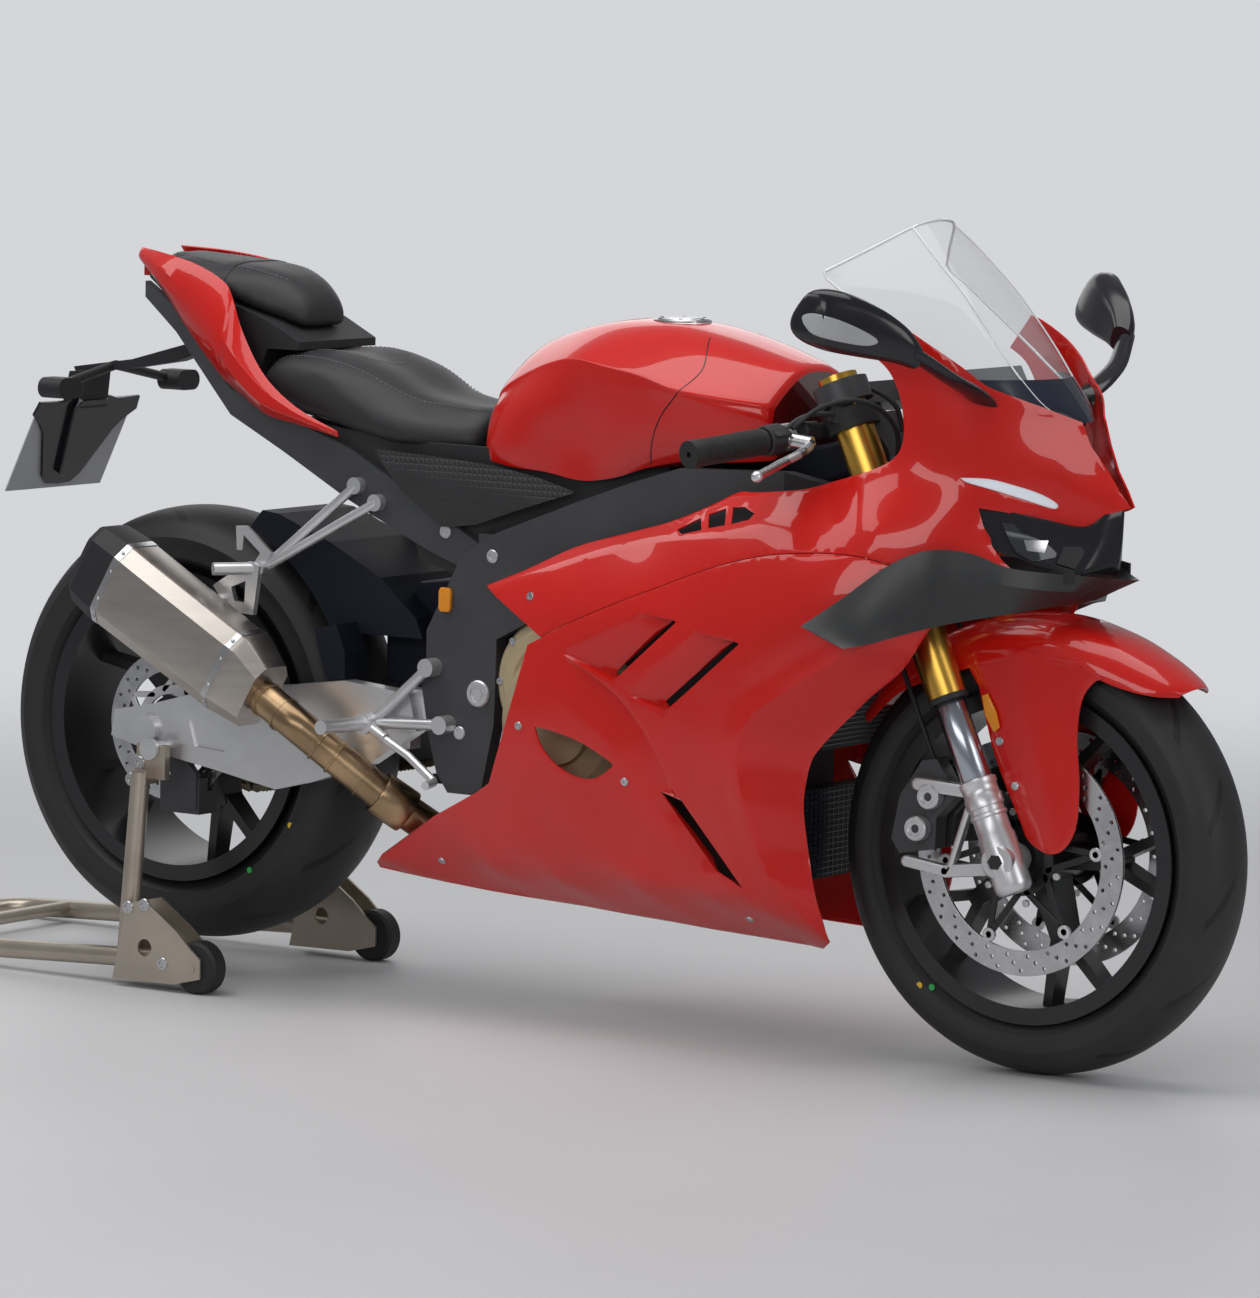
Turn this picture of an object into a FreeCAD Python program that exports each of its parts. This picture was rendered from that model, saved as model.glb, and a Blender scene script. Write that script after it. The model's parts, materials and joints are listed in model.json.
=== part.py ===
"""A faired sport motorcycle parked upright on a rear paddock stand.

Shapes are drawn in a bike frame: X forward from the rear axle, Y to the rider's left, Z up from the
floor, in millimetres. Each piece is then placed so that the whole model is centred over its origin.
"""
import FreeCAD
import Part
import Sketcher
import math
import os

Vec = FreeCAD.Vector
doc = FreeCAD.newDocument("SportBike")

# Driving dimensions: (name, value)
SIZES = (
    ("wheelbase", 1430),
    ("stand_handle_reach", 566),
    ("stand_lift", 46),
    ("front_tyre_radius", 300),
    ("front_tyre_width", 122),
    ("rear_tyre_radius", 318),
    ("rear_tyre_width", 185),
    ("rim_seat_radius", 214),
    ("rim_lip_radius", 227.5),
    ("front_rim_half", 50),
    ("rear_rim_half", 80),
    ("rake_deg", 24),
    ("trail", 98),
    ("fork_spread", 105),
    ("fork_upper_radius", 27),
    ("fork_lower_radius", 21.5),
    ("stem_radius", 17),
    ("axle_radius", 12.5),
    ("running_fit", 0.05),
    ("front_disc_radius", 160),
    ("rear_disc_radius", 110),
    ("disc_thickness", 4.5),
    ("front_disc_y", 64),
    ("rear_disc_y", 89),
    ("chain_y", 110),
    ("chain_width", 17),
    ("rear_sprocket_radius", 109),
    ("front_sprocket_radius", 40),
    ("panel_wall", 3.5),
    ("seat_gap", 0.4),
    ("frame_plate_in", 123),
    ("frame_plate_out", 147),
    ("arm_in", 119.3),
    ("arm_out", 146),
    ("engine_length", 390),
    ("engine_width", 215),
    ("engine_height", 400),
    ("can_y", 214),
    ("stand_half_width", 210),
    ("stand_tube_radius", 14),
    ("roller_radius", 38),
    ("roller_width", 30),
    ("bar_end_y", 350),
    ("grip_radius", 17),
    ("plate_width", 220),
    ("plate_height", 150),
    ("mirror_half_span", 388),
    ("tail_light_width", 80),
    ("dash_width", 164),
    ("dash_height", 92),
    ("fuel_cap_radius", 41.6),
    ("fuel_flap_radius", 26),
    ("roller_pin_radius", 6),
    ("hose_radius", 3.5),
)
# Sizes that follow from the ones above: (name, formula)
DERIVED = (
    ("front_bead", "=front_rim_half"),
    ("rear_bead", "=rear_rim_half"),
    ("front_shoulder", "=front_tyre_radius - 0.2 * front_tyre_width"),
    ("rear_shoulder", "=rear_tyre_radius - 0.2 * rear_tyre_width"),
    ("front_side", "=(rim_lip_radius + front_shoulder) / 2"),
    ("rear_side", "=(rim_lip_radius + rear_shoulder) / 2"),
    ("roller_bore", "=roller_pin_radius + running_fit"),
)

sheet = doc.addObject("Spreadsheet::Sheet", "Sizes")
for row, (alias, value) in enumerate(SIZES + DERIVED, start=1):
    sheet.set(f"A{row}", alias)
    sheet.set(f"B{row}", str(value))
    sheet.setAlias(f"B{row}", alias)
doc.recompute()


def size(alias):
    """The value that the sheet holds under a name."""
    return float(sheet.get(alias))


WHEELBASE = size("wheelbase")
REAR_AXLE = Vec(0, 0, size("rear_tyre_radius") + size("stand_lift"))
FRONT_AXLE = Vec(WHEELBASE, 0, size("front_tyre_radius"))
RAKE = math.radians(size("rake_deg"))
STEER_UP = Vec(-math.sin(RAKE), 0, math.cos(RAKE))
STEER_FRONT = Vec(math.cos(RAKE), 0, math.sin(RAKE))
STEER_FOOT = Vec(WHEELBASE + size("trail"), 0, 0)
FORK_LEAN = FreeCAD.Rotation(Vec(0, 1, 0), -size("rake_deg"))
HANDLE_X = -size("stand_handle_reach")
SHIFT = Vec(-(WHEELBASE + size("front_tyre_radius") + HANDLE_X) / 2, 0, 0)
WALL = size("panel_wall")
GAP = size("seat_gap")
PLATE_IN = size("frame_plate_in")
PLATE_OUT = size("frame_plate_out")
ARM_IN = size("arm_in")
ARM_OUT = size("arm_out")
Y_AXIS = Vec(0, 1, 0)
NODES = []


def steer_point(along, ahead=0, side=0):
    """A point so far up the steering axis, ahead of it and to its side."""
    return STEER_FOOT + STEER_UP * along + STEER_FRONT * ahead + Vec(0, side, 0)


AXLE_ALONG = (FRONT_AXLE - STEER_FOOT).dot(STEER_UP)
FORK_AHEAD = (FRONT_AXLE - STEER_FOOT).dot(STEER_FRONT)


def fork_point(along_fork, side):
    """A point on a fork leg's centre line, measured up from the axle."""
    return FRONT_AXLE + STEER_UP * along_fork + Vec(0, side, 0)


def piece(label, shape):
    """A sub-part whose shape comes from the functions below."""
    part = doc.addObject("Part::Feature", label)
    part.Shape = shape
    part.Placement = FreeCAD.Placement(SHIFT, FreeCAD.Rotation()).multiply(shape.Placement)
    part.Label = label
    NODES.append(part)
    return part


def box_node(label, extents, corner, lean=0):
    """A plain box from its low corner, whose length, width and height are formulas on the sheet."""
    box = doc.addObject("Part::Box", label)
    for side, formula in zip(("Length", "Width", "Height"), extents):
        box.setExpression(side, formula)
    box.Placement = FreeCAD.Placement(corner + SHIFT, FreeCAD.Rotation(Y_AXIS, lean))
    doc.recompute()
    NODES.append(box)
    return box.Shape.translated(SHIFT * -1)


def value_of(formula):
    """What a formula on the sheet's names comes to."""
    return float(sheet.evalExpression(formula))


def hold_point(sketch, curve, end, place):
    """Ties a sketch point to its two formulas, measured from the sketch's origin."""
    for kind, axis, formula in (("DistanceX", -2, place[0]), ("DistanceY", -1, place[1])):
        if formula == "0":
            sketch.addConstraint(Sketcher.Constraint("PointOnObject", curve, end, axis))
        else:
            number = sketch.addConstraint(Sketcher.Constraint(kind, -1, 1, curve, end, value_of(formula)))
            sketch.setExpression(f"Constraints[{number}]", formula)


def turned_body(label, centre, plane, corners, bulges=None):
    """A body turned about its sketch's upright axis.

    Corners are pairs of formulas: the distance from the axis and the place along it. A bulge names
    the corner that an arc starts from, and a place that the arc runs through.
    """
    bulges = bulges or {}
    body = doc.addObject("PartDesign::Body", label)
    body.Label = label
    body.Placement = FreeCAD.Placement(centre + SHIFT, FreeCAD.Rotation())
    sketch = body.newObject("Sketcher::SketchObject", label + "_profile")
    sketch.AttachmentSupport = (next(item for item in body.Origin.OriginFeatures if item.Role == plane), [""])
    sketch.MapMode = "FlatFace"
    places = [Vec(value_of(out), value_of(along), 0) for out, along in corners]
    ends = []
    for number, start in enumerate(places):
        stop = places[(number + 1) % len(places)]
        if number in bulges:
            middle = Vec(value_of(bulges[number][0]), value_of(bulges[number][1]), 0)
            curve = sketch.addGeometry(Part.Arc(start, middle, stop), False)
        else:
            curve = sketch.addGeometry(Part.LineSegment(start, stop), False)
        near_end = 1 if (sketch.getPoint(curve, 1) - start).Length < 1e-6 else 2
        ends.append((curve, near_end, 3 - near_end))
    for number, (curve, near_end, far_end) in enumerate(ends):
        after, after_end, _ = ends[(number + 1) % len(ends)]
        sketch.addConstraint(Sketcher.Constraint("Coincident", curve, far_end, after, after_end))
        hold_point(sketch, curve, near_end, corners[number])
    for number, place in bulges.items():
        spot = sketch.addGeometry(Part.Point(Vec(value_of(place[0]), value_of(place[1]), 0)), True)
        sketch.addConstraint(Sketcher.Constraint("PointOnObject", spot, 1, ends[number][0]))
        hold_point(sketch, spot, 1, place)
    turn = body.newObject("PartDesign::Revolution", label + "_turn")
    turn.Profile = (sketch, [""])
    turn.ReferenceAxis = (sketch, ["V_Axis"])
    turn.Angle = 360
    body.Tip = turn
    doc.recompute()
    NODES.append(body)
    return body


def rod(start, end, radius):
    """A round bar from one point to another."""
    along = end - start
    return Part.makeCylinder(radius, along.Length, start, along)


def block(x_range, y_range, z_range):
    """A box between three pairs of limits."""
    low = Vec(x_range[0], y_range[0], z_range[0])
    return Part.makeBox(x_range[1] - x_range[0], y_range[1] - y_range[0], z_range[1] - z_range[0], low)


def plate_xz(outline, y_low, y_high):
    """A side-view outline of (x, z) points, given its thickness across the bike."""
    points = [Vec(x, y_low, z) for x, z in outline]
    face = Part.Face(Part.makePolygon(points + points[:1]))
    return face.extrude(Vec(0, y_high - y_low, 0))


def bar_xz(start, end, half, y_low, y_high):
    """A flat bar with round ends between two (x, z) places."""
    length = math.hypot(end[0] - start[0], end[1] - start[1])
    across = (-(end[1] - start[1]) * half / length, (end[0] - start[0]) * half / length)
    outline = [(start[0] + across[0], start[1] + across[1]), (end[0] + across[0], end[1] + across[1]),
               (end[0] - across[0], end[1] - across[1]), (start[0] - across[0], start[1] - across[1])]
    ends = [Part.makeCylinder(half, y_high - y_low, Vec(x, y_low, z), Y_AXIS) for x, z in (start, end)]
    return fuse([plate_xz(outline, y_low, y_high)] + ends)


def fuse(shapes):
    """Several overlapping shapes made one."""
    joined = shapes[0].multiFuse(shapes[1:])
    return joined.removeSplitter()


def mirror(shape):
    """The same shape on the other side of the bike."""
    return shape.mirror(Vec(0, 0, 0), Y_AXIS)


def pair(shape):
    """A right piece and its left twin, which don't touch."""
    return Part.makeCompound([shape, mirror(shape)])


def tube(points, radius, bend):
    """A bent tube: straight runs joined by tangent arcs of one bend radius."""
    edges = []
    start = points[0]
    for corner, after in zip(points[1:-1], points[2:]):
        into = (corner - start).normalize()
        out_of = (after - corner).normalize()
        half_turn = into.getAngle(out_of) / 2
        reach = bend * math.tan(half_turn)
        first = corner - into * reach
        last = corner + out_of * reach
        to_centre = (out_of - into).normalize()
        centre = corner + to_centre * (bend / math.cos(half_turn))
        middle = centre - to_centre * bend
        edges.append(Part.LineSegment(start, first).toShape())
        edges.append(Part.Arc(first, middle, last).toShape())
        start = last
    edges.append(Part.LineSegment(start, points[-1]).toShape())
    path = Part.Wire(edges)
    ring = Part.Wire(Part.makeCircle(radius, points[0], points[1] - points[0]))
    return path.makePipeShell([ring], True, False)


def loft(sections):
    """A ruled solid through closed polygons with the same number of corners."""
    wires = [Part.makePolygon(list(points) + [points[0]]) for points in sections]
    return Part.makeLoft(wires, True, True)


def inset(line, wall):
    """An open line of (a, b) points moved by the wall to its right-hand side, mitred at its corners."""
    normals = []
    for (a0, b0), (a1, b1) in zip(line, line[1:]):
        length = math.hypot(a1 - a0, b1 - b0)
        normals.append(((b1 - b0) / length, -(a1 - a0) / length))
    moved = []
    for i, (a, b) in enumerate(line):
        before = normals[max(i - 1, 0)]
        after = normals[min(i, len(normals) - 1)]
        scale = wall / (1 + before[0] * after[0] + before[1] * after[1])
        moved.append((a + (before[0] + after[0]) * scale, b + (before[1] + after[1]) * scale))
    return moved


def side_shell(stations, wall):
    """The right-hand skin through stations of (x, [(half width, z) from top to bottom])."""
    sections = []
    for x, line in stations:
        outer = [Vec(x, -y, z) for y, z in line]
        inner = [Vec(x, -y, z) for y, z in inset(line, -wall)]
        sections.append(outer + inner[::-1])
    return loft(sections)


def side_fill(stations):
    """Everything between the centre plane and the right-hand skin."""
    sections = []
    for x, line in stations:
        outer = [Vec(x, -y, z) for y, z in line]
        sections.append([Vec(x, 0, line[0][1])] + outer + [Vec(x, 0, line[-1][1])])
    return loft(sections)


def between(table, x):
    """The values of a table's columns at x, in a straight line between its rows."""
    for low, high in zip(table, table[1:]):
        if low[0] <= x <= high[0]:
            share = (x - low[0]) / (high[0] - low[0])
            return [a + (b - a) * share for a, b in zip(low[1:], high[1:])]
    raise ValueError(f"no row for x = {x}")


def stay_bolt(x, z, radius, fill, carrier):
    """A boss from the piece that carries a panel to that panel's skin."""
    boss = Part.makeCylinder(radius, 300, Vec(x, 0, z), Vec(0, -1, 0))
    boss = boss.common(fill).cut(carrier)
    return max(boss.Solids, key=lambda solid: -solid.CenterOfMass.y)


# Wheels

def tyre(end, centre):
    """A tyre: beads, round sidewalls and a round crown."""
    seat, lip, bead = "Sizes.rim_seat_radius", "Sizes.rim_lip_radius", f"Sizes.{end}_bead"
    crown, shoulder, wall = f"Sizes.{end}_tyre_radius", f"Sizes.{end}_shoulder", f"Sizes.{end}_side"
    half = f"Sizes.{end}_tyre_width / 2"
    corners = [(seat, f"-{bead}"), (lip, f"-{bead}"), (shoulder, f"-0.9 * {half}"),
               (shoulder, f"0.9 * {half}"), (lip, bead), (seat, bead)]
    bulges = {1: (wall, f"-{half}"), 2: (crown, "0"), 3: (wall, half)}
    return turned_body(f"{end}_tyre", centre, "XY_Plane", corners, bulges)


def ring(inner, outer, y_low, y_high):
    """A flat-faced ring about the Y axis."""
    outline = [Vec(inner, y_low, 0), Vec(outer, y_low, 0), Vec(outer, y_high, 0), Vec(inner, y_high, 0)]
    face = Part.Face(Part.makePolygon(outline + outline[:1]))
    return face.revolve(Vec(0, 0, 0), Y_AXIS, 360)


def spoke(angles, radii, wides, halves):
    """One tapered bar of a wheel, from its inner radius and angle to its outer ones."""
    sections = []
    for angle, radius, wide, half in zip(angles, radii, wides, halves):
        theta = math.radians(angle)
        out = Vec(math.cos(theta), 0, math.sin(theta))
        across = Vec(-math.sin(theta), 0, math.cos(theta))
        sections.append([out * radius + across * w + Vec(0, y, 0)
                         for w, y in ((-wide, -half), (wide, -half), (wide, half), (-wide, half))])
    return loft(sections)


SPOKES = 5
SPOKE_LEAN = 13


def rim(bead, hub_half, hub_radius, bore):
    """A barrel with two lips and a bored hub, joined by forked spokes."""
    seat = size("rim_seat_radius") - GAP
    lip = size("rim_lip_radius")
    lip_in = bead + GAP
    parts = [
        ring(seat - 9, seat, -lip_in - 1, lip_in + 1),
        ring(seat - 9, lip, lip_in, lip_in + 5),
        ring(seat - 9, lip, -lip_in - 5, -lip_in),
        ring(bore, hub_radius, -hub_half, hub_half),
    ]
    fork_r = (hub_radius + seat) / 2
    for number in range(SPOKES):
        middle = number * 360 / SPOKES
        parts.append(spoke((middle, middle), (hub_radius - 6, fork_r), (17, 11), (26, 21)))
        for lean in (-SPOKE_LEAN, SPOKE_LEAN):
            branch_angles = (middle + 0.15 * lean, middle + lean)
            parts.append(spoke(branch_angles, (fork_r - 14, seat - 5), (8, 7), (20, 16)))
    return fuse(parts)


bore_radius = size("axle_radius") + size("running_fit")
half_disc = size("disc_thickness") / 2
front_disc_in = size("front_disc_y") - half_disc
tyre("front", FRONT_AXLE)
piece("front_rim", rim(size("front_rim_half"), front_disc_in, 42, bore_radius).translated(FRONT_AXLE))
tyre("rear", REAR_AXLE)
rear_disc_out = -size("rear_disc_y") - half_disc
rear_disc_in = rear_disc_out + size("disc_thickness")
sprocket_half = 3
sprocket_in = size("chain_y") - sprocket_half
rear_rim = rim(size("rear_rim_half"), 84, 40, bore_radius)
rear_rim = fuse([rear_rim, ring(bore_radius, 44, rear_disc_in, -60), ring(bore_radius, 62, 60, sprocket_in)])
piece("rear_rim", rear_rim.translated(REAR_AXLE))


def brake_disc(radius, band, hub_in, y_low, button):
    """A drilled braking band on pairs of arms from its hub ring, with a button over each joint."""
    thick = size("disc_thickness")
    holes = []
    for row, share in enumerate((0.28, 0.72)):
        for number in range(DISC_HOLES):
            theta = 2 * math.pi * (number + row / 2) / DISC_HOLES
            out = Vec(math.cos(theta), 0, math.sin(theta))
            holes.append(Part.makeCylinder(HOLE_RADIUS, thick + 2, out * (radius - band * share)
                                           + Vec(0, y_low - 1, 0), Y_AXIS))
    drilled = ring(radius - band, radius, y_low, y_low + thick).cut(Part.makeCompound(holes))
    parts = [drilled, ring(hub_in, hub_in + 14, y_low, y_low + thick)]
    reach = radius - band + 4
    for number in range(DISC_ARMS):
        for side in (-1, 1):
            arm = spoke((side * 16, side * 4), (hub_in + 8, reach), (5, 5), (thick / 2, thick / 2))
            arm = arm.translated(Vec(0, y_low + thick / 2, 0))
            parts.append(arm.rotated(Vec(0, 0, 0), Y_AXIS, number * 360 / DISC_ARMS))
        joint = Part.makeCylinder(9, thick + button, Vec(reach - 4, y_low - button, 0), Y_AXIS)
        parts.append(joint.rotated(Vec(0, 0, 0), Y_AXIS, number * 360 / DISC_ARMS))
    return fuse(parts)


DISC_HOLES = 18
HOLE_RADIUS = 3.4
DISC_ARMS = 6
BUTTON = 1
front_disc = brake_disc(size("front_disc_radius"), 35, 36, -size("front_disc_y") - half_disc, BUTTON)
piece("front_discs", pair(front_disc).translated(FRONT_AXLE))
piece("rear_disc", brake_disc(size("rear_disc_radius"), 30, 45, rear_disc_out, 0).translated(REAR_AXLE))


def sprocket(radius, teeth, hub_in, y_low, y_high, windows):
    """A toothed ring: straight-flanked teeth round a body with a circle of round windows."""
    outline = []
    step = 2 * math.pi / teeth
    for tooth in range(teeth):
        for share, r in ((0.0, radius - 5), (0.22, radius - 5), (0.42, radius + 4), (0.58, radius + 4),
                         (0.78, radius - 5)):
            theta = (tooth + share) * step
            outline.append(Vec(r * math.cos(theta), y_low, r * math.sin(theta)))
    body = Part.Face(Part.makePolygon(outline + outline[:1])).extrude(Vec(0, y_high - y_low, 0))
    body = body.cut(Part.makeCylinder(hub_in, y_high - y_low + 2, Vec(0, y_low - 1, 0), Y_AXIS))
    for number in range(windows):
        theta = math.radians(number * 360 / windows)
        hole = Vec(math.cos(theta), 0, math.sin(theta)) * (hub_in + (radius - hub_in) * 0.55)
        body = body.cut(Part.makeCylinder(13, y_high - y_low + 2, hole + Vec(0, y_low - 1, 0), Y_AXIS))
    return body


piece("rear_sprocket", sprocket(size("rear_sprocket_radius"), 43, 44, sprocket_in, sprocket_in + 6, 5)
      .translated(REAR_AXLE))

# Drive chain: two bands of link plates, joined by pins on the straight runs

FRONT_SPROCKET = Vec(662, 0, 430)
ENGINE_RIGHT = 120
ENGINE_LEFT = size("engine_width") - ENGINE_RIGHT


def chain_loop(growth):
    """The chain's side view as a face, grown from its pitch line by some millimetres."""
    big = size("rear_sprocket_radius") + growth
    small = size("front_sprocket_radius") + growth
    spread = FRONT_SPROCKET - REAR_AXLE
    tilt = math.atan2(spread.z, spread.x)
    lean = math.acos((big - small) / spread.Length)

    def on(centre, radius, angle):
        return centre + Vec(radius * math.cos(angle), 0, radius * math.sin(angle))

    top_rear = on(REAR_AXLE, big, tilt + lean)
    low_rear = on(REAR_AXLE, big, tilt - lean)
    top_front = on(FRONT_SPROCKET, small, tilt + lean)
    low_front = on(FRONT_SPROCKET, small, tilt - lean)
    edges = [
        Part.makeLine(top_rear, top_front),
        Part.Arc(top_front, on(FRONT_SPROCKET, small, tilt), low_front).toShape(),
        Part.makeLine(low_front, low_rear),
        Part.Arc(low_rear, on(REAR_AXLE, big, tilt + math.pi), top_rear).toShape(),
    ]
    return Part.Face(Part.Wire(edges)), (top_rear, top_front, low_rear, low_front)


def chain():
    """The fixed loop of chain."""
    half = size("chain_width") / 2
    plate = 3
    plate_in = sprocket_half + 0.6
    outer, _ = chain_loop(7)
    inner, _ = chain_loop(-7)
    band = outer.cut(inner)
    parts = []
    for y in (size("chain_y") - plate_in - plate, size("chain_y") + plate_in):
        parts.append(band.translated(Vec(0, y, 0)).extrude(Vec(0, plate, 0)))
    _, (top_rear, top_front, low_rear, low_front) = chain_loop(0)
    across = Vec(0, size("chain_y") - half, 0)
    for start, end in ((top_rear, top_front), (low_rear, low_front)):
        for share in (0.28, 0.4, 0.52, 0.64, 0.76, 0.88):
            pin = start + (end - start) * share + across
            parts.append(rod(pin, pin + Vec(0, 2 * half, 0), 4.5))
    return fuse(parts)


drive_chain = chain()
piece("drive_chain", drive_chain)
front_sprocket = sprocket(size("front_sprocket_radius"), 16, 12, sprocket_in, sprocket_in + 6, 0)
front_shaft = rod(Vec(0, ENGINE_LEFT, 0), Vec(0, sprocket_in + 10, 0), 13)
piece("front_sprocket", fuse([front_sprocket, front_shaft]).translated(FRONT_SPROCKET))

# Main frame: two spars from the steering head to the swingarm plates

# x, inner half width, outer half width, lower z, upper z
SPAR = (
    (500, PLATE_IN, PLATE_OUT, 470, 545),
    (560, PLATE_IN, PLATE_OUT, 470, 655),
    (620, PLATE_IN, PLATE_OUT, 540, 690),
    (760, 130, 154, 610, 742),
    (850, 131, 154, 645, 774),
    (927, 128, 152, 675, 798),
    (1079, 100, 124, 700, 800),
    (1122, 50, 78, 702, 782),
    (1150, 30, 56, 712, 790),
    (1186, 12, 36, 724, 794),
)
HEAD_LOW = 800
HEAD_HIGH = 952
PIVOT = Vec(560, 0, 440)

spar_sections = [[Vec(x, -y_in, low), Vec(x, -y_out, low), Vec(x, -y_out, high), Vec(x, -y_in, high)]
                 for x, y_in, y_out, low, high in SPAR]
spar = loft(spar_sections)
swingarm_plate = plate_xz([(500, 500), (492, 470), (505, 400), (520, 345), (540, 318), (596, 318),
                           (618, 420), (622, 600), (590, 650)], -PLATE_OUT, -PLATE_IN)
half_frame = spar.fuse(swingarm_plate)
head_tube = rod(steer_point(HEAD_LOW), steer_point(HEAD_HIGH), 34)
cross_upper = block((572, 612), (-PLATE_IN - 2, PLATE_IN + 2), (648, 684))
cross_lower = block((545, 592), (-PLATE_IN - 2, PLATE_IN + 2), (322, 350))
main_frame = fuse([half_frame, mirror(half_frame), head_tube, cross_upper, cross_lower])
stem_room = rod(steer_point(HEAD_LOW - 5), steer_point(HEAD_HIGH + 5), size("stem_radius") + 0.1)
main_frame = main_frame.cut(stem_room)

# Engine: one plain block, with the round covers that show through the fairing's openings

engine_low = Vec(638, -ENGINE_RIGHT, 236)
engine_shape = box_node("engine_block", ("Sizes.engine_length", "Sizes.engine_width", "Sizes.engine_height"),
                        engine_low)


def round_cover(centre, radius, y_face, depth):
    """A round casting with a bevelled rim and a raised middle, on the engine's right side."""
    base = Part.makeCylinder(radius, depth * 0.55, centre + Vec(0, -y_face, 0), Vec(0, -1, 0))
    bevel = Part.makeCone(radius, radius * 0.72, depth * 0.3, centre + Vec(0, -y_face - depth * 0.55, 0),
                          Vec(0, -1, 0))
    middle = Part.makeCylinder(radius * 0.45, depth * 0.15,
                               centre + Vec(0, -y_face - depth * 0.85, 0), Vec(0, -1, 0))
    return fuse([base, bevel, middle])


cover_right = round_cover(Vec(752, 0, 430), 112, ENGINE_RIGHT, 68)
cover_left = mirror(round_cover(Vec(808, 0, 400), 95, ENGINE_LEFT, 74))
piece("engine_covers", Part.makeCompound([cover_right, cover_left]))

# Swingarm with axle, pivot tube and the spools that the stand lifts

arm_outline = [(-66, 350), (-60, 388), (10, 402), (120, 432), (260, 448), (355, 462), (470, 452),
               (484, 400), (400, 345), (300, 312), (235, 296), (120, 316), (0, 334)]
arm = plate_xz(arm_outline, -ARM_OUT, -ARM_IN)
ARM_RECESS = [(88, 346), (76, 384), (163, 386), (158, 362), (142, 342)]
arm = arm.cut(plate_xz(ARM_RECESS, -ARM_OUT - 1, -ARM_OUT + 4))
neck = block((440, 565), (-ARM_IN - 2.7, -96), (408, 456))
spool = rod(Vec(28, -ARM_OUT + 1, 340), Vec(28, -172, 340), 10)
spool_cap = rod(Vec(28, -172, 340), Vec(28, -178, 340), 16)
axle_nut = rod(Vec(REAR_AXLE.x, -ARM_OUT + 1, REAR_AXLE.z), Vec(REAR_AXLE.x, -155, REAR_AXLE.z), 22)
right_spacer = rod(REAR_AXLE + Vec(0, -ARM_IN - 1, 0), REAR_AXLE + Vec(0, rear_disc_out - 1, 0), 22)
left_spacer = rod(REAR_AXLE + Vec(0, ARM_IN + 1, 0), REAR_AXLE + Vec(0, sprocket_in + 7, 0), 22)
half_arm = fuse([arm, neck, spool, spool_cap, axle_nut])
pivot_tube = rod(PIVOT + Vec(0, -PLATE_IN + GAP, 0), PIVOT + Vec(0, PLATE_IN - GAP, 0), 21)
rear_axle = rod(REAR_AXLE + Vec(0, -ARM_OUT, 0), REAR_AXLE + Vec(0, ARM_OUT, 0), size("axle_radius"))
shock_bridge = block((395, 455), (-ARM_IN - 2, -96), (370, 430))
bridge = block((400, 448), (-100, 100), (398, 436))
swingarm = fuse([half_arm, mirror(half_arm), pivot_tube, rear_axle, right_spacer, left_spacer, shock_bridge,
                 bridge])
piece("swingarm", swingarm)

# Side stand, folded back along the left side, on a lug of the frame

STAND_PIVOT = Vec(572, PLATE_OUT + 18, 338)
STAND_FOLDED = Vec(-1, 0.06, -0.17).normalize()
STAND_DOWN = Vec(0.2, 0.42, -0.885).normalize()
STAND_HINGE = STAND_FOLDED.cross(STAND_DOWN).normalize() * -1
STAND_LENGTH = 262
KNUCKLE_HALF = 11
stand_end = STAND_PIVOT + STAND_FOLDED * STAND_LENGTH
leg = rod(STAND_PIVOT + STAND_FOLDED * 4, stand_end, 10)
leg_foot = Part.makeBox(46, 30, 14, stand_end + Vec(-30, -12, -14))
knuckle_in = STAND_PIVOT - STAND_HINGE * KNUCKLE_HALF
knuckle_out = STAND_PIVOT + STAND_HINGE * KNUCKLE_HALF
side_stand = fuse([leg, leg_foot, rod(knuckle_in, knuckle_out, 15)])
pin_radius = 6
side_stand = side_stand.cut(rod(knuckle_in - STAND_HINGE * 9, knuckle_out + STAND_HINGE * 9,
                                pin_radius + size("running_fit")))
piece("side_stand", side_stand)
lug_end = knuckle_in - STAND_HINGE * GAP
lug_base = rod(Vec(572, PLATE_OUT - 2, 324), lug_end, 13)
stand_lug = fuse([lug_base.cut(rod(lug_end, lug_end + STAND_HINGE * 30, 40)),
                  rod(lug_end - STAND_HINGE * 3, knuckle_out + STAND_HINGE * 4, pin_radius)])
main_frame = fuse([main_frame, stand_lug])

piece("main_frame", main_frame)

# Rear caliper under the disc, on an arm to the axle

caliper_low = REAR_AXLE + Vec(38, 0, -96)
rear_caliper = block((-36, 36), (-116, -74), (-26, 26)).translated(caliper_low)
disc_slot = Part.makeCylinder(size("rear_disc_radius") + 6, 15, REAR_AXLE + Vec(0, -96.5, 0), Y_AXIS)
rear_caliper = rear_caliper.cut(disc_slot)
caliper_arm = plate_xz([(8, 338), (36, 338), (70, 300), (70, 250), (40, 250), (22, 300)], -ARM_IN + GAP, -108)
caliper_arm = caliper_arm.cut(Part.makeCylinder(23, 20, REAR_AXLE + Vec(0, -ARM_IN - 1, 0), Y_AXIS))
rear_caliper = fuse([rear_caliper, caliper_arm])
piece("rear_caliper", rear_caliper)

# Subframe

# x, lower z, upper z
TAIL_RAIL = (
    (-70, 985, 1008),
    (0, 938, 972),
    (123, 826, 862),
    (220, 778, 828),
    (337, 716, 790),
    (474, 655, 718),
    (566, 622, 668),
)
RAIL_IN = 96
RAIL_OUT = 116


def rail_width(x):
    """The subframe narrows towards the tail."""
    return 1.0 if x > 123 else 0.62 + 0.38 * (x + 70) / 193


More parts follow.
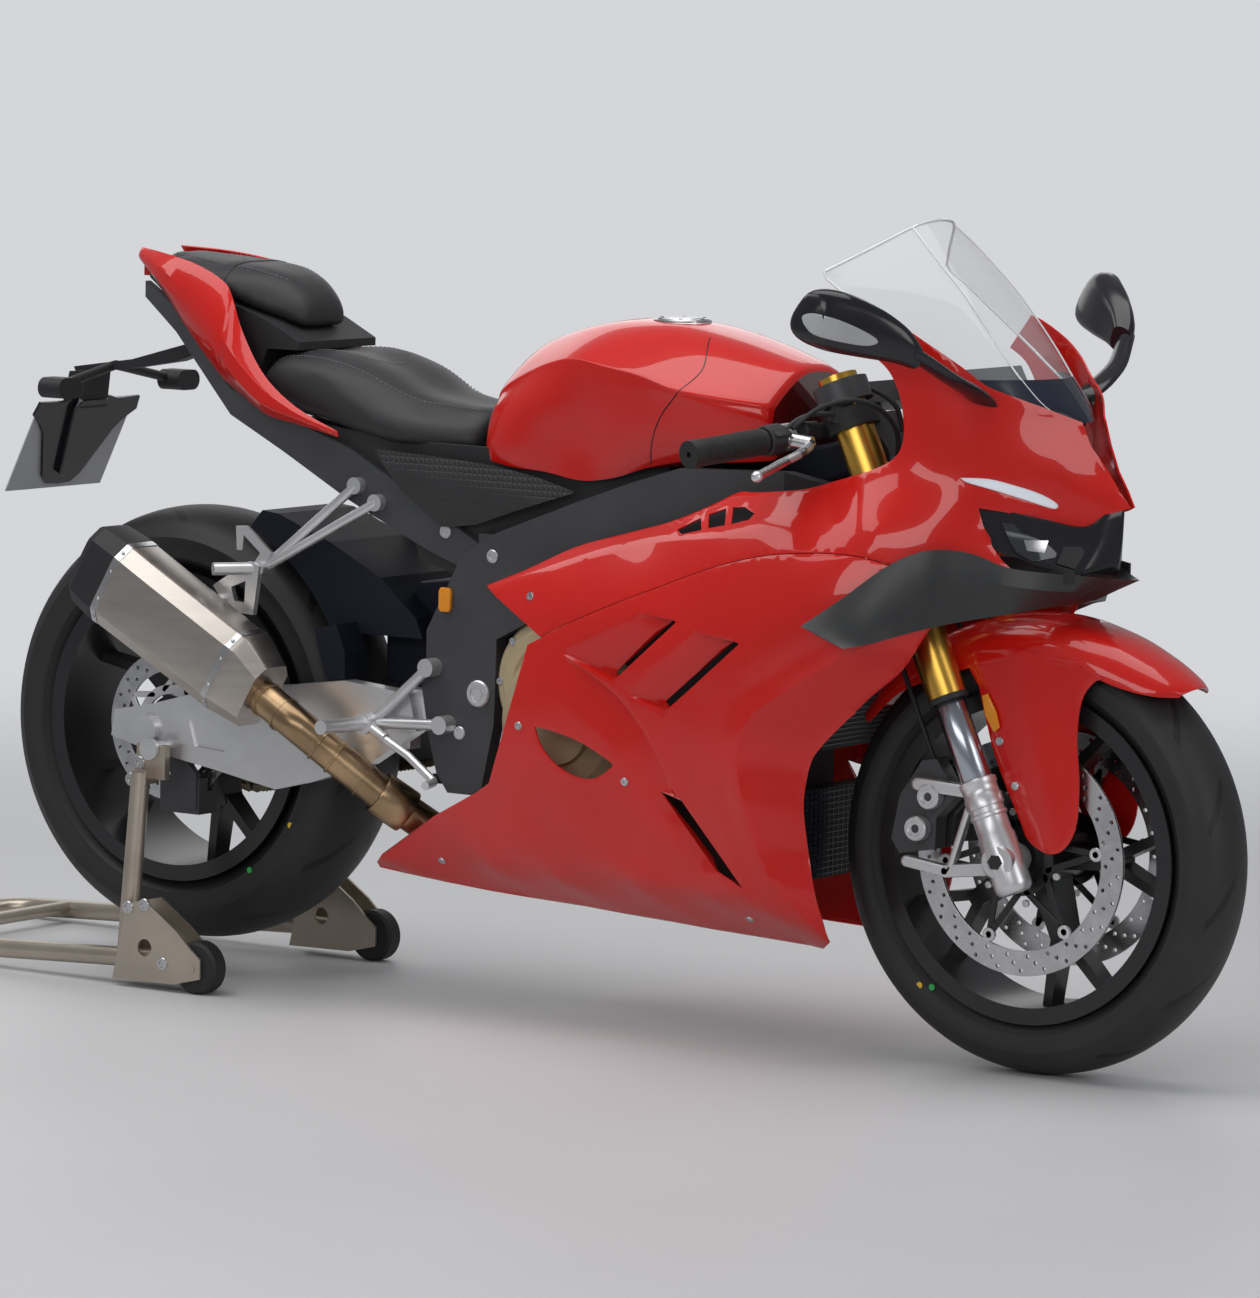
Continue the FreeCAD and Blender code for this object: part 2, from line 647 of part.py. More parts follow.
rail_sections = []
for x, low, high in TAIL_RAIL:
    narrow = rail_width(x)
    y_in, y_out = -RAIL_IN * narrow, -RAIL_OUT * narrow
    rail_sections.append([Vec(x, y_in, low), Vec(x, y_out, low), Vec(x, y_out, high), Vec(x, y_in, high)])
rail = loft(rail_sections)
rail_foot = block((552, 590), (-PLATE_IN + GAP, -RAIL_IN), (622, 646))
half_subframe = rail.fuse(rail_foot)
# Cross bars of the subframe: rear face x, half width, lower z
TAIL_BARS = ((470, 98, 670), (215, 98, 803), (20, 82, 930))
tail_bars = [block((x, x + 26), (-y, y), (z, z + 22)) for x, y, z in TAIL_BARS]
subframe = fuse([half_subframe, mirror(half_subframe)] + tail_bars)
piece("subframe", subframe)

# Fuel tank: closed sections whose underside follows the spars

# x, top z, half width at the shoulder, shoulder z, widest half width, its z, lower half width
TANK = (
    (552, 880, 52, 868, 92, 820, 88),
    (620, 950, 70, 925, 128, 850, 118),
    (690, 974, 84, 948, 148, 870, 132),
    (760, 990, 92, 962, 156, 880, 140),
    (850, 988, 96, 960, 162, 885, 146),
    (927, 975, 94, 948, 162, 885, 148),
    (1010, 952, 84, 928, 148, 890, 132),
    (1052, 934, 66, 914, 120, 890, 106),
)
TANK_REAR_FLOOR = 788


def tank_floor(x):
    """Just above the spars, and level behind them."""
    spar_top = between(SPAR, x)[3]
    return max(spar_top + GAP, TANK_REAR_FLOOR) if x < 700 else spar_top + GAP


tank_sections = []
for x, top, y_top, z_shoulder, y_wide, z_wide, y_low in TANK:
    floor = tank_floor(x)
    right = [(0, top), (-y_top, z_shoulder), (-y_wide, z_wide), (-y_low, floor)]
    left = [(-y, z) for y, z in right[:0:-1]]
    tank_sections.append([Vec(x, y, z) for y, z in right + left])
fuel_tank = loft(tank_sections)
cap_centre = Vec(824, 0, 978)
cap_seat = Part.makeCylinder(size("fuel_cap_radius") + GAP, 60, cap_centre, Vec(0, 0, 1))
fuel_tank = fuel_tank.cut(cap_seat)
piece("fuel_tank", fuel_tank)
turned_body("fuel_cap", cap_centre + Vec(0, 0, GAP), "XZ_Plane",
            [("0", "0"), ("Sizes.fuel_cap_radius", "0"), ("Sizes.fuel_cap_radius", "9"),
             ("Sizes.fuel_cap_radius - 3", "12"), ("Sizes.fuel_flap_radius", "12"),
             ("Sizes.fuel_flap_radius - 2", "15"), ("0", "15")])

# Seats: closed soft shapes on the tail

# x, top z, half width at the top, widest half width, its z, bottom z
RIDER_SEAT = (
    (160, 884, 44, 92, 868, 862),
    (186, 916, 70, 112, 880, 846),
    (294, 919, 84, 128, 880, 822),
    (350, 900, 84, 132, 868, 810),
    (418, 868, 76, 126, 840, 798),
    (484, 855, 60, 108, 830, 792),
    (546, 846, 46, 86, 826, 790),
)
PILLION_SEAT = (
    (-64, 1049, 26, 44, 1046, 1040),
    (5, 1045, 52, 74, 1034, 1018),
    (93, 1044, 66, 96, 1024, 988),
    (170, 1034, 68, 102, 1004, 962),
    (226, 1022, 64, 98, 980, 934),
    (256, 998, 50, 82, 970, 936),
)


def cushion(table):
    """A closed soft form with rounded shoulders."""
    sections = []
    for x, top, y_top, y_wide, z_wide, bottom in table:
        right = [(-y_top, top), (-y_wide, z_wide), (-y_wide * 0.94, bottom)]
        left = [(-y, z) for y, z in right[::-1]]
        sections.append([Vec(x, y, z) for y, z in right + left])
    return loft(sections)


piece("rider_seat", cushion(RIDER_SEAT))
piece("pillion_seat", cushion(PILLION_SEAT))

# Tail: base under the seats, side cowls, rear light and hugger

# x, half width, lower z, upper z: the tray that carries both seats
TAIL_TRAY = (
    (-84, 44, 1012, 1039.6),
    (5, 70, 960, 1017.6),
    (46, 82, 926, 1003.6),
    (93, 92, 880, 987.6),
    (150, 93, 868, 968.6),
    (170, 93, 922, 961.6),
    (226, 92, 922, 933.6),
)
tray_sections = [[Vec(x, -y, low), Vec(x, -y, high), Vec(x, y, high), Vec(x, y, low)]
                 for x, y, low, high in TAIL_TRAY]
tail_tray = loft(tray_sections)
seat_deck = plate_xz([(130, 872), (160, 861.6), (186, 845.6), (294, 821.6), (350, 809.6), (418, 797.6),
                      (484, 791.6), (548, 789.6), (548, 778), (418, 782), (294, 806), (186, 830),
                      (130, 850)], -92, 92)
tail_tray = fuse([tail_tray, seat_deck]).cut(subframe).cut(cushion(RIDER_SEAT)).cut(cushion(PILLION_SEAT))
tail_tray = tail_tray.cut(fuel_tank)
tail_tray = max(tail_tray.Solids, key=lambda solid: solid.Volume)
piece("tail_undertray", tail_tray)

# x, upper z, upper half width, middle half width, lower half width, lower z
TAIL_COWL = (
    (-96, 1053, 48, 52, 50, 1038),
    (-30, 1043, 82, 92, 84, 1000),
    (40, 1032, 100, 116, 104, 938),
    (100, 1014, 118, 134, 118, 888),
    (150, 984, 128, 146, 126, 858),
    (200, 918, 140, 150, 132, 832),
    (262, 846, 146, 148, 138, 822),
    (345, 816, 142, 142, 140, 807),
)
cowl_stations = [(x, [(y_up, z_up), (y_mid, (z_up + z_low) / 2), (y_low, z_low)])
                 for x, z_up, y_up, y_mid, y_low, z_low in TAIL_COWL]
tail_cowl = side_shell(cowl_stations, WALL)
cowl_fill = side_fill(cowl_stations)
cowl_bolts = []
for x, z in ((60, 968), (190, 880)):
    cowl_bolts.append(stay_bolt(x, z, 8, cowl_fill, fuse([subframe, tail_tray])))
tail_cowl = fuse([tail_cowl] + cowl_bolts)
tail_cowl = tail_cowl.cut(cushion(RIDER_SEAT)).cut(cushion(PILLION_SEAT)).cut(subframe).cut(tail_tray)
tail_cowl = max(tail_cowl.Solids, key=lambda solid: solid.Volume)
piece("tail_cowl", pair(tail_cowl))

box_node("tail_light", ("14 - Sizes.seat_gap", "Sizes.tail_light_width", "22"),
         Vec(-98, -size("tail_light_width") / 2, 1014))

# The hugger's hood: its top line from the tip over the tyre to the foot in front of it
HUGGER_LINE = [(148, 672), (163, 689), (192, 686), (285, 651), (376, 606), (439, 552), (452, 524)]
HUGGER_IN = size("rear_tyre_radius") + 13
HUGGER_HALF = 90
hood = plate_xz(HUGGER_LINE + [(300, 524), (60, 500)], -HUGGER_HALF, HUGGER_HALF)
hood_room = plate_xz(inset(HUGGER_LINE, WALL) + [(448, 400), (0, 400)], -HUGGER_HALF + WALL,
                     HUGGER_HALF - WALL)
hugger_foot = plate_xz([(318, 462.4), (296, 532), (336, 540), (352, 500), (352, 462.4)], -ARM_OUT + 6,
                       -HUGGER_HALF + WALL)
tyre_room = Part.makeCylinder(HUGGER_IN, 400, REAR_AXLE + Vec(0, -200, 0), Y_AXIS)
hugger = fuse([hood.cut(hood_room), hugger_foot, mirror(hugger_foot)]).cut(tyre_room).cut(swingarm)
chain_room = block((0, 700), (size("chain_y") - 20, size("chain_y") + 20), (300, 500))
hugger = hugger.cut(chain_room)
hugger = max(hugger.Solids, key=lambda solid: solid.Volume)
piece("rear_hugger", hugger)

# Plate arm with its lamp stalks, and the blank plate

arm_side = plate_xz([(60, 926), (20, 916), (-10, 905), (-60, 888), (-144, 874), (-245, 862), (-250, 872),
                     (-140, 888), (-40, 915), (-10, 975), (60, 975)], -14, 14)
PLATE_LEAN = 26
PLATE_FOOT = Vec(-300.5, 0, 690)
plate_stem = plate_xz([(-215, 868), (-245, 866), (-262, 800), (-254, 796), (-222, 812)], -30, 30)
plate_shape = block((0, 2), (-size("plate_width") / 2, size("plate_width") / 2), (0, size("plate_height")))
plate_shape = plate_shape.rotated(Vec(0, 0, 0), Y_AXIS, PLATE_LEAN).translated(PLATE_FOOT)
stalk = rod(Vec(-182, 0, 877), Vec(-182, -128, 852), 7)
stalk_lamp = rod(Vec(-194, -128, 850), Vec(-154, -128, 850), 15).fuse(
    rod(Vec(-194, -150, 850), Vec(-154, -150, 850), 15)).fuse(block((-194, -154), (-150, -128), (835, 865)))
plate_arm = fuse([arm_side, plate_stem, stalk, stalk_lamp, mirror(stalk), mirror(stalk_lamp)])
plate_arm = plate_arm.cut(tail_tray).cut(subframe).cut(plate_shape)
plate_arm = max(plate_arm.Solids, key=lambda solid: solid.Volume)
piece("plate_arm", plate_arm)
box_node("number_plate", ("2", "Sizes.plate_width", "Sizes.plate_height"),
         PLATE_FOOT + Vec(0, -size("plate_width") / 2, 0), PLATE_LEAN)

# Side panels between the seat, the tank and the frame

panel_outline = [(372, 793), (424, 788), (560, 776), (688, 769), (742, 744), (630, 700), (560, 680),
                 (474, 726), (380, 790)]
side_panel = plate_xz(panel_outline, -133, -PLATE_IN - 2)
side_panel = side_panel.cut(main_frame).cut(fuel_tank).cut(subframe)
side_panel = max(side_panel.Solids, key=lambda solid: solid.Volume)
piece("side_panels", pair(side_panel))

# Fairing: one side form cut into the upper panel and the lower fairing

# x, then rows of (half width, z) from the top edge to the bottom edge
SIDE = (
    (418, ((150, 262), (151, 255), (151, 250), (151, 244), (150, 236), (149, 226), (144, 212), (108, 198))),
    (636, ((199, 642), (205, 622), (214, 596), (228, 480), (222, 380), (200, 290), (168, 222), (112, 187))),
    (750, ((194, 682), (218, 640), (238, 575), (246, 480), (238, 380), (213, 290), (174, 218), (111, 182))),
    (900, ((187, 724), (222, 670), (245, 620), (253, 500), (245, 390), (220, 290), (178, 214), (110, 172))),
    (1030, ((184, 780), (222, 718), (245, 662), (257, 500), (249, 390), (224, 290), (182, 210), (108, 165))),
    (1112, ((181, 792), (219, 738), (242, 688), (258, 460), (249, 370), (228, 290), (186, 206), (106, 160))),
    (1165, ((178, 797), (213, 746), (240, 703), (252, 510), (226, 400), (212, 290), (182, 210), (118, 156))),
    (1210, ((176, 806), (208, 754), (237, 708), (248, 542), (222, 456), (205, 300), (176, 215), (128, 162))),
    (1300, ((172, 846), (194, 780), (229, 700), (231, 590), (206, 542), (190, 400), (170, 300), (130, 250))),
    (1378, ((160, 884), (170, 802), (186, 721), (178, 650), (164, 628), (150, 500), (140, 400), (120, 300))),
)
SEAM = [(747, 559), (787, 577), (896, 618), (1026, 661), (1110, 689), (1180, 704), (1260, 706), (1324, 694)]
side_skin = side_shell(SIDE, WALL)
skin_fill = side_fill(SIDE)
seam_drop = 0.7

lower_outline = SEAM + [(1374, 636), (1318, 560), (1253, 506), (1176, 437), (1157, 398), (1154, 354),
                        (1160, 268), (1166, 216), (1150, 150), (410, 150), (419, 205), (446, 239),
                        (545, 289), (639, 334), (676, 377), (699, 424), (718, 470), (744, 556)]
lower_outline = [(x, z - seam_drop) if (x, z) in SEAM else (x, z) for x, z in lower_outline]
upper_outline = [(641, 620)] + SEAM + [(1296, 760), (1290, 900), (1210, 860), (636, 720)]

SLOTS = (
    [(892, 516), (902, 510), (996, 586), (986, 597)],
    [(975, 484), (984, 472), (1094, 571), (1086, 582)],
    [(753, 432), (790, 412), (868, 398), (884, 392), (862, 378), (815, 371), (772, 384)],
    [(958, 364), (1000, 354), (1076, 264), (1082, 245), (1018, 288)],
)
side_fairing = side_skin.common(plate_xz(lower_outline, -300, 0))
for slot in SLOTS:
    side_fairing = side_fairing.cut(plate_xz(slot, -300, -100))
covers = Part.makeCompound([engine_shape, cover_right])
side_bolts = [stay_bolt(x, z, 8, skin_fill, covers) for x, z in ((1012, 622), (680, 300), (940, 262))]
side_fairing = fuse([side_fairing] + side_bolts)
piece("side_fairing_right", side_fairing)
# The left panel ends further forward, so that the side stand can swing past it
STAND_NOTCH = [(380, 120), (655, 120), (664, 330), (656, 352), (380, 352)]
piece("side_fairing_left", mirror(side_fairing).cut(plate_xz(STAND_NOTCH, 0, 320)))

LOUVRE = [(948, 722), (992, 748), (1062, 757), (1090, 757), (1056, 733), (984, 717)]
upper_fairing = side_skin.common(plate_xz(upper_outline, -300, 0))
SLATS = (
    [(984, 710), (993, 712), (1016, 765), (1006, 763)],
    [(1026, 715), (1034, 718), (1055, 768), (1046, 767)],
)
louvre_cut = plate_xz(LOUVRE, -300, -100)
for slat in SLATS:
    louvre_cut = louvre_cut.cut(plate_xz(slat, -300, -100))
upper_fairing = upper_fairing.cut(louvre_cut)
upper_bolts = [stay_bolt(x, z, 8, skin_fill, main_frame) for x, z in ((862, 672), (1060, 772))]
upper_fairing = fuse([upper_fairing] + upper_bolts)
piece("upper_fairing", pair(upper_fairing))

# Nose cowl: the pointed front with its lamps, chin and screen edge

# x, then rows of (half width, z) from the screen's edge to the chin
NOSE = (
    (1291, ((174, 1012), (176, 925), (180, 830), (222, 740), (229, 694))),
    (1350, ((168, 984), (172, 900), (172, 812), (196, 740), (203, 690))),
    (1400, ((141, 936), (150, 860), (152, 796), (154, 752), (165, 690))),
    (1450, ((92, 905), (100, 846), (92, 786), (86, 750), (122, 684))),
    (1484, ((38, 884), (62, 830), (54, 774), (50, 744), (84, 678))),
    (1520, ((14, 822), (30, 800), (27, 770), (25, 742), (52, 672))),
    (1562, ((2, 760), (5, 756), (6, 752), (6, 740), (8, 700))),
)


def full_section(x, line, wall):
    """A closed strip across the bike: the skin's outer line and its inner line."""
    inner = [(max(y - wall, 0.4), z) for y, z in line]
    outer_right = [Vec(x, -y, z) for y, z in line]
    inner_right = [Vec(x, -y, z) for y, z in inner]
    return outer_right, inner_right


nose_half = loft([outer + inner[::-1] for outer, inner in
                  (full_section(x, line, WALL * 1.6) for x, line in NOSE)])
LAMP = [(1398, 772), (1470, 752), (1518, 744), (1548, 738), (1536, 700), (1486, 706), (1446, 712),
        (1412, 734)]
STRIP = [(1378, 814), (1392, 800), (1480, 766), (1474, 776)]
lamp_cut = plate_xz(LAMP, -240, 0)
strip_cut = plate_xz(STRIP, -240, 0)
nose_bridge = loft([
    [Vec(1484, -82, 683), Vec(1484, 82, 683), Vec(1484, 82, 678), Vec(1484, -82, 678)],
    [Vec(1520, -50, 677), Vec(1520, 50, 677), Vec(1520, 50, 672), Vec(1520, -50, 672)],
    [Vec(1562, -7, 706), Vec(1562, 7, 706), Vec(1562, 7, 700), Vec(1562, -7, 700)],
])
nose_tip = block((1556, 1562), (-7, 7), (700, 760))
nose_top = loft([
    [Vec(1484, -38, 880), Vec(1484, 38, 880), Vec(1484, 38, 884), Vec(1484, -38, 884)],
    [Vec(1520, -14, 818), Vec(1520, 14, 818), Vec(1520, 14, 822), Vec(1520, -14, 822)],
    [Vec(1562, -3, 756), Vec(1562, 3, 756), Vec(1562, 3, 760), Vec(1562, -3, 760)],
])
nose_skin = nose_half.cut(lamp_cut).cut(strip_cut)
nose_skin = nose_skin.cut(side_fairing).cut(upper_fairing)
nose_cowl = fuse([nose_skin, mirror(nose_skin), nose_bridge, nose_tip, nose_top])
nose_cowl = max(nose_cowl.Solids, key=lambda solid: solid.Volume)

lamp_depth = loft([[Vec(x, -y + 14, z) for y, z in line] + [Vec(x, -y + 2, z) for y, z in line[::-1]]
                   for x, line in NOSE])
lamp_room = plate_xz([(x - 0.4 * (x - 1480) / 80, z - 0.4 * (z - 738) / 40) for x, z in LAMP], -240, -6)
headlamp = lamp_depth.common(lamp_room)
strip_room = plate_xz(STRIP, -240, -20)
light_strip = lamp_depth.common(strip_room)
headlamp = headlamp.cut(nose_cowl)
light_strip = light_strip.cut(nose_cowl)
headlamp = max(headlamp.Solids, key=lambda solid: solid.Volume)
light_strip = max(light_strip.Solids, key=lambda solid: solid.Volume)

# Fairing stay: from the steering head to the nose, carrying screen, dash and mirrors

stay_arm = tube([Vec(1180, -20, 815), Vec(1318, -24, 815), Vec(1388, -116, 862)], 8, 20)
stay_tie = rod(Vec(1386, -120, 862), Vec(1386, 120, 862), 7)
stay = fuse([stay_arm, mirror(stay_arm), stay_tie])
stay = stay.cut(main_frame)
stay = max(stay.Solids, key=lambda solid: solid.Volume)

mirror_arm = tube([Vec(1386, -122, 862), Vec(1386, -128, 905), Vec(1392, -210, 938),
                   Vec(1372, -288, 992)], 9, 14)
# y from the mirror's outer end, then (x, z) round the housing
MIRROR_RIM = (
    (0, ((1262, 1030), (1280, 1048), (1298, 1044), (1300, 1022), (1284, 1008), (1266, 1012))),
    (9, ((1246, 1024), (1272, 1060), (1302, 1058), (1308, 1020), (1284, 996), (1254, 1002))),
    (38, ((1252, 1012), (1280, 1060), (1322, 1056), (1332, 1014), (1304, 984), (1264, 990))),
    (72, ((1290, 1000), (1312, 1042), (1352, 1038), (1362, 1004), (1338, 976), (1302, 980))),
    (100, ((1330, 986), (1344, 1018), (1374, 1014), (1382, 990), (1364, 970), (1338, 972))),
    (118, ((1354, 976), (1362, 996), (1382, 992), (1386, 976), (1376, 962), (1360, 964))),
)
outer_end = -size("mirror_half_span")
mirror_house = loft([[Vec(x, outer_end + y, z) for x, z in line] for y, line in MIRROR_RIM])
mirror_right = fuse([mirror_arm, mirror_house])

# Windscreen: a bent sheet whose rows stand at rising heights

# z, then (x, half width) from the centre to the side edge
SCREEN = (
    (870, ((1494, 0), (1470, 52), (1432, 110), (1372, 158), (1290, 168))),
    (960, ((1420, 0), (1405, 60), (1374, 112), (1318, 156), (1262, 168))),
    (1040, ((1352, 0), (1338, 60), (1302, 108), (1240, 146), (1176, 160))),
    (1156, ((1240, 0), (1230, 50), (1204, 86), (1160, 120), (1110, 134))),
)
screen_sections = []
for z, line in SCREEN:
    inner = inset(line, 3)
    inner[0] = (inner[0][0], 0)
    outer_points = [Vec(x, -y, z) for x, y in line]
    inner_points = [Vec(x, -y, z) for x, y in inner]
    screen_sections.append(outer_points + inner_points[::-1])
screen_half = loft(screen_sections)
SCREEN_EDGE = [(1150, 1067), (1168, 1089), (1236, 1139), (1262, 1152), (1500, 1000), (1500, 880), (1476, 887),
               (1440, 918), (1405, 940), (1351, 985), (1284, 1014)]
screen_half = screen_half.common(plate_xz(SCREEN_EDGE, -300, 0.5))
windscreen = fuse([screen_half, mirror(screen_half)])

DASH_LEAN = -28
half_dash = Vec(7, size("dash_width") / 2, size("dash_height") / 2)
dash_corner = FreeCAD.Rotation(Y_AXIS, DASH_LEAN).multVec(half_dash * -1)
dash = box_node("dash", ("14", "Sizes.dash_width", "Sizes.dash_height"), Vec(1340, 0, 905) + dash_corner,
                DASH_LEAN)
dash_stay = rod(Vec(1386, 0, 862), Vec(1345, 0, 898), 8).cut(dash)
stay = fuse([stay, dash_stay])
stay = stay.cut(nose_cowl)
stay = max(stay.Solids, key=lambda solid: solid.Volume)
mirror_right = mirror_right.cut(stay).cut(nose_cowl)
mirror_right = max(mirror_right.Solids, key=lambda solid: solid.Volume)
windscreen = windscreen.cut(nose_cowl).cut(mirror_right).cut(mirror(mirror_right)).cut(stay)
windscreen = max(windscreen.Solids, key=lambda solid: solid.Volume)

# Winglets: one curved blade under the nose, from hanging tip to hanging tip

# y, then x and z of the blade's upper edge and of its lower edge
WING = (
    (0, 1570, 680, 1470, 637),
    (-60, 1508, 686, 1462, 636),
    (-130, 1446, 696, 1438, 630),
    (-167, 1404, 716, 1400, 622),
    (-205, 1364, 720, 1364, 612),
    (-228, 1316, 698, 1334, 602),
    (-262, 1264, 652, 1310, 592),
    (-298, 1217, 612, 1290, 584),
)
BLADE = 4
wing_sections = []
for y, top_x, top_z, low_x, low_z in WING:
    chord = math.hypot(top_x - low_x, top_z - low_z)
    behind = Vec(-(top_z - low_z) / chord, 0, (top_x - low_x) / chord) * BLADE
    top, low = Vec(top_x, y, top_z), Vec(low_x, y, low_z)
    wing_sections.append([low, top, top + behind, low + behind])
wing_half = loft(wing_sections)
winglets = fuse([wing_half, mirror(wing_half)]).cut(nose_cowl)
for panel in (side_fairing, upper_fairing):
    winglets = winglets.cut(panel).cut(mirror(panel))
winglets = max(winglets.Solids, key=lambda solid: solid.Volume)

piece("nose_cowl", nose_cowl)
piece("headlamps", Part.makeCompound([headlamp, mirror(headlamp), light_strip, mirror(light_strip)]))
piece("fairing_stay", stay)
piece("mirrors", pair(mirror_right))
piece("windscreen", windscreen)
piece("winglets", winglets)

# Radiator and oil cooler

radiator = block((-18, 18), (-165, 165), (-105, 105)).rotated(Vec(0, 0, 0), Y_AXIS, 12)
radiator = radiator.translated(Vec(1096, 0, 520))
cooler = block((-15, 15), (-105, 105), (-62, 62)).translated(Vec(1082, 0, 300))
engine_front = engine_low.x + size("engine_length")
radiator_feet = fuse([block((engine_front, 1082), (-90, -70), (z, z + 24)) for z in (470, 590)]
                     + [block((engine_front, 1120), (-88, -72), (470, 614))])
cooler_foot = block((engine_front, 1068), (-70, -50), (300, 324))
radiators = fuse([radiator, radiator_feet.common(block((1000, 1100), (-200, 0), (400, 700))),
                  mirror(radiator_feet).common(block((1000, 1100), (0, 200), (400, 700)))])
cooler = fuse([cooler, cooler_foot, mirror(cooler_foot)])
piece("radiators", Part.makeCompound([radiators, cooler]))

# Exhaust: pipe from under the engine to the slanted silencer

CAN_Y = -size("can_y")
# centre x, centre z, half height, half width: sections square to the can's axis
CAN = ((262, 438, 50, 38), (225, 466, 63, 46), (60, 556, 65, 48), (-30, 606, 66, 47), (-44, 614, 60, 42))
can_axis = Vec(CAN[-1][0] - CAN[0][0], 0, CAN[-1][1] - CAN[0][1]).normalize()
can_up = Vec(-can_axis.z, 0, can_axis.x) * -1
OCTAGON = ((-1, -0.55), (-0.6, -1), (0.6, -1), (1, -0.55), (1, 0.55), (0.6, 1), (-0.6, 1), (-1, 0.55))
can_sections = []
for x, z, half_high, half_wide in CAN:
    centre = Vec(x, CAN_Y, z)
    can_sections.append([centre + can_up * (v * half_high) + Vec(0, u * half_wide, 0) for u, v in OCTAGON])
silencer = loft(can_sections)
outlet = rod(Vec(-30, CAN_Y, 606), Vec(-60, CAN_Y, 623), 27)
silencer = silencer.cut(outlet)
pipe_radius = 25
pipe_end = Vec(CAN[0][0], CAN_Y, CAN[0][1]) - can_axis * GAP
pipe = tube([pipe_end, pipe_end - can_axis * 70, Vec(430, -150, 305), Vec(520, -60, 218), Vec(620, -45, 208),
             Vec(760, -45, 208)], pipe_radius, 45)
collector = block((740, 900), (-95, 95), (188, 232))
exhaust = fuse([pipe, collector])
piece("silencer", silencer)
piece("exhaust_pipes", exhaust)

# Rearsets and pillion footrests

REST_HUB = Vec(416, -166, 408)
REST_BOSSES = ((516, 494), (541, 415))
rest_out = -PLATE_OUT - GAP
heel_outline = [(356, 540), (372, 546), (394, 543), (504, 502), (441, 454), (405, 456), (396, 462)]
heel_window = [(377, 530), (398, 531), (466, 500), (434, 476), (414, 476)]
heel_guard = plate_xz(heel_outline, -171, -166).cut(plate_xz(heel_window, -172, -165))
toe_lever = tube([Vec(452, -182, 392), Vec(500, -186, 370), Vec(552, -194, 338), Vec(556, -222, 336)], 6, 8)
rearset_parts = [heel_guard, toe_lever]
rearset_parts.append(rod(REST_HUB + Vec(0, 14, 0), REST_HUB + Vec(0, -18, 0), 15))
rearset_parts.append(rod(REST_HUB + Vec(0, -10, 0), REST_HUB + Vec(3, -118, 4), 10))
rearset_parts.append(rod(REST_HUB + Vec(0, -8, 0), Vec(458, -184, 391), 7))
for x, z in REST_BOSSES:
    rearset_parts.append(rod(Vec(x, rest_out, z), Vec(x, -172, z), 13))
    rearset_parts.append(rod(Vec(x, -162, z), REST_HUB + Vec(0, 4, 0), 8))
rearset = fuse(rearset_parts)
rearset = rearset.cut(swingarm).cut(main_frame).cut(side_fairing)
rearset = max(rearset.Solids, key=lambda solid: solid.Volume)
piece("rearsets", pair(rearset))

PILLION_HUB = Vec(207, -142, 612)
hanger_in = -RAIL_OUT - GAP
pillion_parts = [rod(PILLION_HUB + Vec(0, 12, 0), PILLION_HUB + Vec(0, -16, 0), 11)]
for x, z in ((356, 738), (392, 716)):
    pillion_parts.append(rod(Vec(x, hanger_in, z), Vec(x, hanger_in - 14, z), 12))
    pillion_parts.append(rod(Vec(x, hanger_in - 8, z), PILLION_HUB, 7))
pillion_parts.append(rod(PILLION_HUB + Vec(0, -8, 0), Vec(164, -205, 612), 9))
HOOK = [(162, 670), (182, 671), (226, 636), (212, 612), (196, 620), (206, 634), (176, 658), (174, 636),
        (164, 636)]
pillion_parts.append(plate_xz(HOOK, -150, -145))
pillion_rest = fuse(pillion_parts)
can_bracket = plate_xz([(133, 584), (196, 622), (216, 616), (206, 546), (162, 549)], -165, -156)
can_bracket = can_bracket.cut(plate_xz([(166, 584), (192, 594), (190, 562), (172, 564)], -170, -150))
can_tie = rod(Vec(148, -160, 566), Vec(148, -190, 566), 6)
pillion_right = fuse([pillion_rest, can_bracket, can_tie]).cut(silencer)
pillion_right = max(pillion_right.Solids, key=lambda solid: solid.Volume)
piece("pillion_footrests", Part.makeCompound([pillion_right, mirror(pillion_rest)]))

# Paddock stand: two sides with uprights, joined by the rear handle, and its rollers

STAND_Y = size("stand_half_width")
TUBE_R = size("stand_tube_radius")
ROLLER = Vec(153, 0, size("roller_radius"))
handle_mid = HANDLE_X + TUBE_R
side_tube = [Vec(108, -STAND_Y, 44), Vec(handle_mid, -STAND_Y, TUBE_R), Vec(handle_mid, 0, TUBE_R)]
stand_side = tube(side_tube, TUBE_R, 60)
upright = rod(Vec(17, -STAND_Y, 36), Vec(22, -186, 306), TUBE_R)
hook = plate_xz([(2, 296), (2, 346), (12, 346), (18, 332), (28, 330 - GAP), (38, 332), (44, 346), (54, 346),
                 (54, 296)], -171.5, -160)
hook_stem = block((8, 36), (-192, -162), (290, 310))
GUSSET = [(8, 10), (34, 122), (66, 129), (125, 89), (150, 66), (168, 52), (168, 24), (120, 12)]
gusset_hole = plate_xz([(67 + 13 * math.cos(k * math.pi / 6), 60 + 13 * math.sin(k * math.pi / 6))
                        for k in range(12)], -STAND_Y - 60, -STAND_Y + 60)
fork_cheeks = [plate_xz(GUSSET, y - 4, y).cut(gusset_hole) for y in
               (-STAND_Y - size("roller_width") / 2 - 1.5, -STAND_Y + size("roller_width") / 2 + 5.5)]
cheek_tie = block((88, 112), (-STAND_Y - 20, -STAND_Y + 20), (32, 60))
pin_half = Vec(0, 22, 0)
pin_middle = ROLLER - Vec(0, STAND_Y, 0)
roller_pin = rod(pin_middle - pin_half, pin_middle + pin_half, size("roller_pin_radius"))
half_stand = fuse([stand_side, upright, hook, hook_stem, cheek_tie, roller_pin] + fork_cheeks)
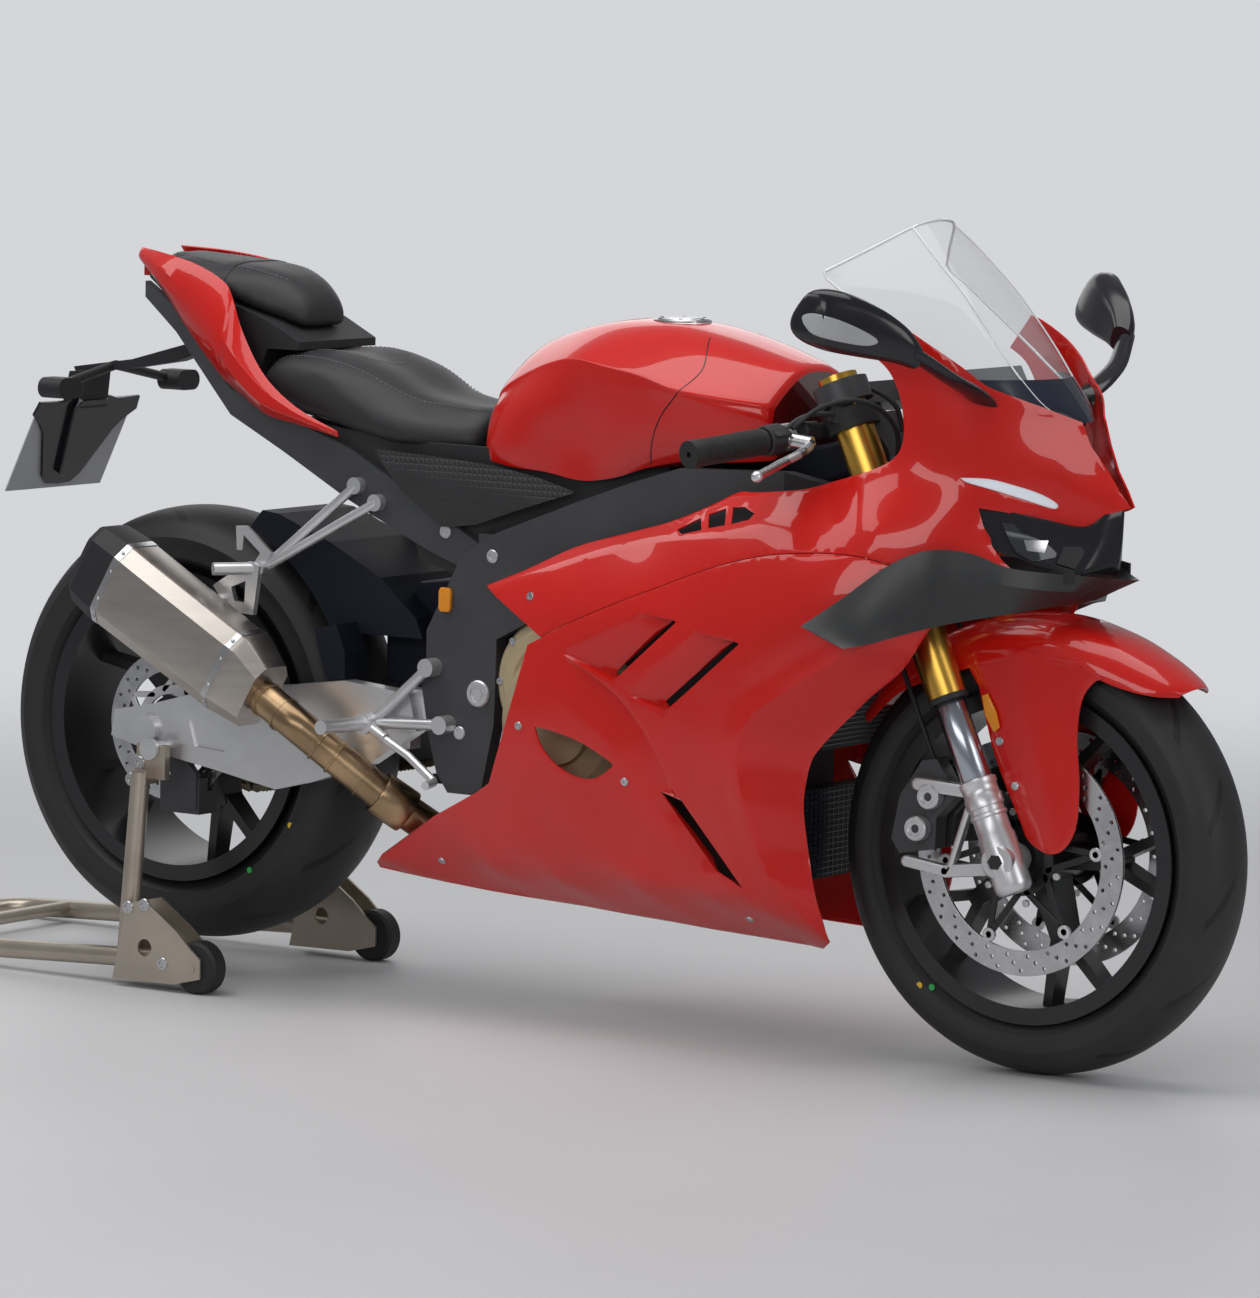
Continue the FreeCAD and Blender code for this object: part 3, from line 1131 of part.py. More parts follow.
stand_brace = rod(Vec(-430, -STAND_Y, 24), Vec(-430, STAND_Y, 24), 10)
paddock_stand = fuse([half_stand, mirror(half_stand), stand_brace])
paddock_stand = paddock_stand.cut(swingarm)
piece("paddock_stand", paddock_stand)

for side, y in (("right", -STAND_Y), ("left", STAND_Y)):
    half = "Sizes.roller_width / 2"
    edge = "Sizes.roller_radius - 4"
    turned_body(f"stand_roller_{side}", ROLLER + Vec(0, y, 0), "XY_Plane",
                [("Sizes.roller_bore", f"-{half}"), (edge, f"-{half}"),
                 ("Sizes.roller_radius", f"-{half} + 4"), ("Sizes.roller_radius", f"{half} - 4"),
                 (edge, half), ("Sizes.roller_bore", half)])

# Steering: clamps, fork, calipers, fender and bars

FORK_Y = size("fork_spread")
LOWER_CLAMP = 756
UPPER_CLAMP = 966
clamp_high = 30


def clamp(along):
    """A fork clamp: a bridge between two split rings, square to the steering axis."""
    low = along
    rings = [rod(steer_point(low, FORK_AHEAD, y), steer_point(low + clamp_high, FORK_AHEAD, y), 38)
             for y in (-FORK_Y, FORK_Y)]
    middle = rod(steer_point(low), steer_point(low + clamp_high), 32)
    bar = Part.makeBox(44, 2 * FORK_Y, clamp_high, Vec(-12, -FORK_Y, 0))
    bar.Placement = FreeCAD.Placement(steer_point(low), FORK_LEAN)
    return rings + [middle, bar]


stem = rod(steer_point(LOWER_CLAMP), steer_point(UPPER_CLAMP + clamp_high), size("stem_radius"))
clamps = fuse(clamp(LOWER_CLAMP) + clamp(UPPER_CLAMP) + [stem])
FORK_TOP = UPPER_CLAMP + 40 - AXLE_ALONG
UPPER_LOW = 232
fork_room = [rod(fork_point(UPPER_LOW, y), fork_point(FORK_TOP + 10, y), size("fork_upper_radius") + 0.05)
             for y in (-FORK_Y, FORK_Y)]
clamps = clamps.cut(fork_room[0]).cut(fork_room[1])
clamps = clamps.cut(rod(steer_point(UPPER_CLAMP + 2), steer_point(UPPER_CLAMP + 40), 10))
piece("fork_clamps", clamps)
uppers = [rod(fork_point(UPPER_LOW, y), fork_point(FORK_TOP, y), size("fork_upper_radius"))
          for y in (-FORK_Y, FORK_Y)]
piece("fork_uppers", Part.makeCompound(uppers))
LEG_BOTTOM = -46
leg_tube = rod(fork_point(LEG_BOTTOM + 10, -FORK_Y), fork_point(UPPER_LOW - GAP, -FORK_Y),
               size("fork_lower_radius"))
axle_clamp = rod(fork_point(LEG_BOTTOM, -FORK_Y), fork_point(36, -FORK_Y), 26)
axle_lug = rod(FRONT_AXLE + Vec(0, -FORK_Y - 24, 0), FRONT_AXLE + Vec(0, -80, 0), 24)
# Caliper arms of the fork's foot: from x, z, to x, z, half width, all measured from the axle
FOOT_ARMS = (
    (-50, 88, -137, 92, 9),
    (-12, -12, -89, -22, 9),
    (-89, -22, -152, -14, 8),
    (-84, -20, -52, 76, 6),
)
foot_arms = [bar_xz((x0, z0), (x1, z1), half, -FORK_Y - 8, -FORK_Y + 6).translated(FRONT_AXLE)
             for x0, z0, x1, z1, half in FOOT_ARMS]
leg_ring = rod(fork_point(84, -FORK_Y), fork_point(112, -FORK_Y), 25)
fork_leg = fuse([leg_tube, axle_clamp, axle_lug, leg_ring] + foot_arms)
front_axle = rod(FRONT_AXLE + Vec(0, -120, 0), FRONT_AXLE + Vec(0, 120, 0), size("axle_radius"))
axle_sleeve = rod(FRONT_AXLE + Vec(0, -86, 0), FRONT_AXLE + Vec(0, -front_disc_in - 6, 0), 20)
fork_lowers = fuse([fork_leg, mirror(fork_leg), front_axle, axle_sleeve, mirror(axle_sleeve)])
piece("fork_lowers", fork_lowers)

# Brake hoses: from each caliper up behind its fork leg to a junction under the lower clamp

JUNCTION_ALONG = LOWER_CLAMP - 18
HOSE_BEHIND = STEER_FRONT * -62
junction = Part.makeBox(26, 56, 18, Vec(-16, -28, 0))
junction.Placement = FreeCAD.Placement(steer_point(JUNCTION_ALONG), FORK_LEAN)
hose = tube([fork_point(140, -90) + HOSE_BEHIND, fork_point(330, -90) + HOSE_BEHIND,
             fork_point(398, -24) + STEER_FRONT * -42, steer_point(JUNCTION_ALONG + 6, -3, -20)],
            size("hose_radius"), 30)
hose = hose.cut(clamps)

# Calipers: a block that follows the disc's edge, with two round covers over its pistons
CALIPER_TURN = 157
CALIPER_SPREAD = 25
CALIPER_IN = size("front_disc_radius") - 46
CALIPER_OUT = size("front_disc_radius") + 24
SLOT_ROOM = 6.3


def disc_place(radius, degrees, y):
    """A place beside the right front disc, by its radius and its angle above level ahead."""
    theta = math.radians(degrees)
    return FRONT_AXLE + Vec(radius * math.cos(theta), y, radius * math.sin(theta))


caliper_outline = [disc_place(radius, CALIPER_TURN + turn, 0) for radius, turn in
                   ((CALIPER_IN, -CALIPER_SPREAD + 4), (CALIPER_OUT - 14, -CALIPER_SPREAD),
                    (CALIPER_OUT, -CALIPER_SPREAD + 6), (CALIPER_OUT + 2, 0),
                    (CALIPER_OUT, CALIPER_SPREAD - 6), (CALIPER_OUT - 14, CALIPER_SPREAD),
                    (CALIPER_IN, CALIPER_SPREAD - 4), (CALIPER_IN + 8, 0))]
caliper = plate_xz([(point.x, point.z) for point in caliper_outline], -FORK_Y + 6 + GAP, -46)
for turn in (-10, 10):
    cover_at = disc_place(CALIPER_IN + 26, CALIPER_TURN + turn, -FORK_Y + 8)
    caliper = caliper.fuse(rod(cover_at, cover_at - Vec(0, 16, 0), 15))
slot_low = -size("front_disc_y") - half_disc - SLOT_ROOM
caliper_slot = Part.makeCylinder(size("front_disc_radius") + 6, size("disc_thickness") + 2 * SLOT_ROOM,
                                 FRONT_AXLE + Vec(0, slot_low, 0), Y_AXIS)
caliper = caliper.cut(caliper_slot)
caliper = max(caliper.cut(fork_lowers).Solids, key=lambda solid: solid.Volume)
piece("front_calipers", pair(caliper))
brake_hoses = fuse([junction, hose, mirror(hose)]).cut(clamps).cut(caliper).cut(mirror(caliper))
piece("brake_hoses", max(brake_hoses.Solids, key=lambda solid: solid.Volume))

FENDER_IN = size("front_tyre_radius") + 14
fender_half = size("front_tyre_width") / 2 + 15


def fender_profile(grow):
    """The arch's section: a crown that falls away to a lip on each side."""
    half = fender_half + grow
    crown = FENDER_IN + 8 + grow
    shoulder = FENDER_IN - 4 + grow
    lip = FENDER_IN - 46
    edges = [
        Part.makeLine(Vec(lip, -half, 0), Vec(shoulder - 18, -half, 0)),
        Part.makeLine(Vec(shoulder - 18, -half, 0), Vec(shoulder, -half + 14, 0)),
        Part.Arc(Vec(shoulder, -half + 14, 0), Vec(crown, 0, 0), Vec(shoulder, half - 14, 0)).toShape(),
        Part.makeLine(Vec(shoulder, half - 14, 0), Vec(shoulder - 18, half, 0)),
        Part.makeLine(Vec(shoulder - 18, half, 0), Vec(lip, half, 0)),
        Part.makeLine(Vec(lip, half, 0), Vec(lip, -half, 0)),
    ]
    return Part.Face(Part.Wire(edges)).revolve(Vec(0, 0, 0), Y_AXIS, 360)


fender_arch = fender_profile(0).cut(fender_profile(-WALL)).translated(FRONT_AXLE)
ARCH_VIEW = [(1440, 400), (1676, 538), (1620, 640), (1300, 660), (1180, 500), (1250, 470), (1400, 520)]
arch_view = plate_xz(ARCH_VIEW, -100, 100)
fender_arch = fender_arch.common(arch_view)
skirt = plate_xz([(1340, 560), (1352, 470), (1412, 345), (1480, 316), (1508, 318), (1526, 356), (1524, 520),
                  (1500, 560)], -fender_half, -fender_half + WALL)
for along in (128, 192):
    lug = fork_point(along, -fender_half + WALL)
    skirt = skirt.fuse(rod(lug, Vec(lug.x, -FORK_Y + 10, lug.z), 7))
front_fender = fuse([fender_arch, skirt, mirror(skirt)])
front_fender = front_fender.cut(fork_lowers).cut(uppers[0]).cut(uppers[1])
front_fender = max(front_fender.Solids, key=lambda solid: solid.Volume)
piece("front_fender", front_fender)

bar_clamp_low = UPPER_CLAMP - 36
bar_ring = rod(steer_point(bar_clamp_low, FORK_AHEAD, -FORK_Y),
               steer_point(bar_clamp_low + 28, FORK_AHEAD, -FORK_Y), 36)
bar_start = steer_point(bar_clamp_low + 14, FORK_AHEAD - 34, -FORK_Y)
bar_end = Vec(1078, -size("bar_end_y"), 836)
bar = rod(bar_start, bar_end, 11)
along_bar = (bar_end - bar_start).normalize()
grip = rod(bar_end - along_bar * 128, bar_end - along_bar * 2, size("grip_radius"))
bar_cap = rod(bar_end - along_bar * 12, bar_end + along_bar * 4, 19)
handlebar = fuse([bar_ring, bar, grip, bar_cap]).cut(fork_room[0])
handlebar = handlebar.cut(rod(bar_end + along_bar * 5, bar_end - along_bar * 22, 4))
piece("handlebars", pair(handlebar))

perch_at = bar_start + along_bar * 92
perch = rod(perch_at - along_bar * 12, perch_at + along_bar * 12, 19)
lever_pivot_at = perch_at + Vec(44, 6, -6)
perch_arm = rod(perch_at, lever_pivot_at, 10)
lever_tip = Vec(1176, -size("bar_end_y") + 12, 812)
lever = tube([lever_pivot_at, lever_pivot_at + Vec(12, -40, -8), lever_tip], 6, 20)
lever_set = fuse([perch, perch_arm, lever]).cut(handlebar)
lever_set = max(lever_set.Solids, key=lambda solid: solid.Volume)
piece("hand_levers", pair(lever_set))

# Checks, then one file for each piece

doc.recompute()
for item in doc.Objects:
    if "Invalid" in item.State or "Error" in item.State:
        raise RuntimeError(f"{item.Label} did not recompute")
os.makedirs("parts", exist_ok=True)
for node in NODES:
    if node.Shape.isNull() or not node.Shape.isValid():
        raise RuntimeError(f"{node.Label} has no valid shape")
    print(node.Label, len(node.Shape.Solids), round(node.Shape.Volume / 1000, 1))
    node.Shape.exportStep(os.path.join("parts", f"{node.Label}.step"))
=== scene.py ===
# %% [markdown]
# # A sport bike on its rear paddock stand
# The real object is a faired motorcycle: painted plastic panels over an aluminium frame, two
# 17-inch wheels, and a tube stand that lifts the rear one. The solid parts come in first as a
# fixed frame, each on the body that it moves with. Everything made below is placed round them.

# %% Load the frame
import bmesh
import bpy
import json
import math
import numpy as np
from contextlib import contextmanager
from mathutils import Matrix, Vector
from mathutils.geometry import delaunay_2d_cdt

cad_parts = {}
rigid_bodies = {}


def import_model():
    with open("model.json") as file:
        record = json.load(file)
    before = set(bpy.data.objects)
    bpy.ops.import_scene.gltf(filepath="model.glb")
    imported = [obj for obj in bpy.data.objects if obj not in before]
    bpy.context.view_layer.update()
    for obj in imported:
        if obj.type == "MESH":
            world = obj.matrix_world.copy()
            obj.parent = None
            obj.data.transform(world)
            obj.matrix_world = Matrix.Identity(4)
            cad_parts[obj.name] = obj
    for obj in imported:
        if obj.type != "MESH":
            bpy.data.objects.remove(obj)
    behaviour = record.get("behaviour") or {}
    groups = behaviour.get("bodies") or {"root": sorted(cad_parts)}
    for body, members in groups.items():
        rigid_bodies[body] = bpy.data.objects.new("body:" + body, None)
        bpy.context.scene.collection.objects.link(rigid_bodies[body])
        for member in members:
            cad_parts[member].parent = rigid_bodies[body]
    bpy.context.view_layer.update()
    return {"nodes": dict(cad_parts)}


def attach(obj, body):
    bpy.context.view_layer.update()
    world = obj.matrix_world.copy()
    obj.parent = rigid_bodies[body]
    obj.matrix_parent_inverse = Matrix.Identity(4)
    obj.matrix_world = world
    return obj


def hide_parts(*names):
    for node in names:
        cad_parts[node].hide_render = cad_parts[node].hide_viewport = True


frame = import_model()
NODES = frame["nodes"]

# %% [markdown]
# Places on a motorcycle are easiest to measure from the rear axle, in millimetres: x forward,
# y to the rider's left, z up from the floor. One small function turns such a place into the
# metres of the frame, so the tables below read like a workshop drawing.

# %% Measuring from the rear axle
AXLE_TO_MIDDLE = 582
REAR_AXLE = (0, 0, 364)
FRONT_AXLE = (1430, 0, 300)
RAKE = math.radians(24)


def spot(x, y, z):
    """A place measured from the rear axle in millimetres, as a point of the frame in metres."""
    return Vector(((x - AXLE_TO_MIDDLE) / 1000, y / 1000, z / 1000))


print("front axle at", [round(c, 3) for c in spot(*FRONT_AXLE)])

# %% [markdown]
# The camera stands low on the rider's right, ahead of the bike, with a long lens: the wheels
# look almost as round as from the side. Its place and turn were worked out from the two wheels,
# whose sizes are known.

# %% Camera
scene = bpy.context.scene


def held(name, data):
    """Links new data to the scene as an object."""
    holder = bpy.data.objects.new(name, data)
    scene.collection.objects.link(holder)
    return holder


SENSOR, PICTURE_HIGH, PIXELS_OF_FOCUS = 36, 1298, 6703.62
YAW, PITCH, ROLL = math.radians(34.4213), math.radians(-6.0389), math.radians(1.0258)
ahead = Vector((-math.sin(YAW) * math.cos(PITCH), math.cos(YAW) * math.cos(PITCH), math.sin(PITCH)))
level_right = ahead.cross(Vector((0, 0, 1))).normalized()
level_up = level_right.cross(ahead)
right = level_right * math.cos(ROLL) + level_up * math.sin(ROLL)
up = level_up * math.cos(ROLL) - level_right * math.sin(ROLL)
camera_data = bpy.data.cameras.new("camera")
camera_data.sensor_width = SENSOR
camera_data.lens = PIXELS_OF_FOCUS / PICTURE_HIGH * SENSOR
camera_data.clip_end = 200
camera = held("camera", camera_data)
camera.matrix_world = Matrix((
    (right.x, up.x, -ahead.x, 6.02748 - AXLE_TO_MIDDLE / 1000),
    (right.y, up.y, -ahead.y, -7.70742),
    (right.z, up.z, -ahead.z, 1.51337),
    (0, 0, 0, 1),
))
scene.camera = camera
print("lens", round(camera_data.lens, 1), "mm")

# %% [markdown]
# A studio for a glossy object is mostly large pale panels, because paint shows what is round it.
# One wide panel stands above, one on the camera's side and a narrow one behind for the edges.
# The floor is plain and pale, and the world fills the shadows.

# %% Floor, world and lamps
scene.view_settings.view_transform = "Standard"
FLOOR_FADES_FROM, FLOOR_GONE_AT, FLOOR_HALF = 1.3, 4.6, 30


def tuned(node, **values):
    """Sets inputs of a node by name, with a low line for a space, and gives the node back."""
    for name, value in values.items():
        node.inputs[name.replace("_", " ")].default_value = value
    return node


def wire(tree, source, output, target, entry):
    """Joins an output of one node to an input of another."""
    tree.links.new(source.outputs[output], target.inputs[entry])


def plain_floor():
    """A wide flat floor under the wheels, with its own plain finish that fades out far away."""
    mesh = bpy.data.meshes.new("floor")
    corners = [(x * FLOOR_HALF, y * FLOOR_HALF, 0) for x, y in ((-1, -1), (1, -1), (1, 1), (-1, 1))]
    mesh.from_pydata(corners, [], [(0, 1, 2, 3)])
    floor = held("floor", mesh)
    finish = bpy.data.materials.new("floor_finish")
    finish.use_nodes = True
    tree = finish.node_tree
    shader = tuned(tree.nodes["Principled BSDF"], Roughness=0.55)
    cloud = tuned(tree.nodes.new("ShaderNodeTexNoise"), Scale=1.4)
    ramp = tree.nodes.new("ShaderNodeValToRGB")
    ramp.color_ramp.elements[0].color = (0.60, 0.60, 0.61, 1)
    ramp.color_ramp.elements[1].color = (0.68, 0.68, 0.69, 1)
    place = tree.nodes.new("ShaderNodeTexCoord")
    away = tree.nodes.new("ShaderNodeVectorMath")
    away.operation = "LENGTH"
    fade = tuned(tree.nodes.new("ShaderNodeMapRange"), From_Min=FLOOR_FADES_FROM, From_Max=FLOOR_GONE_AT)
    fade.interpolation_type = "SMOOTHSTEP"
    nothing = tree.nodes.new("ShaderNodeBsdfTransparent")
    mix = tree.nodes.new("ShaderNodeMixShader")
    wire(tree, place, "Object", cloud, "Vector")
    wire(tree, cloud, "Fac", ramp, "Fac")
    wire(tree, ramp, "Color", shader, "Base Color")
    wire(tree, place, "Object", away, 0)
    wire(tree, away, "Value", fade, "Value")
    wire(tree, fade, "Result", mix, "Fac")
    wire(tree, shader, "BSDF", mix, 1)
    wire(tree, nothing, "BSDF", mix, 2)
    wire(tree, mix, "Shader", tree.nodes["Material Output"], "Surface")
    mesh.materials.append(finish)


def soft_lamp(name, place, target, size, power):
    """A rectangular lamp at a place, facing a target; the wider it is, the softer its light."""
    data = bpy.data.lights.new(name, "AREA")
    data.shape = "RECTANGLE"
    data.size, data.size_y = size
    data.energy = power
    lamp = held(name, data)
    lamp.location = place
    lamp.rotation_mode = "QUATERNION"
    lamp.rotation_quaternion = (Vector(target) - Vector(place)).to_track_quat("-Z", "Y")


plain_floor()
soft_lamp("top_panel", (0.2, -0.3, 3.6), (0, 0, 0.5), (4.2, 2.2), 70)
soft_lamp("side_panel", (1.5, -4.6, 2.2), (0, 0, 0.6), (4.0, 1.2), 45)
soft_lamp("front_panel", (5.2, -0.6, 1.8), (0.4, 0, 0.6), (1.6, 2.4), 32)
soft_lamp("back_panel", (-3.4, 3.6, 2.6), (0, 0, 0.7), (5.0, 2.6), 40)
soft_lamp("shoulder_strip", (-1.26, -1.33, 2.5), (0.2, -0.2, 0.7), (3.0, 0.6), 13)
world = bpy.data.worlds.new("studio")
scene.world = world
world.use_nodes = True
sky = world.node_tree
dim = tuned(sky.nodes["Background"], Color=(0.70, 0.72, 0.75, 1), Strength=0.34)
pale = tuned(sky.nodes.new("ShaderNodeBackground"), Color=(0.66, 0.67, 0.69, 1))
rays = sky.nodes.new("ShaderNodeLightPath")
blend = sky.nodes.new("ShaderNodeMixShader")
wire(sky, rays, "Is Camera Ray", blend, "Fac")
wire(sky, dim, "Background", blend, 1)
wire(sky, pale, "Background", blend, 2)
wire(sky, blend, "Shader", sky.nodes["World Output"], "Surface")
print("studio ready")

# %% [markdown]
# Every real surface drifts a little: paint is a shade deeper in one place, cast metal is
# mottled, plastic has a fine moulded grain. One helper builds such a finish out of noise:
# a slow noise drifts the colour and the gloss, and a fine one becomes the grain's bump.

# %% A helper for finishes
GRAIN_DEPTH = 0.0004


def surface_finish(name, colour, rough, metal=0.0, drift=0.1, patch=9.0, grain=0.0, grain_scale=900.0,
                   rough_drift=0.06, stretch=(1, 1, 1), **looks):
    """A finish whose colour and gloss drift in soft patches, with a fine bump on top."""
    finish = bpy.data.materials.new(name)
    finish.use_nodes = True
    tree = finish.node_tree
    shader = tuned(tree.nodes["Principled BSDF"], Metallic=metal, **looks)
    place = tree.nodes.new("ShaderNodeTexCoord")
    turn = tuned(tree.nodes.new("ShaderNodeMapping"), Scale=stretch)
    slow = tuned(tree.nodes.new("ShaderNodeTexNoise"), Scale=patch, Detail=4)
    ramp = tree.nodes.new("ShaderNodeValToRGB")
    for stop, at, share in zip(ramp.color_ramp.elements, (0.3, 0.7), (1 - drift, 1 + drift)):
        stop.position = at
        stop.color = [min(1, c * share) for c in colour] + [1]
    gloss = tuned(tree.nodes.new("ShaderNodeMapRange"), To_Min=max(0.02, rough - rough_drift),
                  To_Max=rough + rough_drift)
    wire(tree, place, "Object", turn, "Vector")
    wire(tree, turn, "Vector", slow, "Vector")
    wire(tree, slow, "Fac", ramp, "Fac")
    wire(tree, ramp, "Color", shader, "Base Color")
    wire(tree, slow, "Fac", gloss, "Value")
    wire(tree, gloss, "Result", shader, "Roughness")
    if grain:
        fine = tuned(tree.nodes.new("ShaderNodeTexNoise"), Scale=grain_scale, Detail=2)
        add_bump(tree, fine, "Fac", grain, GRAIN_DEPTH)
    return finish


def add_bump(tree, pattern, output, strength, depth):
    """Presses a pattern into a finish."""
    bump = tuned(tree.nodes.new("ShaderNodeBump"), Strength=strength, Distance=depth)
    wire(tree, tree.nodes["Mapping"], "Vector", pattern, "Vector")
    wire(tree, pattern, output, bump, "Height")
    wire(tree, bump, "Normal", tree.nodes["Principled BSDF"], "Normal")


# %% Paint, plastics and metals
red_paint = surface_finish("red_paint", (0.62, 0.010, 0.006), 0.3, drift=0.06, patch=5, rough_drift=0.03,
                           Specular_IOR_Level=0.15, Coat_Weight=0.8, Coat_Roughness=0.03)
frame_paint = surface_finish("frame_paint", (0.050, 0.051, 0.055), 0.42, drift=0.15, grain=0.25)
black_moulded = surface_finish("black_moulded", (0.016, 0.016, 0.018), 0.55, drift=0.2, grain=0.5)
black_gloss = surface_finish("black_gloss", (0.011, 0.011, 0.014), 0.18, drift=0.1)
wheel_paint = surface_finish("wheel_paint", (0.014, 0.014, 0.016), 0.3, drift=0.15, grain=0.1)
engine_cast = surface_finish("engine_cast", (0.06, 0.06, 0.064), 0.6, metal=0.4, drift=0.25, grain=0.8,
                             grain_scale=500)
bronze_cover = surface_finish("bronze_cover", (0.50, 0.40, 0.25), 0.42, metal=0.35, drift=0.2, grain=0.5)
cast_silver = surface_finish("cast_silver", (0.70, 0.70, 0.71), 0.34, metal=0.8, drift=0.1, grain=0.15)
arm_silver = surface_finish("arm_silver", (0.70, 0.70, 0.71), 0.3, metal=0.8, drift=0.1, grain=0.25)
steel = surface_finish("steel", (0.56, 0.56, 0.57), 0.27, metal=1.0, drift=0.12, patch=40)
chain_steel = surface_finish("chain_steel", (0.24, 0.20, 0.13), 0.4, metal=0.9, drift=0.3, patch=60)
titanium = surface_finish("titanium", (0.50, 0.46, 0.42), 0.33, metal=1.0, drift=0.08, patch=12, grain=0.3,
                          grain_scale=260, stretch=(1, 1, 6))
pipe_metal = surface_finish("pipe_metal", (0.38, 0.26, 0.15), 0.3, metal=1.0, drift=0.35, patch=14)
gold = surface_finish("gold", (0.72, 0.42, 0.08), 0.28, metal=1.0, drift=0.08)
slider_steel = surface_finish("slider_steel", (0.42, 0.45, 0.50), 0.22, metal=1.0, drift=0.05)
stand_paint = surface_finish("stand_paint", (0.48, 0.42, 0.35), 0.34, metal=0.8, drift=0.14, grain=0.15)
seat_cover = surface_finish("seat_cover", (0.020, 0.020, 0.022), 0.5, drift=0.15, grain=0.9, grain_scale=700)
rubber = surface_finish("rubber", (0.013, 0.013, 0.013), 0.62, drift=0.2, grain=0.6, grain_scale=600)
tyre_rubber = surface_finish("tyre_rubber", (0.018, 0.018, 0.018), 0.58, drift=0.2, grain=0.5,
                             grain_scale=800)
plate_finish = surface_finish("plate_finish", (0.42, 0.43, 0.44), 0.3, drift=0.05, patch=12)
hex_moulded = surface_finish("hex_moulded", (0.022, 0.022, 0.024), 0.5, drift=0.15)
cells = hex_moulded.node_tree.nodes.new("ShaderNodeTexVoronoi")
cells.feature = "DISTANCE_TO_EDGE"
tuned(cells, Scale=118, Randomness=0.12)
add_bump(hex_moulded.node_tree, cells, "Distance", 1.0, 0.0025)
wing_satin = surface_finish("wing_satin", (0.030, 0.031, 0.032), 0.38, drift=0.12, grain=0.2)
navy_band = surface_finish("navy_band", (0.012, 0.016, 0.030), 0.2, drift=0.1)
grey_lens = surface_finish("grey_lens", (0.42, 0.43, 0.44), 0.12, drift=0.1)
thread = surface_finish("thread", (0.16, 0.16, 0.165), 0.7, drift=0.1)
hood_black = surface_finish("hood_black", (0.010, 0.012, 0.020), 0.55, drift=0.12, grain=0.15,
                            Specular_IOR_Level=0.2)
print("finishes:", len(bpy.data.materials))


# %% Glass, lamps and lenses
def clear_finish(name, tint, rough, alpha):
    """A thin clear plastic: mostly see-through, with its gloss kept."""
    return surface_finish(name, tint, rough, drift=0.04, rough_drift=0.01, Alpha=alpha, Coat_Weight=1.0,
                          Coat_Roughness=0.02)


clear_screen = clear_finish("clear_screen", (0.62, 0.66, 0.70), 0.05, 0.14)
dark_lens = surface_finish("dark_lens", (0.03, 0.033, 0.04), 0.06, drift=0.1, rough_drift=0.01)
red_lens = surface_finish("red_lens", (0.35, 0.01, 0.012), 0.1, drift=0.1)
amber_lens = surface_finish("amber_lens", (0.85, 0.30, 0.02), 0.12, drift=0.1)
light_strip = surface_finish("light_strip", (0.66, 0.72, 0.80), 0.2, drift=0.03,
                             Emission_Color=(0.9, 0.95, 1, 1), Emission_Strength=0.22)
# a pale, nearly solid finish for tubes on the screen's rim and folds: a painted highlight
edge_glow = clear_finish("edge_glow", (0.86, 0.88, 0.90), 0.1, 0.9)
print("clear finishes ready")

# %% [markdown]
# A solid that already has the right shape only needs its finish. The table gives each one's
# finish; a piece made later that stands for one of them hides it.

# %% Finishes of the solid parts
SOLID_FINISHES = (
    (frame_paint, "main_frame subframe fairing_stay rear_caliper fork_clamps front_calipers side_stand"),
    (red_paint, "fuel_tank tail_cowl nose_cowl upper_fairing front_fender"),
    (red_paint, "side_fairing_right side_fairing_left"),
    (black_moulded, "radiators tail_undertray plate_arm side_panels winglets"),
    (rubber, "brake_hoses handlebars stand_roller_right stand_roller_left"),
    (cast_silver, "fuel_cap rearsets pillion_footrests fork_lowers"),
    (chain_steel, "drive_chain front_sprocket rear_sprocket"),
    (steel, "hand_levers front_discs rear_disc"),
    (seat_cover, "rider_seat pillion_seat"), (tyre_rubber, "front_tyre rear_tyre"),
    (wheel_paint, "front_rim rear_rim"), (black_gloss, "dash mirrors"), (engine_cast, "engine_block"),
    (bronze_cover, "engine_covers"), (red_lens, "tail_light"), (hood_black, "rear_hugger"),
    (plate_finish, "number_plate"), (dark_lens, "headlamps"), (clear_screen, "windscreen"),
    (titanium, "silencer"), (pipe_metal, "exhaust_pipes"), (arm_silver, "swingarm"),
    (stand_paint, "paddock_stand"), (gold, "fork_uppers"),
)
for finish, names in SOLID_FINISHES:
    for name in names.split():
        NODES[name].data.materials.clear()
        NODES[name].data.materials.append(finish)
print("finished nodes:", sum(len(names.split()) for _, names in SOLID_FINISHES))

# %% [markdown]
# The bodywork is thin painted plastic, bent in two directions, with crisp folds and cut edges.
# A box that is pushed and pulled would lose those edges, so each panel is cut like the real one
# is trimmed: a side view of its outline, holes and folds is filled with small triangles, and
# every point is then set out to the panel's depth. The depth comes from a thin plate, bent by
# calculation through a few dozen measured places.

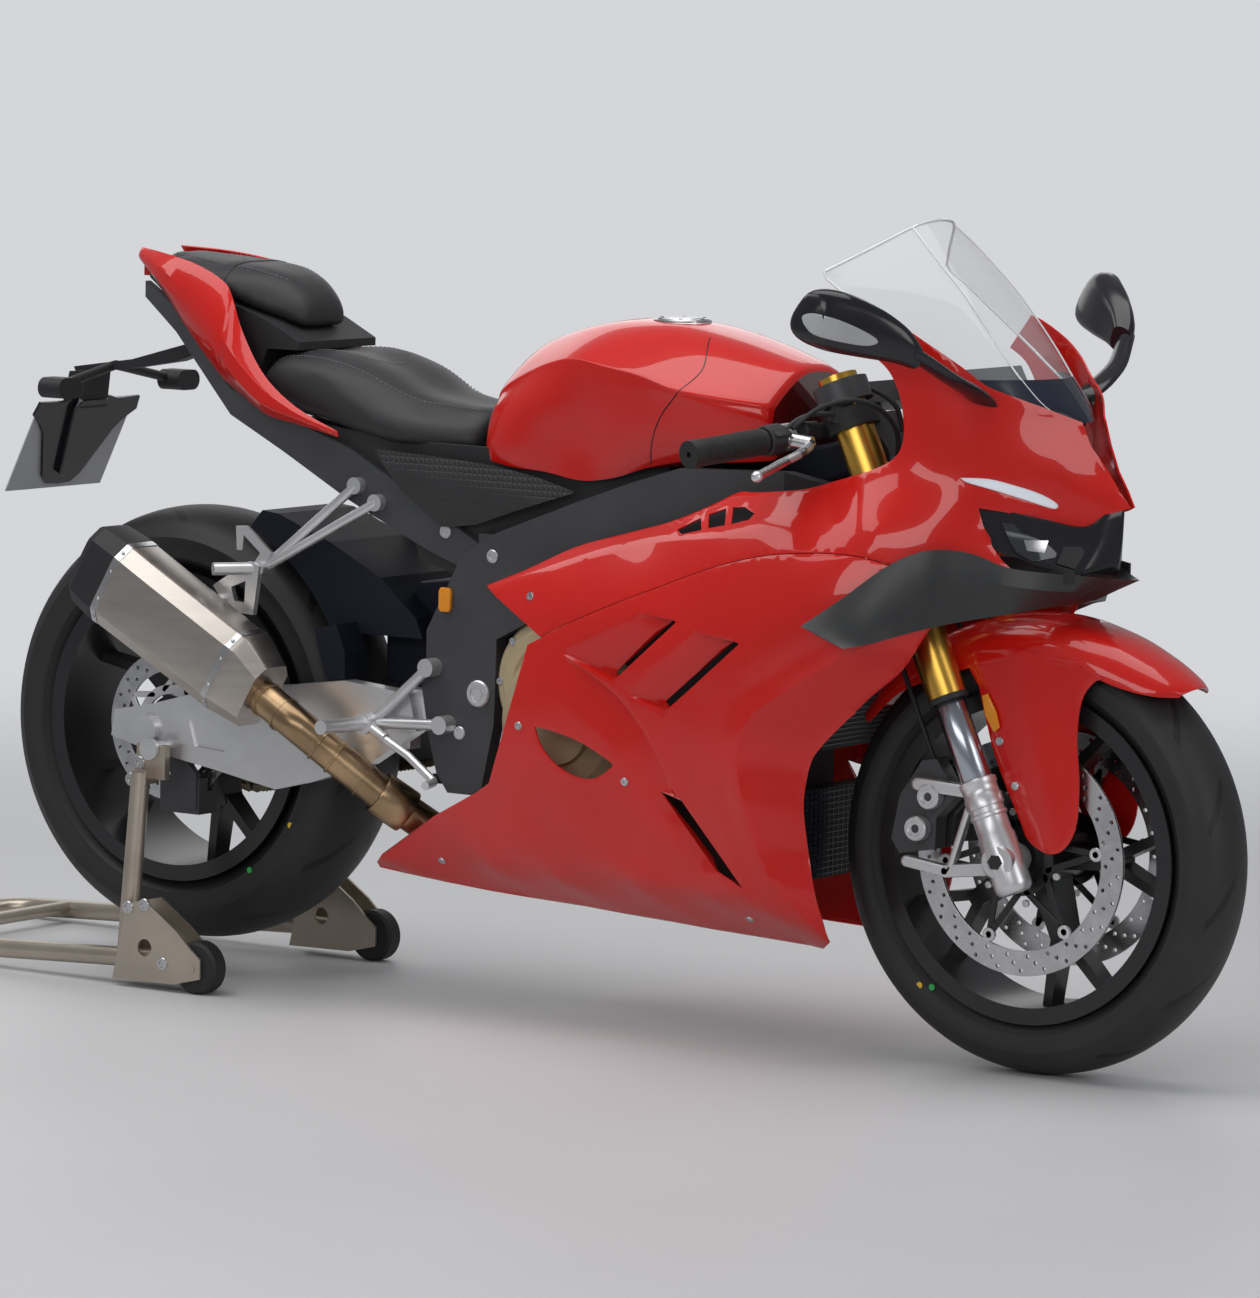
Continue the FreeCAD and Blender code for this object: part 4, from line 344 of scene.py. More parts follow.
# %% Depths of the bodywork
# x, then (half width, height) down the side
SIDE_DEPTHS = (
    (418, ((150, 262), (151, 244), (149, 226), (144, 212), (108, 198))),
    (636, ((199, 642), (205, 622), (214, 596), (228, 480), (222, 380), (200, 290), (168, 222), (112, 187))),
    (750, ((194, 682), (218, 640), (238, 575), (246, 480), (238, 380), (213, 290), (174, 218), (111, 182))),
    (900, ((187, 724), (222, 670), (245, 620), (253, 500), (245, 390), (220, 290), (178, 214), (110, 172))),
    (1030, ((184, 780), (222, 718), (245, 662), (257, 500), (249, 390), (224, 290), (182, 210),
    (108, 165))), (1112, ((181, 792), (219, 738), (242, 688), (258, 460), (249, 370), (228, 290),
    (186, 206), (106, 160))), (1165, ((178, 797), (213, 746), (240, 703), (252, 510), (226, 400),
    (212, 290), (182, 210), (118, 156))), (1210, ((176, 806), (208, 754), (237, 708), (248, 542),
    (222, 456), (205, 300), (176, 215), (128, 162))), (1300, ((228, 690), (231, 590), (206, 542),
    (190, 400), (170, 300), (130, 250))), (1291, ((174, 1012), (176, 925), (180, 830), (222, 740),
    (229, 694))), (1350, ((168, 984), (172, 900), (172, 812), (196, 740), (203, 690))),
    (1400, ((141, 936), (150, 860), (152, 796), (154, 752), (165, 690))),
    (1450, ((92, 905), (100, 846), (92, 786), (86, 750), (122, 684))),
    (1484, ((38, 884), (62, 830), (54, 774), (50, 744), (84, 678))),
    (1520, ((14, 822), (30, 800), (27, 770), (25, 742), (52, 672))),
    (1562, ((2, 760), (5, 756), (6, 752), (6, 740), (8, 700))),
)


def thin_plate(places, stiffness=0.02):
    """The depth at any (x, z) of a thin plate bent through the places (x, z, depth)."""
    places = np.array(places, float)
    at, depth = places[:, :2] / 100, places[:, 2]
    count = len(at)
    square = ((at[:, None] - at[None]) ** 2).sum(-1)
    system = np.zeros((count + 3, count + 3))
    system[:count, :count] = 0.5 * square * np.log(square + 1e-12) + stiffness * np.eye(count)
    system[:count, count] = system[count, :count] = 1
    system[:count, count + 1:], system[count + 1:, :count] = at, at.T
    weights = np.linalg.solve(system, np.concatenate([depth, np.zeros(3)]))

    def depth_at(x, z):
        where = np.stack([np.asarray(x, float), np.asarray(z, float)], -1) / 100
        square = ((where[..., None, :] - at) ** 2).sum(-1)
        return ((0.5 * square * np.log(square + 1e-12)) @ weights[:count] + weights[count]
                + where @ weights[count + 1:])

    return depth_at


side_depth = thin_plate([(x, z, y) for x, line in SIDE_DEPTHS for y, z in line])
print("depth of the flank at the vents:", round(float(side_depth(950, 550)), 1), "mm")


# %% Lines and areas in the side view
def between(a, b, c, d, t):
    """The number a share t of the way from b to c on a soft line that comes from a and goes on to d."""
    return 0.5 * (2 * b + (c - a) * t + (2 * a - 5 * b + 4 * c - d) * t * t
                  + (3 * b - a - 3 * c + d) * t ** 3)


def smooth_line(points, steps=5, closed=False):
    """A soft line through points; a point written twice in a row stays a corner."""
    points = [tuple(map(float, p)) for p in points]
    line = []
    count = len(points)
    for i in range(count if closed else count - 1):
        b, c = points[i], points[(i + 1) % count]
        if b == c:
            continue
        a = points[i - 1] if closed or i else b
        d = points[(i + 2) % count] if closed or i + 2 < count else c
        line += [tuple(between(*four, k / steps) for four in zip(a, b, c, d)) for k in range(steps)]
    if not closed:
        line.append(points[-1])
    return line


def polar(centre, radius, turn):
    """The place (x, z) at a radius and a turn round a centre in the side view."""
    return centre[0] + radius * math.cos(turn), centre[-1] + radius * math.sin(turn)


def circle(centre, radius, count=24, start=0.0):
    """Places round a circle in the side view."""
    return [polar(centre, radius, start + 2 * math.pi * k / count) for k in range(count)]


def inside(area, x, z):
    """Which of the places lie inside a closed line."""
    x, z = np.asarray(x, float), np.asarray(z, float)
    hit = np.zeros(x.shape, bool)
    for (x0, z0), (x1, z1) in zip(area, list(area[1:]) + [area[0]]):
        if z0 == z1:
            continue
        cross = (z0 > z) != (z1 > z)
        hit ^= cross & (x < (x1 - x0) * (z - z0) / (z1 - z0) + x0)
    return hit


def off_line(line, x, z):
    """How far each place is from a line, above zero on the line's left-hand side."""
    x, z = np.asarray(x, float), np.asarray(z, float)
    best, side = np.full(x.shape, 1e9), np.zeros(x.shape)
    for (x0, z0), (x1, z1) in zip(line, line[1:]):
        dx, dz = x1 - x0, z1 - z0
        share = np.clip(((x - x0) * dx + (z - z0) * dz) / (dx * dx + dz * dz + 1e-9), 0, 1)
        gap = np.hypot(x - x0 - share * dx, z - z0 - share * dz)
        cross = dx * (z - z0) - dz * (x - x0)
        nearer = gap < best
        best, side = np.where(nearer, gap, best), np.where(nearer, np.sign(cross), side)
    return best * side


# %% Meshes and pieces
def mesh_of(name, places, faces):
    """A mesh from places of the frame and faces."""
    mesh = bpy.data.meshes.new(name)
    mesh.from_pydata(places, [], faces)
    return mesh


def from_bmesh(name, bm):
    """Turns an open bmesh into a mesh."""
    mesh = bpy.data.meshes.new(name)
    bm.to_mesh(mesh)
    bm.free()
    return mesh


@contextmanager
def opened(mesh):
    """Opens a mesh for changes and writes them back at the end."""
    bm = bmesh.new()
    bm.from_mesh(mesh)
    yield bm
    bm.to_mesh(mesh)
    bm.free()


def add_twin(bm):
    """Adds the mirror image of everything across the bike's middle."""
    copy = bmesh.ops.duplicate(bm, geom=bm.verts[:] + bm.edges[:] + bm.faces[:])["geom"]
    for item in copy:
        if isinstance(item, bmesh.types.BMVert):
            item.co.y = -item.co.y
    bmesh.ops.reverse_faces(bm, faces=[f for f in copy if isinstance(f, bmesh.types.BMFace)])


def joined(name, meshes, both=False):
    """One mesh from several, with the left-hand twins of all if asked."""
    bm = bmesh.new()
    for mesh in meshes:
        bm.from_mesh(mesh)
        bpy.data.meshes.remove(mesh)
    if both:
        add_twin(bm)
    return from_bmesh(name, bm)


def baked(holder):
    """The mesh of an object with its modifiers worked in."""
    bpy.context.view_layer.update()
    return bpy.data.meshes.new_from_object(holder.evaluated_get(bpy.context.evaluated_depsgraph_get()))


def add_piece(name, mesh, finish, body):
    """Links a mesh as a piece with its finish, riding on a body."""
    mesh.materials.clear()
    mesh.materials.append(finish)
    piece = held(name, mesh)
    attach(piece, body)
    return piece


def fresh_normals(mesh, sharp=32):
    """Turns the faces outwards and keeps the folds above an angle crisp."""
    with opened(mesh) as bm:
        bmesh.ops.recalc_face_normals(bm, faces=bm.faces)
    mesh.shade_smooth()
    mesh.set_sharp_from_angle(angle=math.radians(sharp))


def skin_piece(name, mesh, finish, body="root", both=True, wall=0, edge=0.8, angle=50):
    """A piece from a skin: walled inwards if told, softened at its cut edge, with its left-hand twin."""
    holder = held(name, mesh)
    if wall:
        shell = holder.modifiers.new("wall", "SOLIDIFY")
        shell.thickness = wall / 1000
        shell.offset = -1
        soft = holder.modifiers.new("edge", "BEVEL")
        soft.width = edge / 1000
        soft.segments = 2
        soft.angle_limit = math.radians(angle)
    whole = baked(holder)
    name = holder.name
    bpy.data.objects.remove(holder)
    if both:
        with opened(whole) as bm:
            add_twin(bm)
    whole.name = name
    whole.set_sharp_from_angle(angle=math.radians(30))
    return add_piece(name, whole, finish, body)


# %% Cutting a panel
# rows of triangles lie this share of a side apart, and fill points keep this share of it from a line
ROW_SHARE, CLEAR_SHARE = 0.866, 0.5


def cut_panel(name, outline, depth, finish, body="root", holes=(), folds=(), cell=11, wall=2.4, both=True,
              edge=0.9):
    """A panel cut to a side outline, set to a depth, walled inwards and softened at its edge."""
    flat, edges = [], []
    for loop in [outline, *holes]:
        start = len(flat)
        flat += loop
        edges += [(start + i, start + (i + 1) % len(loop)) for i in range(len(loop))]
    for line in folds:
        start = len(flat)
        flat += line
        edges += [(start + i, start + i + 1) for i in range(len(line) - 1)]
    lines = np.array(flat)
    low, high = lines.min(0), lines.max(0)
    grid = np.array([(x, z) for row, z in enumerate(np.arange(low[1], high[1], cell * ROW_SHARE))
                     for x in np.arange(low[0] + (row % 2) * cell / 2, high[0], cell)])
    grid = grid[inside(outline, grid[:, 0], grid[:, 1])]
    grid = grid[np.sqrt(((grid[:, None] - lines[None]) ** 2).sum(-1)).min(1) > cell * CLEAR_SHARE]
    places = [Vector(p) for p in flat] + [Vector(p) for p in grid]
    made, _, faces, *_ = delaunay_2d_cdt(places, edges, [], 0, 1e-4)
    made = np.array([tuple(p) for p in made])
    kept = []
    for face in faces:
        cx, cz = made[face].mean(0)
        if inside(outline, cx, cz) and not any(inside(hole, cx, cz) for hole in holes):
            kept.append(face)
    y = -np.asarray(depth(made[:, 0], made[:, 1]))
    mesh = mesh_of(name, [spot(a, b, c) for (a, c), b in zip(made, y)], kept)
    with opened(mesh) as bm:
        bmesh.ops.delete(bm, geom=[v for v in bm.verts if not v.link_faces], context="VERTS")
        for face in bm.faces:
            if face.normal.y > 0:
                face.normal_flip()
    mesh.shade_smooth()
    return skin_piece(name, mesh, finish, body, both, wall, edge)


# %% [markdown]
# The right flank has two exhaust louvres: the skin dips behind each slot and ends under a
# sharp lip, so that hot air can leave towards the rear. A crease runs down behind them. A
# crescent shows the engine cover, and a long slot near the bottom has a chamfered rear lip.
# Towards the wheel the whole panel folds in along one line.

# %% Side panels
SEAM = smooth_line([(763, 561), (784, 573), (869, 610), (951, 642), (1033, 673), (1103, 693), (1154, 702),
                    (1222, 707), (1275, 705), (1324, 694)], 4)
FOLD_IN = smooth_line([(1360, 640), (1325, 605), (1261, 573), (1176, 521), (1118, 474), (1101, 420),
                       (1110, 354), (1124, 280), (1155, 219), (1176, 160)], 4)
BELLY_FOLD = smooth_line([(748, 249), (859, 242), (972, 231), (1087, 234)], 4)
LOUVRES = (
    ((799, 544), (929, 606), (996, 600), (893, 512)),
    ((916, 496), (1026, 587), (1104, 579), (977, 477)),
)
SLITS = (
    [(886, 522), (893, 512), (996, 600), (982, 601)],
    [(970, 489), (977, 477), (1104, 579), (1084, 581)],
)
CRESCENT = smooth_line([(758, 437), (758, 437), (768, 411), (794, 386), (829, 373), (859, 375), (887, 392),
                        (887, 392), (884, 400), (833, 424), (779, 436), (779, 436)], 4, closed=True)
LOW_SLOT = [(962, 365), (1000, 356), (1087, 241), (1044, 262)]
CREASE = smooth_line([(799, 541), (855, 516), (905, 485), (946, 441), (971, 398), (982, 364)], 4)
BOTTOM = smooth_line([(1148, 153), (1025, 157), (823, 167), (581, 178), (392, 194), (392, 194)], 3)


def stepped(line, step=9.0):
    """The same line with places at even steps."""
    line = np.array(line, float)
    gone = np.concatenate([[0], np.cumsum(np.hypot(*np.diff(line, axis=0).T))])
    steps = np.linspace(0, gone[-1], max(2, int(gone[-1] / step) + 1))
    return [(float(np.interp(s, gone, line[:, 0])), float(np.interp(s, gone, line[:, 1]))) for s in steps]


def grown(area, by):
    """A convex area, listed clockwise, with every side moved outwards, as a closed line."""
    line = []
    for i, b in enumerate(area):
        a, c = area[i - 1], area[(i + 1) % len(area)]
        first, second = np.subtract(b, a), np.subtract(c, b)
        first, second = first / np.hypot(*first), second / np.hypot(*second)
        outs = np.array([(-first[1], first[0]), (-second[1], second[0])])
        line.append(tuple(np.array(b) + by * outs.sum(0) / (1 + outs[0] @ outs[1])))
    return line + line[:1]


def beside(line, by):
    """The same open line moved to its left-hand side."""
    way = np.gradient(np.array(line, float), axis=0)
    way /= np.hypot(*way.T)[:, None]
    return [(x - by * dz, z + by * dx) for (x, z), (dx, dz) in zip(line, way)]


def ridge(line, x, z, high, wide):
    """A crisp ridge of a height along a line, sloping down on both sides."""
    return high * np.clip(1 - np.abs(off_line(line, x, z)) / wide, 0, 1)


def ramp(value, start, reach):
    """Rises from 0 to 1 over a reach from a start, or falls from 1 to 0 before it for a reach below zero."""
    return np.clip((value - start) / reach, 0, 1)


# the fold in towards the wheel: its slope, its reach, and the heights of its top and its foot
FOLD_SLOPE, FOLD_REACH, FOLD_TOP, FOLD_FOOT = 0.75, 60, 640, 215
# height and half width of a ridge
FOLD_RIDGE, BELLY_RIDGE = (6, 28), (7, 32)
CREASE_DEPTH, CREASE_REACH, LOUVRE_DIP = 8, 60, 20
LIP_DEPTH, LIP_REACH = 11, 26


def flank_depth(x, z):
    """The side depth with its folds, louvre dips and lips worked in."""
    x, z = np.asarray(x, float), np.asarray(z, float)
    y = side_depth(x, z)
    y = y - FOLD_SLOPE * np.clip(off_line(FOLD_IN, x, z), 0, FOLD_REACH) * (z < FOLD_TOP)
    y = y + ridge(FOLD_IN, x, z, *FOLD_RIDGE) * ramp(z, FOLD_TOP, -60) * ramp(z, FOLD_FOOT, 50)
    y = y + ridge(BELLY_FOLD, x, z, *BELLY_RIDGE) * ramp(x, 760, 160) * ramp(x, 1110, -30)
    under = off_line(CREASE, x, z)
    recess = np.clip(1 + under / CREASE_REACH, 0, 1) * ramp(x, 806, 60) * ramp(z, 352, 14)
    y = y - np.where(under < 0, CREASE_DEPTH * recess, 0)
    for rear_low, rear_high, front_high, front_low in LOUVRES:
        area = [rear_low, rear_high, front_high, front_low]
        along = off_line([rear_low, rear_high], x, z)
        reach = abs(off_line([rear_low, rear_high], [front_low[0]], [front_low[1]])[0])
        y = y - np.where(inside(area, x, z), LOUVRE_DIP * np.clip(np.abs(along) / reach, 0, 1), 0)
    (x0, z0), (x1, z1) = LOW_SLOT[0], LOW_SLOT[3]
    long = math.hypot(x1 - x0, z1 - z0)
    share = ((x - x0) * (x1 - x0) + (z - z0) * (z1 - z0)) / long ** 2
    behind = ((x - x0) * (z1 - z0) - (z - z0) * (x1 - x0)) / long
    lip = np.clip(1 - np.abs(behind) / LIP_REACH, 0, 1) * np.clip(np.minimum(share, 1 - share) * 6, 0, 1)
    return y - np.where(behind > 0, LIP_DEPTH * lip, 0)


lower_outline = ([(x, z - 1.2) for x, z in SEAM]
                 + smooth_line([(1374, 636), (1323, 566), (1255, 508), (1189, 444), (1167, 410),
                                (1162, 367), (1166, 300), (1171, 270), (1177, 235), (1179, 200),
                                (1173, 166), (1173, 166)], 4)
                 + BOTTOM
                 + [(398, 204), (426, 219), (545, 289), (639, 334), (664, 349), (678, 378), (694, 414),
                    (712, 460), (740, 549)])
BOTH_EDGES = (1.2, -1.2)
FLANK_FOLDS = [[p for p in FOLD_IN[1:] if p[1] > 176], stepped(BELLY_FOLD),
               *(stepped(beside(CREASE, by)[1:-1]) for by in BOTH_EDGES)]
FLANK_FOLDS += [stepped(grown(area, by)) for area in LOUVRES for by in BOTH_EDGES]
FLANK_FOLDS += [stepped([(x, z + rise) for x, z in BOTTOM[1:-4]], 10) for rise in (4, 9, 15, 22, 30)]
FLANK_HOLES = [*SLITS, CRESCENT, LOW_SLOT]
right_flank = cut_panel("right_flank", lower_outline, flank_depth, red_paint, holes=FLANK_HOLES,
                        folds=FLANK_FOLDS, cell=9, both=False)
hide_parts("side_fairing_right")
print("right flank:", len(right_flank.data.polygons), "faces")

# %% [markdown]
# The upper fairing runs from a point beside the engine, past three small louvres, up into the
# nose. A fold along its top catches the light as a bright band, and a second one starts at the
# louvres and dives under the lamp. The nose itself is a long wedge that closes on a ridge.

# %% Upper fairing and nose
SHOULDER = smooth_line([(652, 616), (750, 651), (831, 679), (912, 703), (957, 709), (1020, 716),
                        (1083, 731), (1120, 741), (1191, 738), (1271, 731), (1330, 716), (1372, 702)], 4)
SIDE_LOUVRES = [
    [(956, 719), (990, 737), (1003, 722), (970, 714)],
    [(1001, 742), (1028, 752), (1042, 731), (1014, 725)],
    [(1039, 754), (1060, 756), (1084, 749), (1080, 741), (1052, 733)],
]
STRIP = smooth_line([(1381, 813), (1381, 813), (1412, 812), (1437, 803), (1460, 791), (1474, 778),
                     (1472, 771), (1459, 775), (1436, 787), (1413, 798), (1388, 807)], 3, closed=True)
# the bright band: its tilt, its height, and where along the bike it ends and how softly
BAND_TILT, BAND_REACH, BAND_ENDS, BAND_FADE = 0.5, 90, 1260, 240


def nose_depth(x, z):
    """The side depth with the bright band, which fades out towards the nose."""
    y = side_depth(x, z)
    above = np.clip(off_line(SHOULDER, x, z), 0, BAND_REACH)
    fade = ramp(np.asarray(x), BAND_ENDS, -BAND_FADE)
    band = BAND_TILT * (above - above ** 2 / (2 * BAND_REACH)) * fade * fade * (3 - 2 * fade)
    return np.maximum(y - band, 0)


upper_outline = (smooth_line([(641, 621), (641, 621), (709, 648), (782, 683), (864, 707), (937, 728),
                              (995, 752), (1037, 773), (1067, 775), (1145, 784), (1197, 799),
                              (1256, 817), (1288, 834), (1300, 856), (1300, 883), (1293, 918),
                              (1276, 948), (1252, 966), (1252, 966)], 4)
                 + smooth_line([(1264, 984), (1284, 1012), (1284, 1012), (1305, 1004), (1344, 982),
                                (1377, 959), (1404, 935), (1433, 920), (1457, 907), (1478, 893),
                                (1490, 886)], 3)
                 + [(1502, 854), (1523, 820), (1539, 795), (1553, 774), (1538, 768), (1522, 764),
                    (1519, 738), (1498, 744), (1474, 751), (1449, 760), (1424, 768), (1403, 773),
                    (1408, 751), (1419, 722), (1431, 704), (1441, 694), (1376, 690)]
                 + SEAM[::-1] + [(757, 564)])
band_rows = [[p for p in beside(SHOULDER, rise) if 690 < p[0] < 945 and inside(upper_outline, *p)]
             for rise in (6, 13, 20)]
band_rows += [beside(SHOULDER, -7)[2:-2], [p for p in beside(SHOULDER, 7)[2:-2] if p[0] > 1096]]
upper_fairing = cut_panel("upper_body", upper_outline, nose_depth, red_paint, holes=[*SIDE_LOUVRES, STRIP],
                          folds=[stepped(SHOULDER[2:-2]), *(stepped(row) for row in band_rows)], cell=9)
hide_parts("upper_fairing", "nose_cowl")
print("upper body:", len(upper_fairing.data.polygons), "faces")


# %% [markdown]
# The left flank is the right one's twin, apart from a cut-back at its lower rear corner, which
# lets the side stand swing past it.

# %% Left flank
left_outline = [p for p in lower_outline if not (p[0] < 660 and p[1] < 346)]
corner = max(i for i, p in enumerate(left_outline) if p[1] < 200) + 1
left_outline[corner:corner] = [(656, 176), (660, 260), (664, 330), (664, 349)]
left_flank = cut_panel("left_flank", left_outline, flank_depth, red_paint, holes=FLANK_HOLES,
                       folds=FLANK_FOLDS, cell=9, both=False)
for vertex in left_flank.data.vertices:
    vertex.co.y = -vertex.co.y
left_flank.data.flip_normals()
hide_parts("side_fairing_left")
print("left flank:", len(left_flank.data.polygons), "faces")


# %% [markdown]
# Forms that close on themselves, such as the tank, the seats and the mirror housings, are
# drawn as ribs. Soft lines are run through the ribs both ways, which gives an even net of
# four-sided faces, the kind that shines without ripples.

# %% A skin over ribs
def soft_rows(rows, steps):
    """More rows between the given ones, each coordinate following a soft line."""
    rows = [np.array(row, float) for row in rows]
    out = []
    for i in range(len(rows) - 1):
        four = rows[max(i - 1, 0)], rows[i], rows[i + 1], rows[min(i + 2, len(rows) - 1)]
        out += [between(*four, k / steps) for k in range(steps)]
    return out + [rows[-1]]


def net_faces(rows, count, ring=True, again=False):
    """Four-sided faces between rows of places; a row may be a ring, and the last may meet the first."""
    faces = []
    for i in range(rows if again else rows - 1):
        for j in range(count if ring else count - 1):
            k, after = (j + 1) % count, (i + 1) % rows
            faces.append((i * count + j, i * count + k, after * count + k, after * count + j))
    return faces


def rib_skin(name, ribs, along=5, across=4, ring=False, caps=False):
    """A smooth mesh over ribs of (x, y, z), softened both ways, closed at its ends if asked."""
    lines = []
    for row in soft_rows(ribs, along):
        points = list(row)
        if ring:
            points = points[-1:] + points + points[:2]
        soft = soft_rows([np.array([p]) for p in points], across)
        if ring:
            soft = soft[across:across * (len(row) + 1)]
        lines.append([p[0] for p in soft])
    count = len(lines[0])
    mesh = mesh_of(name, [spot(*p) for line in lines for p in line], net_faces(len(lines), count, ring))
    if caps:
        with opened(mesh) as bm:
            bm.verts.ensure_lookup_table()
            for start in (0, (len(lines) - 1) * count):
                bm.faces.new([bm.verts[start + j] for j in range(count)])
    mesh.shade_smooth()
    return mesh


def twin(mesh):
    """Adds a mesh's mirror image across the bike's middle and welds the two at the middle."""
    with opened(mesh) as bm:
        add_twin(bm)
        bmesh.ops.remove_doubles(bm, verts=bm.verts, dist=0.00005)
        bmesh.ops.recalc_face_normals(bm, faces=bm.faces)
    return mesh


# %% Fuel tank
# x, then (y, z) from the middle of the top down the right side
TANK = (
    (556, ((0, 884), (26, 882), (48, 872), (66, 858), (80, 838), (88, 812), (90, 790))),
    (575, ((0, 916), (30, 914), (58, 900), (82, 880), (100, 852), (108, 816), (106, 786))),
    (620, ((0, 951), (38, 948), (74, 930), (102, 902), (120, 862), (124, 816), (116, 780))),
    (680, ((0, 974), (44, 970), (86, 952), (124, 924), (134, 872), (124, 816), (116, 776))),
    (740, ((0, 987), (48, 983), (92, 966), (140, 936), (136, 880), (122, 812), (118, 768))),
    (800, ((0, 991), (50, 987), (96, 970), (152, 930), (148, 884), (136, 820), (124, 776))),
    (860, ((0, 988), (50, 984), (96, 966), (158, 922), (156, 890), (146, 836), (128, 794))),
    (925, ((0, 975), (48, 972), (92, 956), (160, 906), (156, 884), (146, 842), (128, 806))),
    (990, ((0, 957), (44, 954), (84, 940), (146, 896), (146, 874), (136, 836), (122, 808))),
    (1040, ((0, 940), (38, 937), (72, 924), (122, 888), (124, 868), (116, 834), (106, 812))),
    (1050, ((0, 930), (30, 927), (62, 914), (108, 880), (112, 862), (106, 834), (98, 816))),
)
tank_ribs = []
for x, line in TANK:
    wide, high = line[3]
    sharper = [*line[:3], (wide - 5, high + 6), (wide + 1, high - 6), *line[4:]]
    tank_ribs.append([(x, -y, z) for y, z in sharper])
tank_mesh = twin(rib_skin("tank", tank_ribs, 6, 5))
with opened(tank_mesh) as bm:
    bmesh.ops.holes_fill(bm, edges=[e for e in bm.edges if e.is_boundary], sides=0)
fresh_normals(tank_mesh, 35)
tank = add_piece("tank", tank_mesh, red_paint, "root")
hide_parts("fuel_tank")
print("tank:", len(tank_mesh.polygons), "faces")

# %% [markdown]
# The tail is two thin wings of red plastic that carry the pillion pad between them. Each wing
# has a bright upper facet and a long lower edge that sweeps down under the rider's seat.

# %% Tail wings
TAIL_RIBS = (
    (-98, ((46, 1056), (52, 1049), (54, 1043), (50, 1037))),
    (-30, ((76, 1050), (92, 1030), (94, 1012), (84, 998))),
    (40, ((94, 1038), (116, 1000), (118, 974), (104, 936))),
    (100, ((110, 1018), (134, 968), (136, 930), (118, 886))),
    (124, ((118, 998), (140, 938), (140, 905), (122, 870))),
    (150, ((124, 946), (145, 912), (146, 884), (126, 856))),
    (200, ((138, 888), (149, 872), (150, 850), (132, 830))),
    (262, ((144, 846), (149, 838), (148, 830), (138, 820))),
    (335, ((142, 815), (143, 812), (142, 810), (140, 806))),
)
tail_mesh = rib_skin("tail_wings", [[(x, -y, z) for y, z in line] for x, line in TAIL_RIBS], 5, 1)
tail_wings = skin_piece("tail_wings", tail_mesh, red_paint, wall=2.8, edge=1.2, angle=32)
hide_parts("tail_cowl")
print("tail wings:", len(tail_wings.data.polygons), "faces")

# %% [markdown]
# The front fender is two forms in one moulding: a crowned arch that follows the tyre, and a
# flat skirt on each side that shields the fork. The arch flares out over the skirts in a lip.

# %% Front fender
def round_front(radius, degrees, y):
    """A place round the front axle, by radius and angle above level ahead."""
    x, z = polar(FRONT_AXLE, radius, math.radians(degrees))
    return x, y, z


# angle, radius on the middle line, then how far each half-width point lies below it
FENDER_RIBS = (
    (46, 336, ((0, 0), (14, 1), (26, 5), (34, 10), (38, 16))),
    (50, 333, ((0, 0), (22, 2), (42, 8), (56, 19), (62, 30))),
    (58, 328, ((0, 0), (26, 2), (50, 9), (68, 26), (74, 44))),
    (70, 325, ((0, 0), (28, 2), (54, 9), (74, 28), (80, 50))),
    (85, 326, ((0, 0), (28, 2), (55, 9), (76, 30), (82, 56))),
    (100, 326, ((0, 0), (28, 2), (55, 9), (76, 30), (82, 62))),
    (116, 324, ((0, 0), (28, 2), (54, 9), (74, 28), (80, 60))),
    (132, 322, ((0, 0), (27, 2), (52, 8), (70, 24), (74, 40))),
    (146, 320, ((0, 0), (26, 2), (50, 7), (66, 18), (70, 28))),
)
arch_ribs = [[round_front(radius - drop, degrees, -y) for y, drop in line]
             for degrees, radius, line in FENDER_RIBS]
arch_mesh = twin(rib_skin("fender_arch", arch_ribs, 6, 4))
fender_arch = skin_piece("fender_arch", arch_mesh, red_paint, "steering", both=False, wall=2.6)
SKIRT = (smooth_line([(1345, 560), (1368, 528), (1368, 528), (1395, 438), (1438, 350), (1452, 326),
                      (1480, 312), (1506, 318), (1524, 350), (1527, 410), (1522, 470), (1528, 520),
                      (1545, 545), (1560, 552), (1560, 552)], 4) + [(1520, 572), (1430, 582), (1360, 575)])
# the skirt's distance from the middle, and its ridge: height, half width, place at the top, slope
SKIRT_Y, SKIRT_RIDGE, RIDGE_HALF, RIDGE_TOP, RIDGE_LEAN = 80, 3.5, 30, (1440, 560), 0.22


def skirt_depth(x, z):
    """Nearly flat, with a soft upright ridge down its middle."""
    off = np.asarray(x) - (RIDGE_TOP[0] + (RIDGE_TOP[1] - np.asarray(z)) * RIDGE_LEAN)
    return SKIRT_Y + SKIRT_RIDGE * np.exp(-(off / RIDGE_HALF) ** 2)


fender_skirts = cut_panel("fender_skirts", SKIRT, skirt_depth, red_paint, body="steering", cell=10)
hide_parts("front_fender")
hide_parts("front_fender")
print("fender:", len(fender_arch.data.polygons) + len(fender_skirts.data.polygons), "faces")

# %% [markdown]
# Both seats are firm foam under a stretched cover. Their ribs are closed rings: a slightly
# dished top, a full shoulder, and sides that tuck in towards the flat base.

